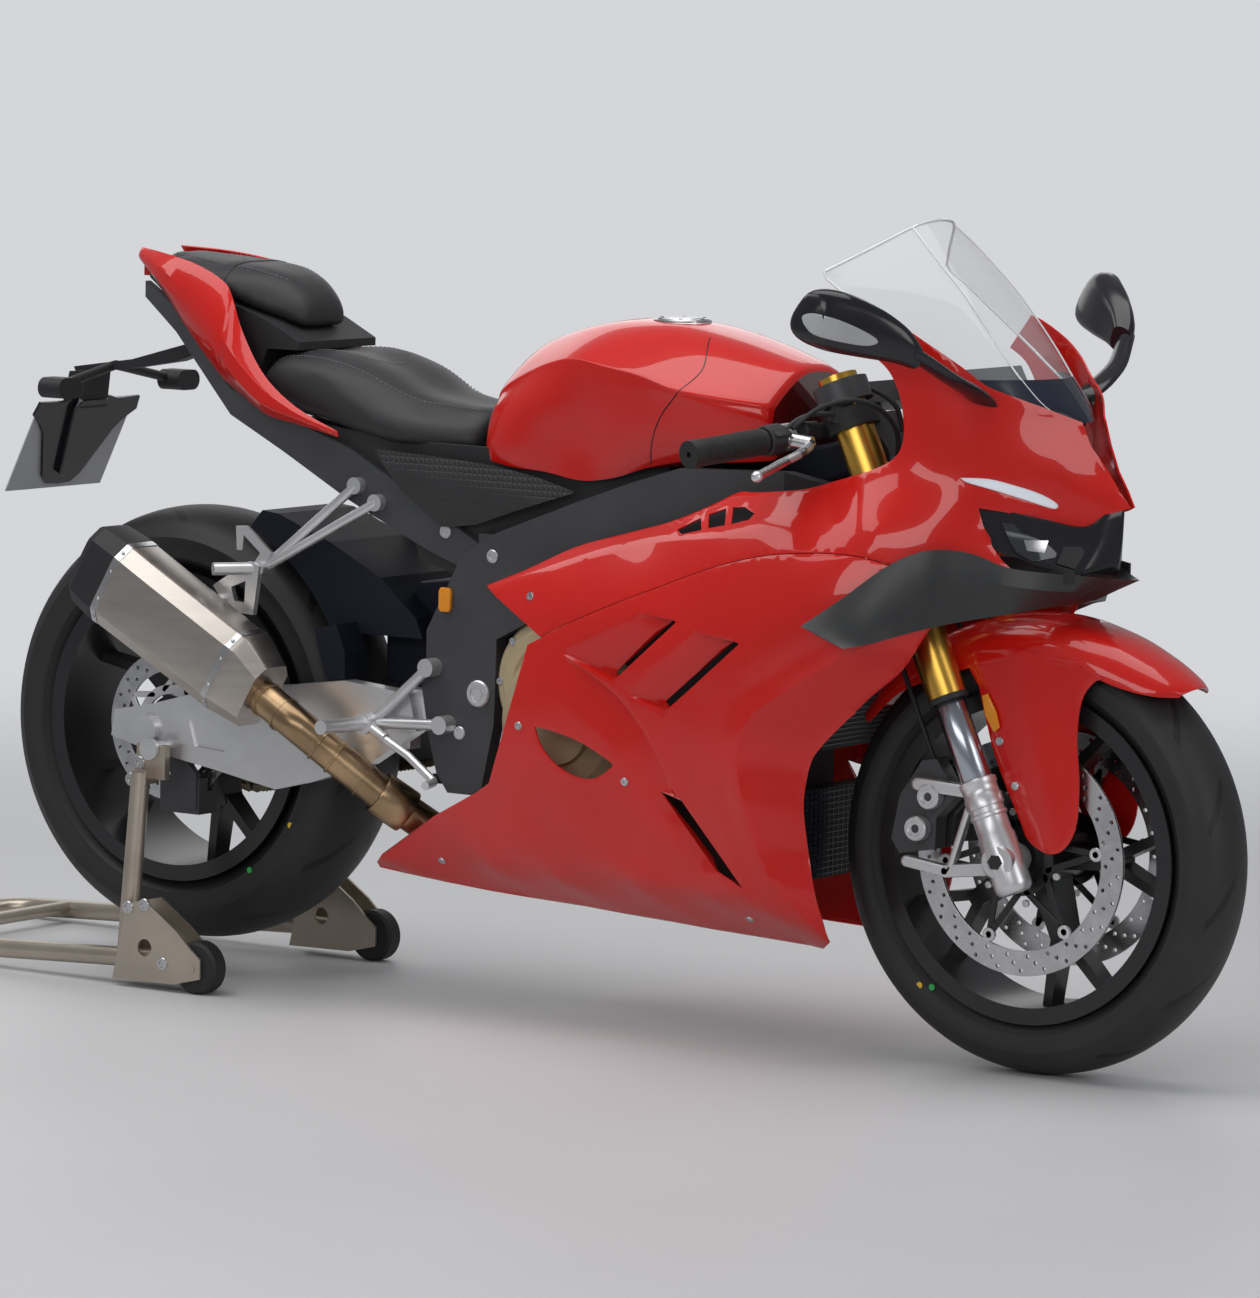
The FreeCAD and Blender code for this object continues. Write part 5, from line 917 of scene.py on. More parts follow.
# %% Seats
# x, then (y, z) round the right half from the middle of the top to the middle of the base
RIDER_RIBS = (
    (158, ((0, 882), (40, 881), (70, 878), (86, 872), (88, 866), (60, 864), (0, 864))),
    (166, ((0, 900), (46, 900), (82, 894), (102, 880), (100, 862), (70, 858), (0, 858))),
    (190, ((0, 913), (52, 915), (92, 906), (113, 884), (108, 852), (70, 846), (0, 846))),
    (240, ((0, 915), (56, 919), (100, 908), (124, 880), (118, 840), (70, 834), (0, 834))),
    (294, ((0, 912), (58, 917), (104, 904), (130, 872), (124, 830), (70, 823), (0, 823))),
    (350, ((0, 895), (58, 899), (104, 888), (133, 858), (127, 818), (70, 811), (0, 811))),
    (418, ((0, 864), (54, 867), (96, 858), (126, 834), (120, 804), (66, 799), (0, 799))),
    (484, ((0, 852), (46, 854), (80, 847), (107, 826), (102, 797), (56, 793), (0, 793))),
    (530, ((0, 848), (40, 848), (68, 842), (91, 822), (88, 794), (50, 791), (0, 791))),
    (546, ((0, 838), (34, 838), (56, 832), (74, 818), (72, 800), (44, 794), (0, 794))),
)
PILLION_RIBS = (
    (-66, ((0, 1046), (14, 1046), (26, 1045), (36, 1043), (36, 1041), (22, 1040), (0, 1040))),
    (-40, ((0, 1047), (26, 1047), (46, 1044), (56, 1038), (54, 1033), (34, 1030), (0, 1030))),
    (5, ((0, 1044), (36, 1043), (62, 1039), (76, 1030), (74, 1022), (44, 1018), (0, 1018))),
    (50, ((0, 1040), (42, 1039), (72, 1032), (89, 1016), (86, 1004), (52, 1001), (0, 1001))),
    (85, ((0, 1037), (46, 1036), (76, 1026), (93, 1008), (89, 994), (56, 991), (0, 991))),
    (125, ((0, 1031), (44, 1030), (72, 1019), (88, 996), (84, 980), (54, 977), (0, 977))),
    (165, ((0, 1018), (38, 1016), (60, 1004), (74, 982), (71, 967), (48, 962), (0, 962))),
    (194, ((0, 996), (30, 994), (48, 984), (58, 970), (56, 957), (38, 953), (0, 953))),
    (206, ((0, 976), (24, 975), (38, 970), (46, 962), (44, 954), (32, 951), (0, 951))),
)
# swelling: the most that a point moves, the frames it takes and the height over which the base
# holds it; last, how full of foam each pad is
SWELL_MOST, SWELL_FRAMES, BASE_HOLD, FOAM_FILL = 0.004, 20, 0.03, 0.8


def seat_skin(name, ribs):
    """A closed cushion from half ribs."""
    rings = []
    for x, half in ribs:
        right = [(x, -y, z) for y, z in half]
        left = [(x, y, z) for y, z in half[-2:0:-1]]
        rings.append(right + left)
    mesh = rib_skin(name, rings, 5, 3, ring=True, caps=True)
    fresh_normals(mesh, 60)
    return mesh


def padded_seat(name, ribs, node):
    """A foam pad under a stretched cover: the skin swells against its own stiffness."""
    mesh = seat_skin(name, ribs)
    mesh = swell(name, mesh, SWELL_MOST)
    piece = add_piece(name, mesh, seat_cover, "root")
    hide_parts(node)
    print(name + ":", len(mesh.polygons), "faces")
    return piece


def swell(name, mesh, most):
    """Blows a closed skin up with the cloth solver and keeps every point within a small move."""
    low = min(v.co.z for v in mesh.vertices)
    skin = held(name + "_cloth", mesh.copy())
    net = skin.modifiers.new("net", "REMESH")
    net.mode = "VOXEL"
    net.voxel_size = 0.006
    even = baked(skin)
    skin.modifiers.clear()
    skin.data = even
    start = [v.co.copy() for v in even.vertices]
    cloth = skin.modifiers.new("cloth", "CLOTH")
    cloth.settings.use_pressure = True
    cloth.settings.uniform_pressure_force = 4
    cloth.settings.effector_weights.gravity = 0
    cloth.point_cache.frame_start, cloth.point_cache.frame_end = 1, SWELL_FRAMES
    for frame_number in range(1, SWELL_FRAMES + 1):
        scene.frame_set(frame_number)
    puffed = baked(skin)
    bpy.data.objects.remove(skin)
    for vertex, place in zip(puffed.vertices, start):
        move = vertex.co - place
        move.z *= min(1, max(0, (place.z - low) / BASE_HOLD))
        vertex.co = place + move * min(1, most / max(move.length, 1e-9))
    scene.frame_set(1)
    with opened(puffed) as bm:
        for _ in range(4):
            bmesh.ops.smooth_vert(bm, verts=bm.verts, factor=0.5, use_axis_x=True, use_axis_y=True,
                                  use_axis_z=True)
    puffed.shade_smooth()
    return puffed


rider_seat = padded_seat("rider_pad", RIDER_RIBS, "rider_seat")
pillion_seat = padded_seat("pillion_pad", PILLION_RIBS, "pillion_seat")

# %% [markdown]
# The screen is a double-bubble sheet of clear plastic: a raised middle with a fold down each
# side. It is drawn as level ribs and given a thin wall.

# %% Windscreen
# (x, half width, height) from the middle to the edge, rearwards
SCREEN_RIBS = (
    ((1482, 0, 884), (1478, 14, 884), (1470, 28, 884), (1462, 44, 884), (1452, 60, 884)),
    ((1466, 0, 905), (1460, 30, 905), (1446, 56, 905), (1432, 82, 905), (1410, 106, 905)),
    ((1436, 0, 940), (1430, 34, 940), (1414, 66, 940), (1386, 102, 940), (1344, 136, 940)),
    ((1407, 0, 975), (1401, 36, 975), (1386, 70, 975), (1346, 112, 975), (1290, 152, 975)),
    ((1374, 0, 1014), (1368, 36, 1014), (1354, 70, 1014), (1306, 116, 1014), (1236, 156, 1014)),
    ((1342, 0, 1050), (1336, 35, 1050), (1323, 68, 1050), (1270, 114, 1050), (1188, 158, 1050)),
    ((1310, 0, 1084), (1304, 34, 1083), (1291, 66, 1081), (1238, 112, 1073), (1164, 158, 1066)),
    ((1272, 0, 1120), (1268, 31, 1118), (1257, 61, 1113), (1213, 108, 1092), (1159, 157, 1072)),
    ((1243, 0, 1146), (1240, 26, 1144), (1230, 54, 1136), (1193, 104, 1106), (1157, 155, 1077)),
)
screen_mesh = twin(rib_skin("screen", [[(x, -y, z) for x, y, z in line] for line in SCREEN_RIBS], 4, 4))
screen = skin_piece("screen", screen_mesh, clear_screen, both=False, wall=2.4, edge=0.6)
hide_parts("windscreen")
print("screen:", len(screen.data.polygons), "faces")

# %% [markdown]
# Each mirror is a closed housing on a flat arm, both drawn as ribs and joined to one piece.

# %% Mirrors
MIRROR_RIBS = (
    (-379, ((1262, 1030), (1280, 1048), (1298, 1044), (1300, 1022), (1284, 1008), (1266, 1012))),
    (-372, ((1246, 1024), (1272, 1060), (1302, 1058), (1308, 1020), (1284, 996), (1254, 1002))),
    (-345, ((1252, 1012), (1280, 1060), (1322, 1056), (1332, 1014), (1304, 984), (1264, 990))),
    (-312, ((1290, 1000), (1312, 1042), (1352, 1038), (1362, 1004), (1338, 976), (1302, 980))),
    (-286, ((1330, 986), (1344, 1018), (1374, 1014), (1382, 990), (1364, 970), (1338, 972))),
    (-268, ((1354, 976), (1362, 996), (1382, 992), (1386, 976), (1376, 962), (1360, 964))),
)
ARM_LINE = ((1388, -120, 868, 16, 8), (1396, -126, 905, 20, 8), (1402, -160, 925, 20, 8),
            (1396, -215, 948, 16, 8), (1380, -262, 975, 14, 9), (1372, -282, 985, 13, 9))
# shares of an arm's half width ahead and of its thickness up, round its section from the rear
ARM_SECTION = ((-1, 0, -0.2), (-0.4, -2, 1), (0.5, 0, 0.8), (1, 0, -0.2), (0.3, 0, -1), (-0.5, 0, -1))
house_ribs = [[(x, y, z) for x, z in line] for y, line in MIRROR_RIBS]
arm_ribs = [[(x + half * a, y + out, z + thick * b) for a, out, b in ARM_SECTION]
            for x, y, z, half, thick in ARM_LINE]
mirror_meshes = [rib_skin("mirror_house", house_ribs, 5, 4, ring=True, caps=True),
                 rib_skin("mirror_arm", arm_ribs, 4, 3, ring=True, caps=True)]
for mesh in mirror_meshes:
    fresh_normals(mesh, 60)
mirror_set = skin_piece("mirror_set", joined("mirrors", mirror_meshes), black_gloss)
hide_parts("mirrors")
print("mirrors:", len(mirror_set.data.polygons), "faces")

# %% [markdown]
# The mechanical parts are made three ways, like in a workshop: plates are sawn from flat stock
# and get a small chamfer, round parts are turned on a lathe, and tubes are bent along a line.
# One helper each does that, and the cells after it only hold sizes.

# %% Plates, turned parts and tubes
TO_FRONT, TO_LEFT, TO_RIGHT, UPWARDS = (1, 0, 0), (0, 1, 0), (0, -1, 0), (0, 0, 1)
ORIGIN = (0, 0, 0)
FORK_Y = 105
UP_FORK = (-math.sin(RAKE), 0, math.cos(RAKE))


def fork_place(along):
    """A place on the right fork leg, so far up from the front axle."""
    return FRONT_AXLE[0] + UP_FORK[0] * along, -FORK_Y, FRONT_AXLE[2] + UP_FORK[2] * along


def flat_plate(loops, y, thick, edge=0.5):
    """A plate in the side view: an outline and its holes, a thickness, and chamfered edges."""
    curve = bpy.data.curves.new("plate", "CURVE")
    curve.dimensions = "2D"
    curve.fill_mode = "BOTH"
    curve.extrude = thick / 2 - edge
    curve.bevel_depth = edge
    curve.bevel_resolution = 1
    curve.offset = -edge
    for loop in loops:
        line = curve.splines.new("POLY")
        line.points.add(len(loop) - 1)
        for point, (x, z) in zip(line.points, loop):
            point.co = (x, z, 0, 1)
        line.use_cyclic_u = True
    holder = held("plate", curve)
    mesh = baked(holder)
    bpy.data.objects.remove(holder)
    for vertex in mesh.vertices:
        x, z, out = vertex.co
        vertex.co = spot(x, y - out, z)
    return mesh


def bar_plate(start, end, half, y, thick, edge=2.0):
    """A flat bar with round ends between two (x, z) places."""
    turn = math.atan2(end[1] - start[1], end[0] - start[0])
    loop = []
    for centre, first in ((end, turn - math.pi / 2), (start, turn + math.pi / 2)):
        loop += [polar(centre, half, first + math.pi * k / 8) for k in range(9)]
    return flat_plate([loop], y, thick, edge)


def turned(profile, centre, axis=TO_LEFT, steps=40, closed=False):
    """A part turned on a lathe, from (radius, place along the axis) pairs."""
    along = Vector(axis).normalized()
    first = along.orthogonal().normalized()
    second = along.cross(first)
    places = []
    for k in range(steps):
        turn = 2 * math.pi * k / steps
        out = first * math.cos(turn) + second * math.sin(turn)
        places += [spot(*(Vector(centre) + out * radius + along * at)) for radius, at in profile]
    mesh = mesh_of("turned", places, net_faces(steps, len(profile), closed, again=True))
    with opened(mesh) as bm:
        bmesh.ops.remove_doubles(bm, verts=bm.verts, dist=1e-6)
        bmesh.ops.dissolve_degenerate(bm, dist=1e-7, edges=bm.edges)
    return mesh


def rod_mesh(start, end, radius, edge=0.8, steps=24):
    """A plain rod between two places, with chamfered ends."""
    length = (Vector(end) - Vector(start)).length
    profile = [(0, 0), (radius - edge, 0), (radius, edge), (radius, length - edge), (radius - edge, length),
               (0, length)]
    return turned(profile, start, Vector(end) - Vector(start), steps)


def tube_mesh(points, radius, sides=14, soft=5):
    """A round tube along a soft line through (x, y, z) places; a fourth number is its own radius."""
    rows = [np.array([list(p) + ([radius] if len(p) == 3 else [])]) for p in points]
    line = [row[0] for row in soft_rows(rows, soft)]
    places, side = [], None
    for i, (x, y, z, thick) in enumerate(line):
        way = Vector(line[min(i + 1, len(line) - 1)][:3]) - Vector(line[max(i - 1, 0)][:3])
        way.normalize()
        side = way.orthogonal() if side is None else side - way * side.dot(way)
        side.normalize()
        other = way.cross(side)
        for k in range(sides):
            turn = 2 * math.pi * k / sides
            out = side * math.cos(turn) + other * math.sin(turn)
            places.append(spot(*(Vector((x, y, z)) + out * thick)))
    last = (len(line) - 1) * sides
    caps = [tuple(range(sides))[::-1], tuple(range(last, last + sides))]
    return mesh_of("tube", places, net_faces(len(line), sides) + caps)


def made_of(name, meshes, finish, body, nodes=(), both=False, sharp=35):
    """Joins meshes to one piece, with its left-hand twin if asked, for the nodes that it replaces."""
    whole = joined(name, meshes, both)
    fresh_normals(whole, sharp)
    piece = add_piece(name, whole, finish, body)
    if nodes:
        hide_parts(*nodes)
    return piece


print("workshop helpers ready")

# %% [markdown]
# Each front disc is a drilled steel band that floats on six buttons round a black star. The
# holes run in three rows, a little turned from row to row.

# %% Brake discs
DISC_Y, REAR_DISC_Y = 64, 89


def drilled_band(centre, inner, outer, y, thick, rows, count, hole):
    """A flat ring with rows of drilled holes."""
    loops = [circle(centre, outer, 120), circle(centre, inner, 96)]
    for row in range(rows):
        radius = inner + (outer - inner) * (row + 0.75) / (rows + 0.5)
        for number in range(count):
            turn = 2 * math.pi * (number + row / rows) / count
            loops.append(circle(polar(centre, radius, turn), hole, 8))
    return flat_plate(loops, y, thick, 0.3)


def star(centre, y, thick, hub, reach, arms, first=7):
    """A hub ring with pairs of arms that meet at the buttons."""
    meshes = [flat_plate([circle(centre, hub + 14, 48), circle(centre, hub, 40)], y, thick)]
    for number in range(arms):
        turn = math.radians(first + number * 360 / arms)
        for lean in (-0.42, 0.42):
            foot = polar(centre, hub + 8, turn + lean)
            meshes.append(bar_plate(foot, polar(centre, reach, turn), 4.5, y, thick, 1))
    return meshes


def buttons(centre, y, reach, arms, radius, high, first=7):
    """Turned buttons with a dimple, one at each arm's tip."""
    profile = [(0, 0), (radius, 0), (radius, high - 0.8), (radius - 0.8, high), (radius * 0.55, high),
               (radius * 0.45, high - 1.2), (0, high - 1.2)]
    meshes = []
    for number in range(arms):
        x, z = polar(centre, reach, math.radians(first + number * 360 / arms))
        meshes.append(turned(profile, (x, y, z), TO_RIGHT, 20))
    return meshes


disc_bands = made_of("disc_bands", [drilled_band(FRONT_AXLE, 126, 160, -DISC_Y, 4.5, 3, 26, 2.9)], steel,
                     "front_wheel", ["front_discs"], both=True)
made_of("disc_stars", star(FRONT_AXLE, -DISC_Y, 4.4, 38, 118, 6), wheel_paint, "front_wheel",
        ["front_discs"], both=True)
made_of("disc_buttons", buttons(FRONT_AXLE, -DISC_Y + 2.2, 118, 6, 9.5, 5.2)
        + buttons(FRONT_AXLE, -DISC_Y - 1, 62, 6, 5, 4.5, 41), cast_silver, "front_wheel", both=True)
made_of("rear_band", [drilled_band(REAR_AXLE, 80, 110, -REAR_DISC_Y, 4.5, 2, 24, 2.9)], steel, "rear_wheel",
        ["rear_disc"])
made_of("rear_star", star(REAR_AXLE, -REAR_DISC_Y, 4.4, 46, 84, 5), cast_silver, "rear_wheel", ["rear_disc"])
print("discs:", len(disc_bands.data.polygons), "faces in the front bands")

# %% [markdown]
# The fork's sliders are polished tubes in cast feet. Each foot has turned rings, a clamp round
# the axle and two arms that reach back to the caliper, joined by a thin brace.

# %% Fork
SLIDER_TOP = 232
made_of("fork_sliders", [rod_mesh(fork_place(100), fork_place(SLIDER_TOP), 21.5, steps=40)], slider_steel,
        "steering", ["fork_lowers"], both=True, sharp=50)
FOOT_PROFILE = ((0, -46), (20, -46), (25, -41), (26, -34), (26, 34), (24, 38), (23.5, 60), (25.5, 62),
                (25.5, 66), (23.5, 68), (23.5, 74), (26, 76), (26, 90), (24.5, 92), (24.5, 104),
                (26, 106), (26, 113), (22, 115), (21.5, 112))
FOOT_ARMS = (
    (-50, 88, -137, 92, 9),
    (-12, -12, -89, -22, 9),
    (-89, -22, -152, -14, 8),
    (-84, -20, -52, 76, 5),
)
foot_meshes = [turned(FOOT_PROFILE, fork_place(0), UP_FORK, 40)]
for x0, z0, x1, z1, half in FOOT_ARMS:
    start, end = (FRONT_AXLE[0] + x0, FRONT_AXLE[2] + z0), (FRONT_AXLE[0] + x1, FRONT_AXLE[2] + z1)
    foot_meshes.append(bar_plate(start, end, half, -106, 14, 3.5))


def on_axle(y):
    """A place on the front axle."""
    return FRONT_AXLE[0], y, FRONT_AXLE[2]


AXLE_CLAMP = [(20, 0), (24, 1), (24, 46), (21, 49), (13, 49), (13, 44), (0, 44)]
foot_meshes.append(turned(AXLE_CLAMP, on_axle(-80), TO_RIGHT, 48))
foot_meshes.append(rod_mesh(on_axle(0), on_axle(-86), 12.5))
foot_meshes.append(rod_mesh(on_axle(-86), on_axle(-68), 20))
fork_feet = made_of("fork_feet", foot_meshes, cast_silver, "steering", ["fork_lowers"], both=True, sharp=40)
SEAL = [(22, 0), (27.6, 0), (28, 1), (28, 7), (27, 8), (22, 8)]
hex_nut = flat_plate([circle(FRONT_AXLE, 11, 6)], -128.5, 6, 0.8)
made_of("fork_blacks", [hex_nut, turned(SEAL, fork_place(SLIDER_TOP - 6), UP_FORK, 40)], black_moulded,
        "steering", both=True)
PISTON_COVER = [(0, 0), (17, 0), (17, 14), (15.5, 16), (11, 16), (9.5, 14), (6, 14), (6, 12), (0, 12)]
covers = []
for degrees in (147, 167):
    x, z = polar(FRONT_AXLE, 140, math.radians(degrees))
    covers.append(turned(PISTON_COVER, (x, -100, z), TO_RIGHT, 32))
made_of("caliper_covers", covers, cast_silver, "steering", both=True)
print("fork foot:", len(fork_feet.data.polygons), "faces")

# %% [markdown]
# The silencer is folded titanium sheet: eight long facets with soft corners, a cone at its
# front and a dark moulded cap behind, riveted on through a narrow band.

# %% Silencer
CAN_Y = -214
# centre x, centre z, half height, half width
CAN = ((262, 438, 50, 38), (225, 466, 62, 45), (217, 470, 63, 46), (60, 556, 65, 48), (6, 585.6, 66, 47.5))
CAN_CAP = ((6, 585.6, 66.4, 47.8), (-6, 592, 66.2, 47.6), (-34, 608, 63, 45), (-44, 614, 56, 38),
           (-45, 614.5, 40, 26))
CORNERS = ((-1, -0.5), (-0.97, -0.62), (-0.66, -0.97), (-0.54, -1), (0.54, -1), (0.66, -0.97),
           (0.97, -0.62), (1, -0.5), (1, 0.5), (0.97, 0.62), (0.66, 0.97), (0.54, 1), (-0.54, 1),
           (-0.66, 0.97), (-0.97, 0.62), (-1, 0.5))
can_back = Vector((-306, 0, 176)).normalized()
can_up = Vector((0.498, 0, 0.867)).normalized()


def on_can(x, z, high, wide):
    """A place off the can's axis, by its height square to the axis and its width."""
    return Vector((x, CAN_Y, z)) + can_up * high + Vector((0, wide, 0))


def can_skin(rows):
    """A skin through soft-cornered eight-sided rings square to the can's axis."""
    places = [spot(*on_can(x, z, v * high, u * wide)) for x, z, high, wide in rows for v, u in CORNERS]
    count = len(CORNERS)
    ends = [tuple(range(count)), tuple(range((len(rows) - 1) * count, len(rows) * count))]
    return mesh_of("can", places, net_faces(len(rows), count) + ends)


# centre x, centre z, half height, half width, and how far a band stands off the can
BANDS, BAND_HIGH = ((212, 473, 63.2, 46.1), (12, 582.4, 66, 47.5)), 0.7
made_of("silencer_can", [can_skin(CAN)], titanium, "root", ["silencer"], sharp=20)
bands = [can_skin([(x - s * can_back.x * 5, z - s * can_back.z * 5, high + BAND_HIGH, wide + BAND_HIGH)
                   for s in (1, -1)]) for x, z, high, wide in BANDS]
made_of("can_bands", bands, steel, "root", ["silencer"], sharp=20)
OUTLET = [(20, -2), (26, -2), (26, 5), (24, 6), (20, 5)]
outlet = turned(OUTLET, (-44, CAN_Y, 614), can_back, 32, closed=True)
made_of("can_cap", [can_skin(CAN_CAP), outlet], black_moulded, "root", ["silencer"], sharp=20)
print("silencer ready")

# %% [markdown]
# Screws, rivets, chain plates and stitches are one small form in many places. A Geometry Nodes
# group puts a template on every point of a mesh and turns it: its own up follows the point's
# facing, its own length follows the point's heading.

# %% Copies with Geometry Nodes
def copier_group():
    """The node group, with the identifiers of its template and finish inputs."""
    group = bpy.data.node_groups.new("copier", "GeometryNodeTree")
    face = group.interface
    face.new_socket("Geometry", in_out="INPUT", socket_type="NodeSocketGeometry")
    template = face.new_socket("Template", in_out="INPUT", socket_type="NodeSocketObject")
    finish = face.new_socket("Finish", in_out="INPUT", socket_type="NodeSocketMaterial")
    face.new_socket("Geometry", in_out="OUTPUT", socket_type="NodeSocketGeometry")
    entry, leave = (group.nodes.new("NodeGroup" + kind) for kind in ("Input", "Output"))
    source = group.nodes.new("GeometryNodeObjectInfo")
    wire(group, entry, "Template", source, "Object")
    turn = None
    for attribute, axis in (("facing", "Z"), ("heading", "X")):
        read = group.nodes.new("GeometryNodeInputNamedAttribute")
        read.data_type = "FLOAT_VECTOR"
        read.inputs["Name"].default_value = attribute
        align = group.nodes.new("FunctionNodeAlignRotationToVector")
        align.axis = axis
        if turn:
            align.pivot_axis = "Z"
            wire(group, turn, "Rotation", align, "Rotation")
        wire(group, read, "Attribute", align, "Vector")
        turn = align
    copy = group.nodes.new("GeometryNodeInstanceOnPoints")
    wire(group, entry, "Geometry", copy, "Points")
    wire(group, source, "Geometry", copy, "Instance")
    wire(group, turn, "Rotation", copy, "Rotation")
    real = group.nodes.new("GeometryNodeRealizeInstances")
    wire(group, copy, "Instances", real, "Geometry")
    coat = group.nodes.new("GeometryNodeSetMaterial")
    wire(group, real, "Geometry", coat, "Geometry")
    wire(group, entry, "Finish", coat, "Material")
    wire(group, coat, "Geometry", leave, "Geometry")
    return group, template.identifier, finish.identifier


COPIER = copier_group()


def copies(name, mould, places, finish, body, nodes=(), both=False):
    """A small mesh at every (place, facing, heading), joined to one piece on one body."""
    if both:
        places = list(places) + [tuple((v[0], -v[1], v[2]) for v in place) for place in places]
    points = bpy.data.meshes.new(name)
    points.from_pydata([spot(*place[0]) for place in places], [], [])
    for number, attribute in ((1, "facing"), (2, "heading")):
        values = points.attributes.new(attribute, "FLOAT_VECTOR", "POINT")
        values.data.foreach_set("vector", [c for place in places for c in place[number]])
    holder = held(name + "_points", points)
    mould_holder = held(name + "_template", mould)
    run = holder.modifiers.new("copies", "NODES")
    run.node_group, template_input, finish_input = COPIER
    run[template_input] = mould_holder
    run[finish_input] = finish
    mesh = baked(holder)
    bpy.data.objects.remove(holder)
    bpy.data.objects.remove(mould_holder)
    fresh_normals(mesh, 35)
    piece = add_piece(name, mesh, finish, body)
    if nodes:
        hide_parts(*nodes)
    return piece


def template(mesh):
    """Moves a mesh that was made at the measuring origin to its own origin."""
    for vertex in mesh.vertices:
        vertex.co -= spot(0, 0, 0)
    return mesh


def lying_on(depth, x, z, lift=0.0):
    """A place on a panel and the direction that the panel faces there, on the right-hand side."""
    y = float(depth(x, z))
    slope_x = (float(depth(x + 4, z)) - float(depth(x - 4, z))) / 8
    slope_z = (float(depth(x, z + 4)) - float(depth(x, z - 4))) / 8
    facing = Vector((-slope_x, -1, -slope_z)).normalized()
    return (Vector((x, -y, z)) + facing * lift, facing, TO_FRONT)


def head(profile, steps):
    """A turned screw or rivet head to copy, from (radius, height) pairs."""
    return template(turned(profile, ORIGIN, UPWARDS, steps))


SCREW_HEAD = [(0, -2), (6.2, -2), (6.2, 0.6), (5.4, 1.8), (3.1, 1.8), (2.9, 0.4), (0, 0.4)]
FLANK_SCREWS, SKIRT_SCREWS = ((728, 436), (907, 374), (1057, 190)), ((1403, 456), (1429, 398))
screws = [lying_on(flank_depth, x, z) for x, z in FLANK_SCREWS] + [lying_on(nose_depth, 732, 614)]
copies("flank_screws", head(SCREW_HEAD, 20), screws, steel, "root", both=True)
copies("tail_screw", head(SCREW_HEAD, 20), [lying_on(flank_depth, 528, 220)], steel, "root")
copies("skirt_screws", head(SCREW_HEAD, 20), [lying_on(skirt_depth, x, z) for x, z in SKIRT_SCREWS], steel,
       "steering", both=True)
print("screws:", 2 * len(screws) + 1 + 2 * len(SKIRT_SCREWS))

# %% [markdown]
# The silencer's bands carry rivets, one row at each end, on the facets that show.

# %% Rivets
RIVET = [(0, -1), (2.6, -1), (2.6, 0.6), (1.6, 1.5), (0, 1.8)]
# on each facet that shows: the rivet's share of the height and the width, and the facet's own way out
RIVET_SEATS = ((0.35, -1, 0, -1), (-0.35, -1, 0, -1), (-0.82, -0.82, -0.7, -0.7), (0.82, -0.82, 0.7, -0.7),
               (0.82, 0.82, 0.7, 0.7), (0.3, 1, 0, 1), (-0.3, 1, 0, 1))
rivets = []
for x, z, high, wide in BANDS:
    for v, u, out_v, out_u in RIVET_SEATS:
        at = on_can(x, z, v * (high + BAND_HIGH), u * (wide + BAND_HIGH))
        rivets.append((at, (can_up * out_v + Vector((0, out_u, 0))).normalized(), can_back))
copies("can_rivets", head(RIVET, 12), rivets, steel, "root")
print("rivets:", len(rivets))

# %% [markdown]
# The lamp sits deep in a dark house under the nose: a facetted lens with a bright frame, and
# above it a curved white strip that lights up by itself.

# %% Lamps
def slab(front, back, edge, segments=2):
    """A solid between two like outlines in space, with its edges softened."""
    bm = bmesh.new()
    front = [bm.verts.new(spot(*p)) for p in front]
    back = [bm.verts.new(spot(*p)) for p in back]
    bm.faces.new(front)
    bm.faces.new(back[::-1])
    for k in range(len(front)):
        bm.faces.new((front[k - 1], back[k - 1], back[k], front[k]))
    bmesh.ops.recalc_face_normals(bm, faces=bm.faces)
    bmesh.ops.bevel(bm, geom=bm.edges[:], offset=edge / 1000, segments=segments, affect="EDGES", profile=0.6)
    return from_bmesh("slab", bm)


def facet_plate(corners, thick, edge=0.6):
    """A thin plate on corners in space, as thick as told towards the inside of the bike."""
    points = [Vector(corner) for corner in corners]
    middle = sum(points, Vector()) / len(points)
    facing = sum(((a - middle).cross(b - middle) for a, b in zip(points, points[1:] + points[:1])), Vector())
    facing.normalize()
    if facing.y > 0:
        facing = -facing
    return slab(points, [p - facing * thick for p in points], edge)


LENS = ((1423, -123, 754), (1452, -84, 749), (1480, -54, 745), (1483, -53, 735), (1478, -72, 707),
        (1459, -99, 702), (1441, -112, 714), (1430, -117, 733))
LAMP_FRAME = ((1511, -31, 731), (1501, -59, 692), (1482, -76, 700), (1484, -56, 730))
HOUSE_RIBS = (
    ((1398, -140, 776), (1404, -138, 744), (1416, -126, 714)),
    ((1430, -114, 768), (1432, -110, 738), (1440, -106, 706)),
    ((1466, -76, 757), (1464, -80, 728), (1462, -92, 696)),
    ((1504, -42, 748), (1496, -50, 720), (1488, -66, 688)),
    ((1526, -22, 766), (1520, -30, 724), (1508, -50, 684)),
    ((1540, 0, 772), (1538, 0, 730), (1532, 0, 688)),
)
house_skin = rib_skin("lamp_house", HOUSE_RIBS, 4, 3)
fresh_normals(house_skin, 40)
lamp_house = skin_piece("lamp_house", house_skin, black_gloss, wall=3)
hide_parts("headlamps")
BOWL = ((1447, -103, 731), (1470, -77, 730), (1467, -84, 710), (1452, -101, 712))
LAMP_FLOOR = [(1370, 672), (1370, 704), (1440, 705), (1508, 692), (1508, 674)]
for name, mesh, finish in (("lamp_lens", facet_plate(LENS, 8, 1.2), dark_lens),
                           ("lamp_bowl", facet_plate(BOWL, 5, 0.8), steel),
                           ("lamp_frame", facet_plate(LAMP_FRAME, 10, 1.5), black_moulded),
                           ("lamp_floor", flat_plate([LAMP_FLOOR], -74, 4), black_moulded)):
    made_of(name, [mesh], finish, "root", ["headlamps"], both=True)
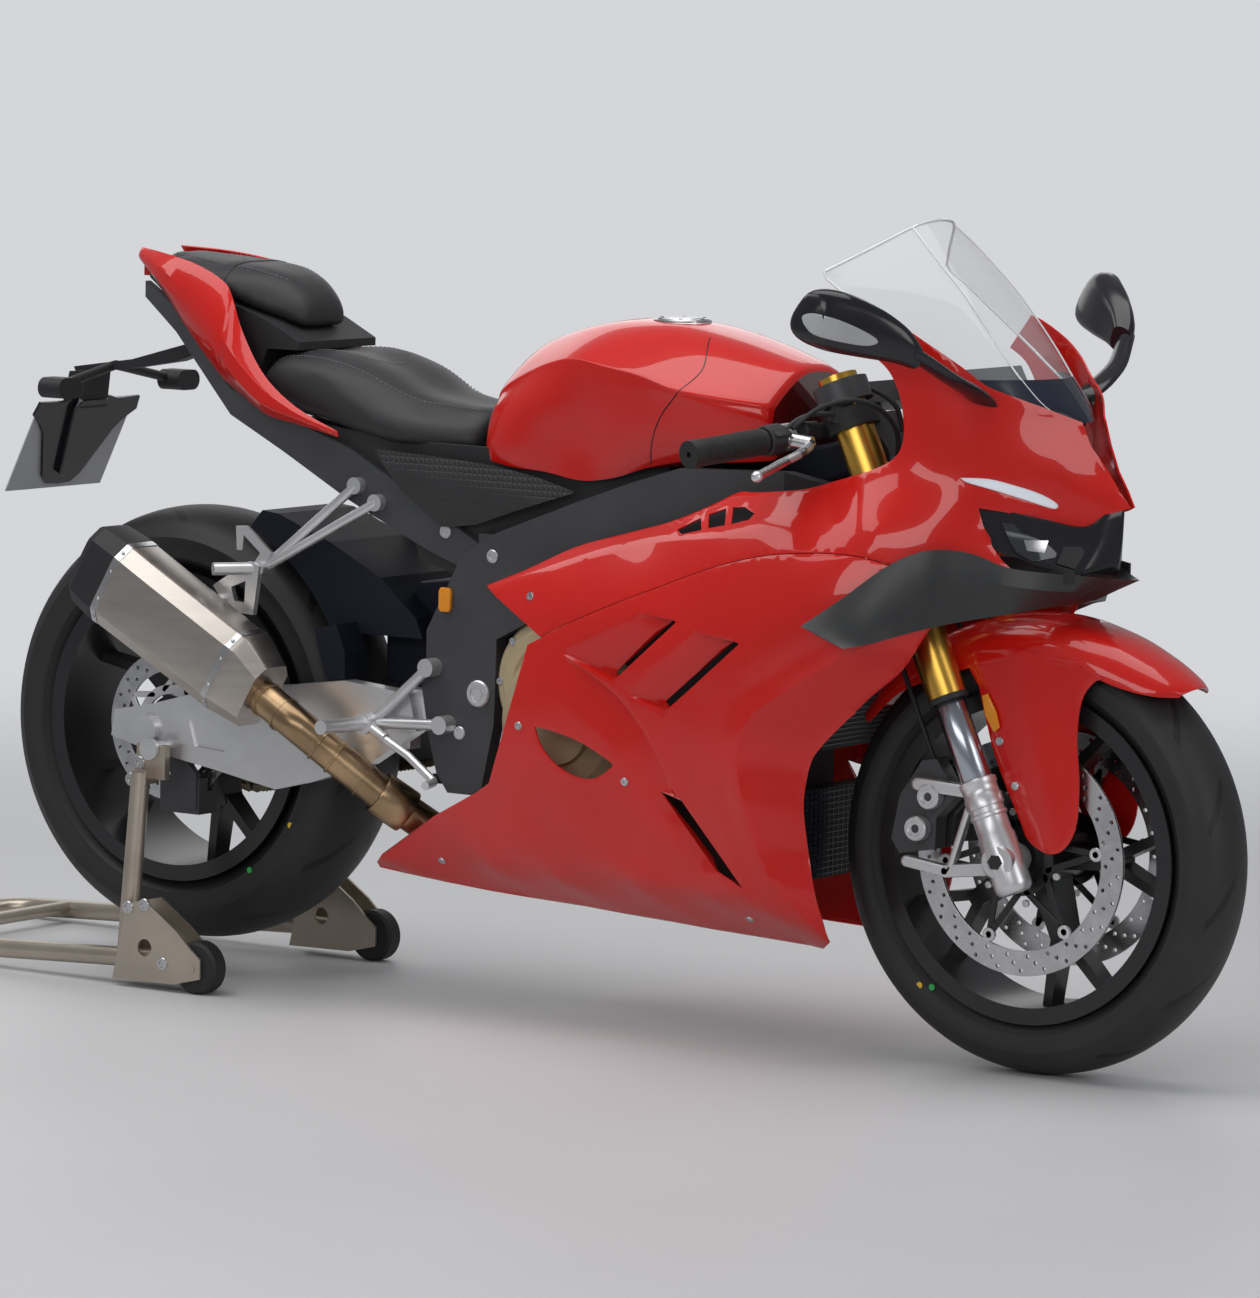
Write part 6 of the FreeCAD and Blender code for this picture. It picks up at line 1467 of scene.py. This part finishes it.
middle_of_strip = np.mean(np.array(STRIP), axis=0)
STRIP_AREA = [tuple(middle_of_strip + (np.array(p) - middle_of_strip) * 1.04) for p in STRIP]
strip_light = cut_panel("light_strips", STRIP_AREA, lambda x, z: nose_depth(x, z) - 3.4, light_strip, cell=6,
                        wall=2)
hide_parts("headlamps")
print("lamp house:", len(lamp_house.data.polygons), "faces")

# %% [markdown]
# The winglets and the chin under the nose are one curved blade, drawn from its tip on one side
# to the middle. Its upper face bulges a little between two sharp edges.

# %% Winglets
WING = (
    (0, 1566, 678, 1476, 640), (-60, 1508, 684, 1462, 638), (-130, 1446, 694, 1438, 632),
    (-167, 1404, 714, 1400, 624), (-205, 1364, 718, 1364, 614), (-228, 1316, 697, 1334, 604),
    (-262, 1264, 651, 1310, 594), (-294, 1220, 613, 1288, 588),
)
wing_rings = []
for i, (y, top_x, top_z, low_x, low_z) in enumerate(WING):
    before, after = WING[max(i - 1, 0)], WING[min(i + 1, len(WING) - 1)]
    top, low = Vector((top_x, y, top_z)), Vector((low_x, y, low_z))
    run = Vector((after[1] + after[3] - before[1] - before[3], 2 * (after[0] - before[0]),
                  after[2] + after[4] - before[2] - before[4]))
    out = (top - low).cross(run).normalized()
    if out.y > 0 or (i == 0 and out.z < 0):
        out = -out
    share = min(1, (len(WING) - 1 - i) / 2 + 0.3)
    crease, belly = top.lerp(low, 0.36), top.lerp(low, 0.75)
    ring = [top, crease + out * 8 * share, belly + out * 2 * share, low, belly - out * 3 * share,
            crease - out * share]
    wing_rings.append([tuple(p) for p in ring])
wing_mesh = rib_skin("winglets", wing_rings, 6, 1, ring=True, caps=True)
fresh_normals(wing_mesh, 16)
winglets = skin_piece("winglets", wing_mesh, wing_satin)
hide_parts("winglets")
print("winglets:", len(winglets.data.polygons), "faces")

# %% [markdown]
# Clear plastic shows itself by its edges and folds, which gather light. The screen gets a
# pale, nearly solid tube along its rim and its two folds, a painted highlight of those edges,
# and a dark band where it is screwed on.

# %% Screen trim
# the pale tubes are a painted highlight of the rim and folds; the top one sinks a little, so that it stays
# under the screen's edge
side_line = [(line[-1][0], -line[-1][1], line[-1][2]) for line in SCREEN_RIBS]
top_line = [(x, -y, z - 1.2) for x, y, z in SCREEN_RIBS[-1]]
fold_line = [(line[2][0] + 0.6, -line[2][1], line[2][2]) for line in SCREEN_RIBS]
highlight_tubes = [tube_mesh(side_line, 1.9, 8, 4), tube_mesh(top_line, 1.9, 8, 4), tube_mesh(fold_line, 1.4, 8, 4)]
made_of("screen_beads", highlight_tubes, edge_glow, "root", both=True)
FOOT_RIBS = [[(x + 1.6, -y * 1.012, z) for x, y, z in line] for line in SCREEN_RIBS[:3]]
foot_skin = rib_skin("screen_foot", FOOT_RIBS, 6, 4)
fresh_normals(foot_skin, 50)
skin_piece("screen_foot", foot_skin, navy_band)
print("screen trim ready")

# %% [markdown]
# Tyres are turned too. The carcass has a bead step, a soft sidewall with two moulded rings, and
# a round crown with slanted grooves that stop short of the middle.

# %% Tyres
def tyre_profile(rim, radius, half, inner):
    """(radius, side) pairs round one tyre's section, closed."""
    deep, steep = radius - rim, math.radians(80)
    right_half = [(inner, half * 0.62), (rim + 1, half * 0.66)]
    for share, wide in ((0.1, 0.78), (0.22, 0.9), (0.24, 0.93), (0.27, 0.93), (0.36, 0.975), (0.5, 1),
                        (0.56, 0.995), (0.58, 0.975)):
        right_half.append((rim + deep * share, half * wide))
    for k in range(1, 9):
        turn = math.radians(80 * (1 - k / 8))
        right_half.append((radius - deep * 0.42 * (1 - math.cos(turn)) / (1 - math.cos(steep)),
                           half * 0.965 * math.sin(turn) / math.sin(steep)))
    return right_half + [(r, -s) for r, s in right_half[-2::-1]]


# grooves: how deep, what share of a step they take, how far they sweep, and from where to where across
GROOVE_DEPTH, GROOVE_SHARE, GROOVE_SWEEP, GROOVE_FROM, GROOVE_TO = 0.0015, 0.13, 780, 0.16, 0.78


def tread_finish(name, centre, half, count):
    """Tyre rubber with slanted grooves cut by a bump and darkened inside with painted shade, measured round
    the wheel's own middle.
    """
    finish = surface_finish(name, (0.017, 0.017, 0.018), 0.55, drift=0.18, grain=0.4, grain_scale=700)
    tree = finish.node_tree
    place = tree.nodes.new("ShaderNodeTexCoord")
    moved = tuned(tree.nodes.new("ShaderNodeMapping"), Location=-spot(*centre))
    parts = tree.nodes.new("ShaderNodeSeparateXYZ")
    wire(tree, place, "Object", moved, "Vector")
    wire(tree, moved, "Vector", parts, "Vector")

    def math_node(operation, first, second=None):
        node = tree.nodes.new("ShaderNodeMath")
        node.operation = operation
        for number, value in ((0, first), (1, second)):
            if isinstance(value, (int, float)):
                node.inputs[number].default_value = value
            elif value:
                tree.links.new(value, node.inputs[number])
        return node.outputs["Value"]

    turn = math_node("ARCTAN2", parts.outputs["Z"], parts.outputs["X"])
    side = math_node("ABSOLUTE", parts.outputs["Y"])
    swept = math_node("MULTIPLY", side, GROOVE_SWEEP / half)
    phase = math_node("FRACT", math_node("ADD", math_node("MULTIPLY", turn, count / (2 * math.pi)), swept))
    slot = math_node("LESS_THAN", phase, GROOVE_SHARE)
    outside = math_node("GREATER_THAN", side, half * GROOVE_FROM / 1000)
    within = math_node("LESS_THAN", side, half * GROOVE_TO / 1000)
    mask = math_node("MULTIPLY", math_node("MULTIPLY", slot, outside), within)
    groove = tuned(tree.nodes.new("ShaderNodeBump"), Strength=1.0, Distance=-GROOVE_DEPTH)
    tree.links.new(mask, groove.inputs["Height"])
    fine = next(n for n in tree.nodes if n.bl_idname == "ShaderNodeBump" and n != groove)
    wire(tree, groove, "Normal", fine, "Normal")
    # inside the grooves the colour is darkened almost to black: painted shade, as the grooves are only a
    # bump
    deep = tree.nodes.new("ShaderNodeMix")
    deep.data_type = "RGBA"
    tuned(deep, B=(0.003, 0.003, 0.003, 1))
    tree.links.new(mask, deep.inputs["Factor"])
    wire(tree, tree.nodes["Color Ramp"], "Color", deep, "A")
    wire(tree, deep, "Result", tree.nodes["Principled BSDF"], "Base Color")
    return finish


TYRES = (
    ("front", FRONT_AXLE, 222, 299.6, 60.6, 218, "front_wheel", 14),
    ("rear", REAR_AXLE, 222, 317.6, 92, 218, "rear_wheel", 14),
)
for name, centre, rim, radius, half, inner_radius, body, count in TYRES:
    mesh = turned(tyre_profile(rim, radius, half, inner_radius), centre, TO_LEFT, 160, closed=True)
    finish = tread_finish(name + "_tread", centre, half, count)
    tyre = made_of(name + "_tyre_skin", [mesh], finish, body, [name + "_tyre"], sharp=28)
    print(name, "tyre:", len(tyre.data.polygons), "faces")

# %% [markdown]
# Screws that hold solid parts are seated on them by looking along a line and marking where it
# meets the surface, so each head lies flat on its casting.

# %% Seats for screws and trim
CLEAR_OUT, CLEAR_ABOVE = 600, 1300


def seen_on(piece, start, along):
    """The first place of a piece along a line in bike millimetres, with its facing, or None."""
    found, place, facing, _ = piece.ray_cast(spot(*start), Vector(along).normalized())
    if not found:
        return None
    return Vector((place.x * 1000 + AXLE_TO_MIDDLE, place.y * 1000, place.z * 1000)), facing, TO_FRONT


def from_right(piece, places):
    """Places (x, z) marked on a piece's right-hand side."""
    marks = [seen_on(piece, (x, -CLEAR_OUT, z), TO_LEFT) for x, z in places]
    return [mark for mark in marks if mark and mark[0].y < 0]


BOLT_HEAD = [(0, -1), (9.5, -1), (9.5, 1.4), (8.5, 2.4), (5.2, 2.4), (5.0, 0.6), (0, 0.6)]
frame_marks = from_right(NODES["main_frame"], [(546, 664), (612, 656), (560, 404)])
frame_marks += from_right(NODES["subframe"], [(508, 682), (350, 800)])
frame_bolts = copies("frame_bolts", head(BOLT_HEAD, 24), frame_marks, cast_silver, "root", both=True)
(nut_at, *_), (reflector_at, *_) = from_right(NODES["main_frame"], [(592, 462), (534, 590)])
PIVOT_RING = [(0, -2), (19, -2), (19, 3), (17, 5), (12.5, 5), (12, 2), (8, 2), (7.5, 4), (0, 4)]
made_of("pivot_nut", [turned(PIVOT_RING, nut_at, TO_RIGHT, 36)], cast_silver, "root", both=True)
EIGHT_SIDES = ((-1, -0.7), (-0.7, -1), (0.7, -1), (1, -0.7), (1, 0.7), (0.7, 1), (-0.7, 1), (-1, 0.7))
reflector_area = [(reflector_at.x + u * 10, reflector_at.z + v * 17) for u, v in EIGHT_SIDES]
made_of("frame_reflector", [flat_plate([reflector_area], reflector_at.y - 3, 7, 1.5)], amber_lens, "root",
        both=True)
AMBER_MARK = [(1377, 516), (1385, 519), (1399, 495), (1405, 475), (1397, 468), (1383, 489)]
made_of("fender_reflector", [flat_plate([AMBER_MARK], -84.5, 5, 1.2)], amber_lens, "steering", both=True)
print("frame screws:", len(frame_bolts.data.polygons), "faces")

# %% [markdown]
# The clutch cover fills the gap between frame and fairing: a shallow dish with a raised middle
# and a rim held by screws.

# %% Clutch cover
COVER = (716, -96, 482)
DISH = [(0, 0), (96, 0), (96, 44), (92, 48), (84, 50), (78, 56), (60, 60), (56, 57), (40, 57), (36, 61),
        (0, 61)]
made_of("clutch_cover", [turned(DISH, COVER, TO_RIGHT, 64)], bronze_cover, "root", sharp=30)
ears = []
for k in range(9):
    x, z = polar(COVER, 89, math.radians(20 + 40 * k))
    ears.append((Vector((x, COVER[1] - 49, z)), TO_RIGHT, TO_FRONT))
copies("cover_screws", head(SCREW_HEAD, 16), ears, steel, "root")
APRON = [(272, 822), (300, 770), (360, 738), (420, 720), (440, 690), (456, 640), (530, 618), (600, 640),
         (700, 726), (880, 786), (880, 800), (640, 796), (600, 804), (430, 806)]
SIDE_COVER = [(388, 792), (440, 736), (508, 688), (566, 696), (650, 724), (738, 752), (664, 770),
              (590, 781), (490, 788)]
# the ridge: its height at an x, its slope, its depth, and how fast the cover falls away from it
RIDGE_X, RIDGE_Z, RIDGE_SLOPE, RIDGE_DEPTH, RIDGE_FALL = 380, 764, 0.125, 131, 0.14


def cover_depth(x, z):
    """The side cover's depth: a sharp ridge along its middle, sloping off above and below."""
    middle = RIDGE_Z - (np.asarray(x) - RIDGE_X) * RIDGE_SLOPE
    return RIDGE_DEPTH - np.abs(np.asarray(z) - middle) * RIDGE_FALL


cover_outline = stepped(SIDE_COVER + SIDE_COVER[:1], 12)[:-1]
side_covers = cut_panel("side_covers", cover_outline, cover_depth, hex_moulded,
                        folds=[stepped([(410, 760), (728, 722)], 10)], cell=14)
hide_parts("side_panels")
BARREL = [(606, 380), (606, 560), (640, 640), (760, 640), (760, 380)]
made_of("inner_plates", [flat_plate([APRON], -104, 6, 1), flat_plate([BARREL], -92, 6, 1)], black_moulded,
        "root", both=True)
AIRBOX = [(900, 760), (900, 800), (960, 812), (1100, 836), (1150, 850), (1150, 800), (1100, 780)]
SHOCK_COVER = [(352, 452), (352, 530), (410, 600), (520, 612), (600, 560), (600, 440), (420, 440)]
made_of("middle_covers", [flat_plate([AIRBOX], 0, 120, 6), flat_plate([SHOCK_COVER], 0, 90, 8)], hood_black,
        "root")
print("clutch cover, apron and air box ready")

# %% [markdown]
# Radiator fins are the plainest case of a repeated part: one thin slat, copied upwards. The
# oil cooler below has upright ones as well, which makes its grid.

# %% Radiator fins
def slat(half_long, half_deep, half_thick):
    """A thin slat across the bike."""
    corners = [(x, y, z) for x in (-half_deep, half_deep) for y in (-half_long, half_long)
               for z in (-half_thick, half_thick)]
    return mesh_of("slat", [Vector(c) / 1000 for c in corners],
                   [(0, 1, 3, 2), (4, 6, 7, 5), (0, 4, 5, 1), (2, 3, 7, 6), (0, 2, 6, 4), (1, 5, 7, 3)])


CORE_LEAN, CORE, COOLER = math.radians(12), Vector((1096, 0, 520)), Vector((1082, 0, 300))
core_up = Vector((math.sin(CORE_LEAN), 0, math.cos(CORE_LEAN)))
core_ahead = Vector((math.cos(CORE_LEAN), 0, -math.sin(CORE_LEAN)))
fins = [(CORE + core_up * step * 7, core_up, core_ahead) for step in range(-14, 15)]
cooler_fins = [(COOLER + Vector((0, 0, step * 8)), UPWARDS, TO_FRONT) for step in range(-7, 8)]
uprights = [(COOLER + Vector((0, step * 12, 0)), TO_LEFT, TO_FRONT) for step in range(-8, 9)]
copies("radiator_fins", slat(166.5, 19.4, 0.8), fins, navy_band, "root")
copies("cooler_fins", slat(106, 16.2, 0.9), cooler_fins, navy_band, "root")
copies("cooler_uprights", slat(61, 15.8, 0.9), uprights, navy_band, "root")
print("fins:", len(fins) + len(cooler_fins) + len(uprights))

# %% [markdown]
# The bars carry ribbed grips, switch boxes, and levers that end in a ball.

# %% Bars and levers
BAR_END, BAR_X, BAR_Z, BAR_SWEEP, BAR_RISE = 350, 1078, 836, 0.264, 0.105


def on_bar(y, ahead=0.0, rise=0.0):
    """A place on the right bar, by its distance from the middle."""
    along = BAR_END + y
    return BAR_X + along * BAR_SWEEP + ahead, y, BAR_Z + along * BAR_RISE + rise


bar_way = Vector(on_bar(-350)) - Vector(on_bar(-150))
GRIP, RIB_PITCH = [(17.2, 0), (18.6, 1.5)], 4.4
GRIP_RIB = ((18.4, 3), (18.4, 5.6), (17.4, 6.2), (17.4, 6.9))
for k in range(26):
    GRIP += [(radius, at + k * RIB_PITCH) for radius, at in GRIP_RIB]
GRIP += [(18.6, 119), (17.2, 120.5)]
grip_skin = made_of("grips", [turned(GRIP, on_bar(-231), bar_way, 32)], rubber, "steering", both=True)
SWITCH_RING = [(0, 0), (19, 0), (21, 2), (21, 26), (19, 28), (0, 28)]
switch_box = [on_bar(-200, 10, 19), on_bar(-200, 24, 8), on_bar(-226, 24, 8), on_bar(-226, 10, 19)]
switch_parts = [turned(SWITCH_RING, on_bar(-198), bar_way, 28), facet_plate(switch_box, 16, 2)]
# two places by (distance along the bar, ahead, above), and the rod's radius
for start, end, radius in (((-140, 6, 4), (-176, 14, 8), 12), ((-128, 30, 12), (-128, 34, 40), 15),
                           ((-128, 34, 39), (-128, 35, 45), 17)):
    switch_parts.append(rod_mesh(on_bar(*start), on_bar(*end), radius, 2))
CABLES = (
    ((1134, -190, 866), (1160, -166, 893), (1196, -140, 905), (1222, -112, 893), (1232, -84, 862),
     (1226, -70, 824)),
    ((1126, -206, 858), (1140, -176, 880), (1170, -140, 884), (1196, -100, 862), (1206, -70, 836),
     (1204, -60, 800)),
    ((1132, -128, 896), (1150, -110, 915), (1186, -84, 918), (1216, -64, 896), (1224, -56, 860)),
)
switch_parts += [tube_mesh(cable, 3.6, 10, 5) for cable in CABLES]
switches = made_of("switches", switch_parts, black_moulded, "steering", both=True)
LEVER = ((1128, -182, 850, 8), (1146, -184, 848, 8), (1162, -192, 845, 7), (1172, -215, 841, 6.5),
         (1176, -250, 833, 6), (1175, -290, 824, 5.6), (1176, -325, 815, 5.2), (1177, -336, 812.6, 5.4))
LEVER_BALL = [(0, -8), (4.5, -6.8), (7, -3.8), (8, 0), (7, 3.8), (4.5, 6.8), (0, 8)]
ball = turned(LEVER_BALL, (1177, -340, 812), (0, -1, -0.2), 20)
made_of("levers", [tube_mesh(LEVER, 6, 14, 4), ball], cast_silver, "steering", both=True)
print("bars:", len(grip_skin.data.polygons) + len(switches.data.polygons), "faces")

# %% [markdown]
# Small trim: the filler's ring with its screws, the grey lens in each mirror, weld rings on the
# pipe, paint dots on the tyres, bolts on the stand, and the seam stitching of the seats.

# %% Filler ring, lenses and pipe rings
FILLER = (824, 0, 978.4)
CAP_RING = [(28, 12), (28, 14), (38, 14.2), (41, 12), (41, 9), (28, 9)]
CAP_SCREW = [(0, -1), (2.6, -1), (2.6, 0.5), (1.4, 0.5), (1.2, 0), (0, 0)]
made_of("cap_ring", [turned(CAP_RING, FILLER, UPWARDS, 56, closed=True)], steel, "root")
cap_marks = []
for k in range(6):
    x, y = polar(FILLER[:2], 34, k * math.pi / 3)
    cap_marks.append((Vector((x, y, FILLER[2] + 14.4)), UPWARDS, TO_FRONT))
copies("cap_screws", head(CAP_SCREW, 12), cap_marks, dark_lens, "root")


def on_mirror(x, z):
    """How far out the mirror housing's skin is, on the right-hand side."""
    marks = [seen_on(mirror_set, (a, -CLEAR_OUT, b), TO_LEFT) for a, b in zip(np.ravel(x), np.ravel(z))]
    depths = [-mark[0].y if mark and mark[0].y < 0 else 300.0 for mark in marks]
    return np.array(depths).reshape(np.shape(x)) + 0.7


MIRROR_LENS = smooth_line([(1268, 1028), (1284, 1034), (1310, 1029), (1338, 1012), (1350, 998), (1336, 992),
                           (1308, 998), (1280, 1010)], 4, closed=True)
cut_panel("mirror_lens", MIRROR_LENS, on_mirror, grey_lens, cell=7, wall=1.2, edge=0.3)
PIPE_RINGS = (((270, -214, 433.4), can_back), ((300, -213, 415), can_back),
              ((352, -197, 376), (-0.80, -0.42, 0.66)), ((372, -185, 358), (-0.80, -0.45, 0.68)),
              ((405, -164, 327), (-0.70, -0.45, 0.60)))
rings = [turned([(25.2, -2), (27, -1.4), (27, 1.4), (25.2, 2)], at, way, 40) for at, way in PIPE_RINGS]
SLEEVE = [(25.4, -26), (31, -26), (32, -24), (32, 24), (31, 26), (25.4, 26)]
rings.append(turned(SLEEVE, (440, -139, 295), (-0.62, -0.62, 0.60), 40))
made_of("pipe_rings", rings, pipe_metal, "root")
# a thin black tube along the seam of the tank's front cover: painted shade of the gap between the panels
TANK_SEAM = ((912, 972), (928, 955), (941, 930), (930, 905), (900, 874), (880, 842), (866, 806), (862, 780))
seam_places = [mark[0] for mark in from_right(tank, smooth_line(TANK_SEAM, 4))]
made_of("tank_seam", [tube_mesh([tuple(p) for p in seam_places], 0.9, 6, 1)], black_gloss, "root", both=True)
print("trim ready")


# %% Dots, stand bolts and stitches
# a flat spot of paint on a tyre's side
DOT = [(0, 0), (4.5, 0), (4.5, 0.8), (0, 0.8)]
yellow_paint = surface_finish("yellow_paint", (0.75, 0.50, 0.04), 0.5, drift=0.1)
green_paint = surface_finish("green_paint", (0.03, 0.40, 0.08), 0.5, drift=0.1)
DOTS = (
    ("rear_dot_yellow", yellow_paint, "rear_wheel", (219, -87.8, 237)),
    ("rear_dot_green", green_paint, "rear_wheel", (145, -86.5, 165)),
    ("front_dot_yellow", yellow_paint, "front_wheel", (1272, -58.2, 110)),
    ("front_dot_green", green_paint, "front_wheel", (1291, -57, 109)),
)
for name, finish, body, at in DOTS:
    made_of(name, [turned(DOT, at, TO_RIGHT, 16)], finish, body)
stand_marks = from_right(NODES["paddock_stand"], [(36, 116), (66, 122), (8, 318), (8, 296), (100, 40)])
copies("stand_bolts", head(BOLT_HEAD, 18), stand_marks, steel, "root", both=True)


def seam(piece, line, spacing=7.5):
    """Stitches (place, facing, heading) along (x, y) places, dropped on a cushion from above."""
    soft = smooth_line(line, 8)
    marks, gone = [], 0.0
    for (x0, y0), (x1, y1) in zip(soft, soft[1:]):
        step = math.hypot(x1 - x0, y1 - y0)
        while gone <= step and step:
            x, y = x0 + (x1 - x0) * gone / step, y0 + (y1 - y0) * gone / step
            mark = seen_on(piece, (x, y, CLEAR_ABOVE), (0, 0, -1))
            if mark:
                marks.append((mark[0], mark[1], ((x1 - x0) / step, (y1 - y0) / step, 0)))
            gone += spacing
        gone -= step
    return marks


def strap(name, piece, x_from, x_to, lift, finish):
    """A band round a cushion: its own faces between two places along the bike, lifted and walled."""
    bm = bmesh.new()
    bm.from_mesh(piece.data)
    low, high = spot(x_from, 0, 0).x, spot(x_to, 0, 0).x
    outside = [f for f in bm.faces if not low < f.calc_center_median().x < high or f.normal.z < -0.4]
    bmesh.ops.delete(bm, geom=outside, context="FACES")
    for vertex in bm.verts:
        vertex.co += vertex.normal * lift / 1000
    mesh = from_bmesh(name, bm)
    mesh.shade_smooth()
    return skin_piece(name, mesh, finish, both=False, wall=1.4, edge=0.4)


strap("pillion_strap", pillion_seat, 72, 88, 0.9, black_moulded)
stitch = template(rod_mesh((-2.4, 0, 0.2), (2.4, 0, 0.2), 0.7, 0.3, 6))
stitches = seam(rider_seat, [(180, -84), (230, -92), (300, -98), (370, -92), (440, -76), (520, -56)])
stitches += seam(rider_seat, [(200, -30), (240, -52), (300, -60), (330, -40), (338, 0)])
stitches += seam(pillion_seat, [(-40, -36), (10, -50), (70, -60), (130, -54), (170, -38)])
copies("seam_stitches", stitch, stitches, thread, "root", both=True)
print("stitches:", len(stitches) * 2)

# %% [markdown]
# The chain is a hundred-odd pairs of plates on rollers. Its line is two straight runs and two
# arcs round the sprockets; every link is set down on it, every other one turned inside.

# %% Chain
CHAIN_Y = 110
SPROCKETS = ((REAR_AXLE[0], REAR_AXLE[2], 109.6), (662, 430, 40.6))


def chain_line(pitch):
    """Places and headings at equal steps round the chain."""
    (x0, z0, big), (x1, z1, small) = SPROCKETS
    apart = math.hypot(x1 - x0, z1 - z0)
    tilt, lean = math.atan2(z1 - z0, x1 - x0), math.acos((big - small) / apart)
    points = [polar((x0, z0), big, tilt + lean + (2 * math.pi - 2 * lean) * k / 60) for k in range(61)]
    points += [polar((x1, z1), small, tilt - lean + 2 * lean * k / 40) for k in range(41)]
    points.append(points[0])
    points = np.array(points)
    gone = np.concatenate([[0], np.cumsum(np.hypot(*np.diff(points, axis=0).T))])
    count = int(gone[-1] / pitch / 2) * 2
    steps = np.linspace(0, gone[-1], count + 1)
    return [(np.interp(s, gone, points[:, 0]), np.interp(s, gone, points[:, 1])) for s in steps]


PITCH_OF_LINKS, LINK_HALF, LINK_ROUND, LINK_WAIST = 15.875, 7.9, 6.6, 4.4
LINK = (circle((-LINK_HALF, 0), LINK_ROUND, 7, math.pi * 0.65)[:5] + [(0, -LINK_WAIST)]
        + circle((LINK_HALF, 0), LINK_ROUND, 7, -math.pi * 0.35)[:5] + [(0, LINK_WAIST)])
links = chain_line(PITCH_OF_LINKS)
for name, first, outs in (("outer_links", 0, (-8, 6.6)), ("inner_links", 1, (-5.2, 3.8))):
    link_mesh = joined(name, [flat_plate([LINK], out, 1.4, 0.2) for out in outs])
    marks = []
    for (x0, z0), (x1, z1) in list(zip(links, links[1:]))[first::2]:
        marks.append((Vector(((x0 + x1) / 2, CHAIN_Y, (z0 + z1) / 2)), (z0 - z1, 0, x1 - x0),
                      (x1 - x0, 0, z1 - z0)))
    copies(name, template(link_mesh), marks, chain_steel, "root", ["drive_chain"])
    print(name + ":", len(marks))
# pins stand only on the straight runs, clear of the turning sprocket's teeth
marks = [(Vector((x, CHAIN_Y, z)), UPWARDS, TO_FRONT) for x, z in links
         if all(math.hypot(x - cx, z - cz) > radius + 10 for cx, cz, radius in SPROCKETS)]
pin = template(rod_mesh((0, -8.4, 0), (0, 8.4, 0), 3.4, 0.4, 10))
copies("chain_pins", pin, marks, chain_steel, "root", ["drive_chain"])

# %% [markdown]
# The number plate hangs on a moulded holder with two ears. It leans with the plate, so its
# outline is drawn flat, as width and height on the plate, and then laid on the plate's front.

# %% Plate holder
PLATE_FOOT, PLATE_LEAN = (-300.5, 690), math.radians(26)
HOLDER_HALF = ((0, 156), (44, 156), (66, 150), (116, 152), (120, 130), (100, 116), (82, 98), (44, 24),
               (28, 10), (0, 8))
RIB_HALF = ((0, 156), (30, 156), (40, 140), (14, 30), (0, 24))


def on_plate(half, low, high):
    """A mirrored outline of (half width, height), standing on the plate from a low to a high face."""
    outline = list(half) + [(-y, h) for y, h in half[-2:0:-1]]
    slope, rise = math.sin(PLATE_LEAN), math.cos(PLATE_LEAN)
    return slab(*([(PLATE_FOOT[0] + h * slope + out * rise, y, PLATE_FOOT[1] + h * rise - out * slope)
                   for y, h in outline] for out in (low, high)), 0.8, 1)


plate_holder = made_of("plate_holder", [on_plate(HOLDER_HALF, 2.2, 7), on_plate(RIB_HALF, 6, 16)],
                       black_gloss, "root")
print("plate holder:", len(plate_holder.data.polygons), "faces")
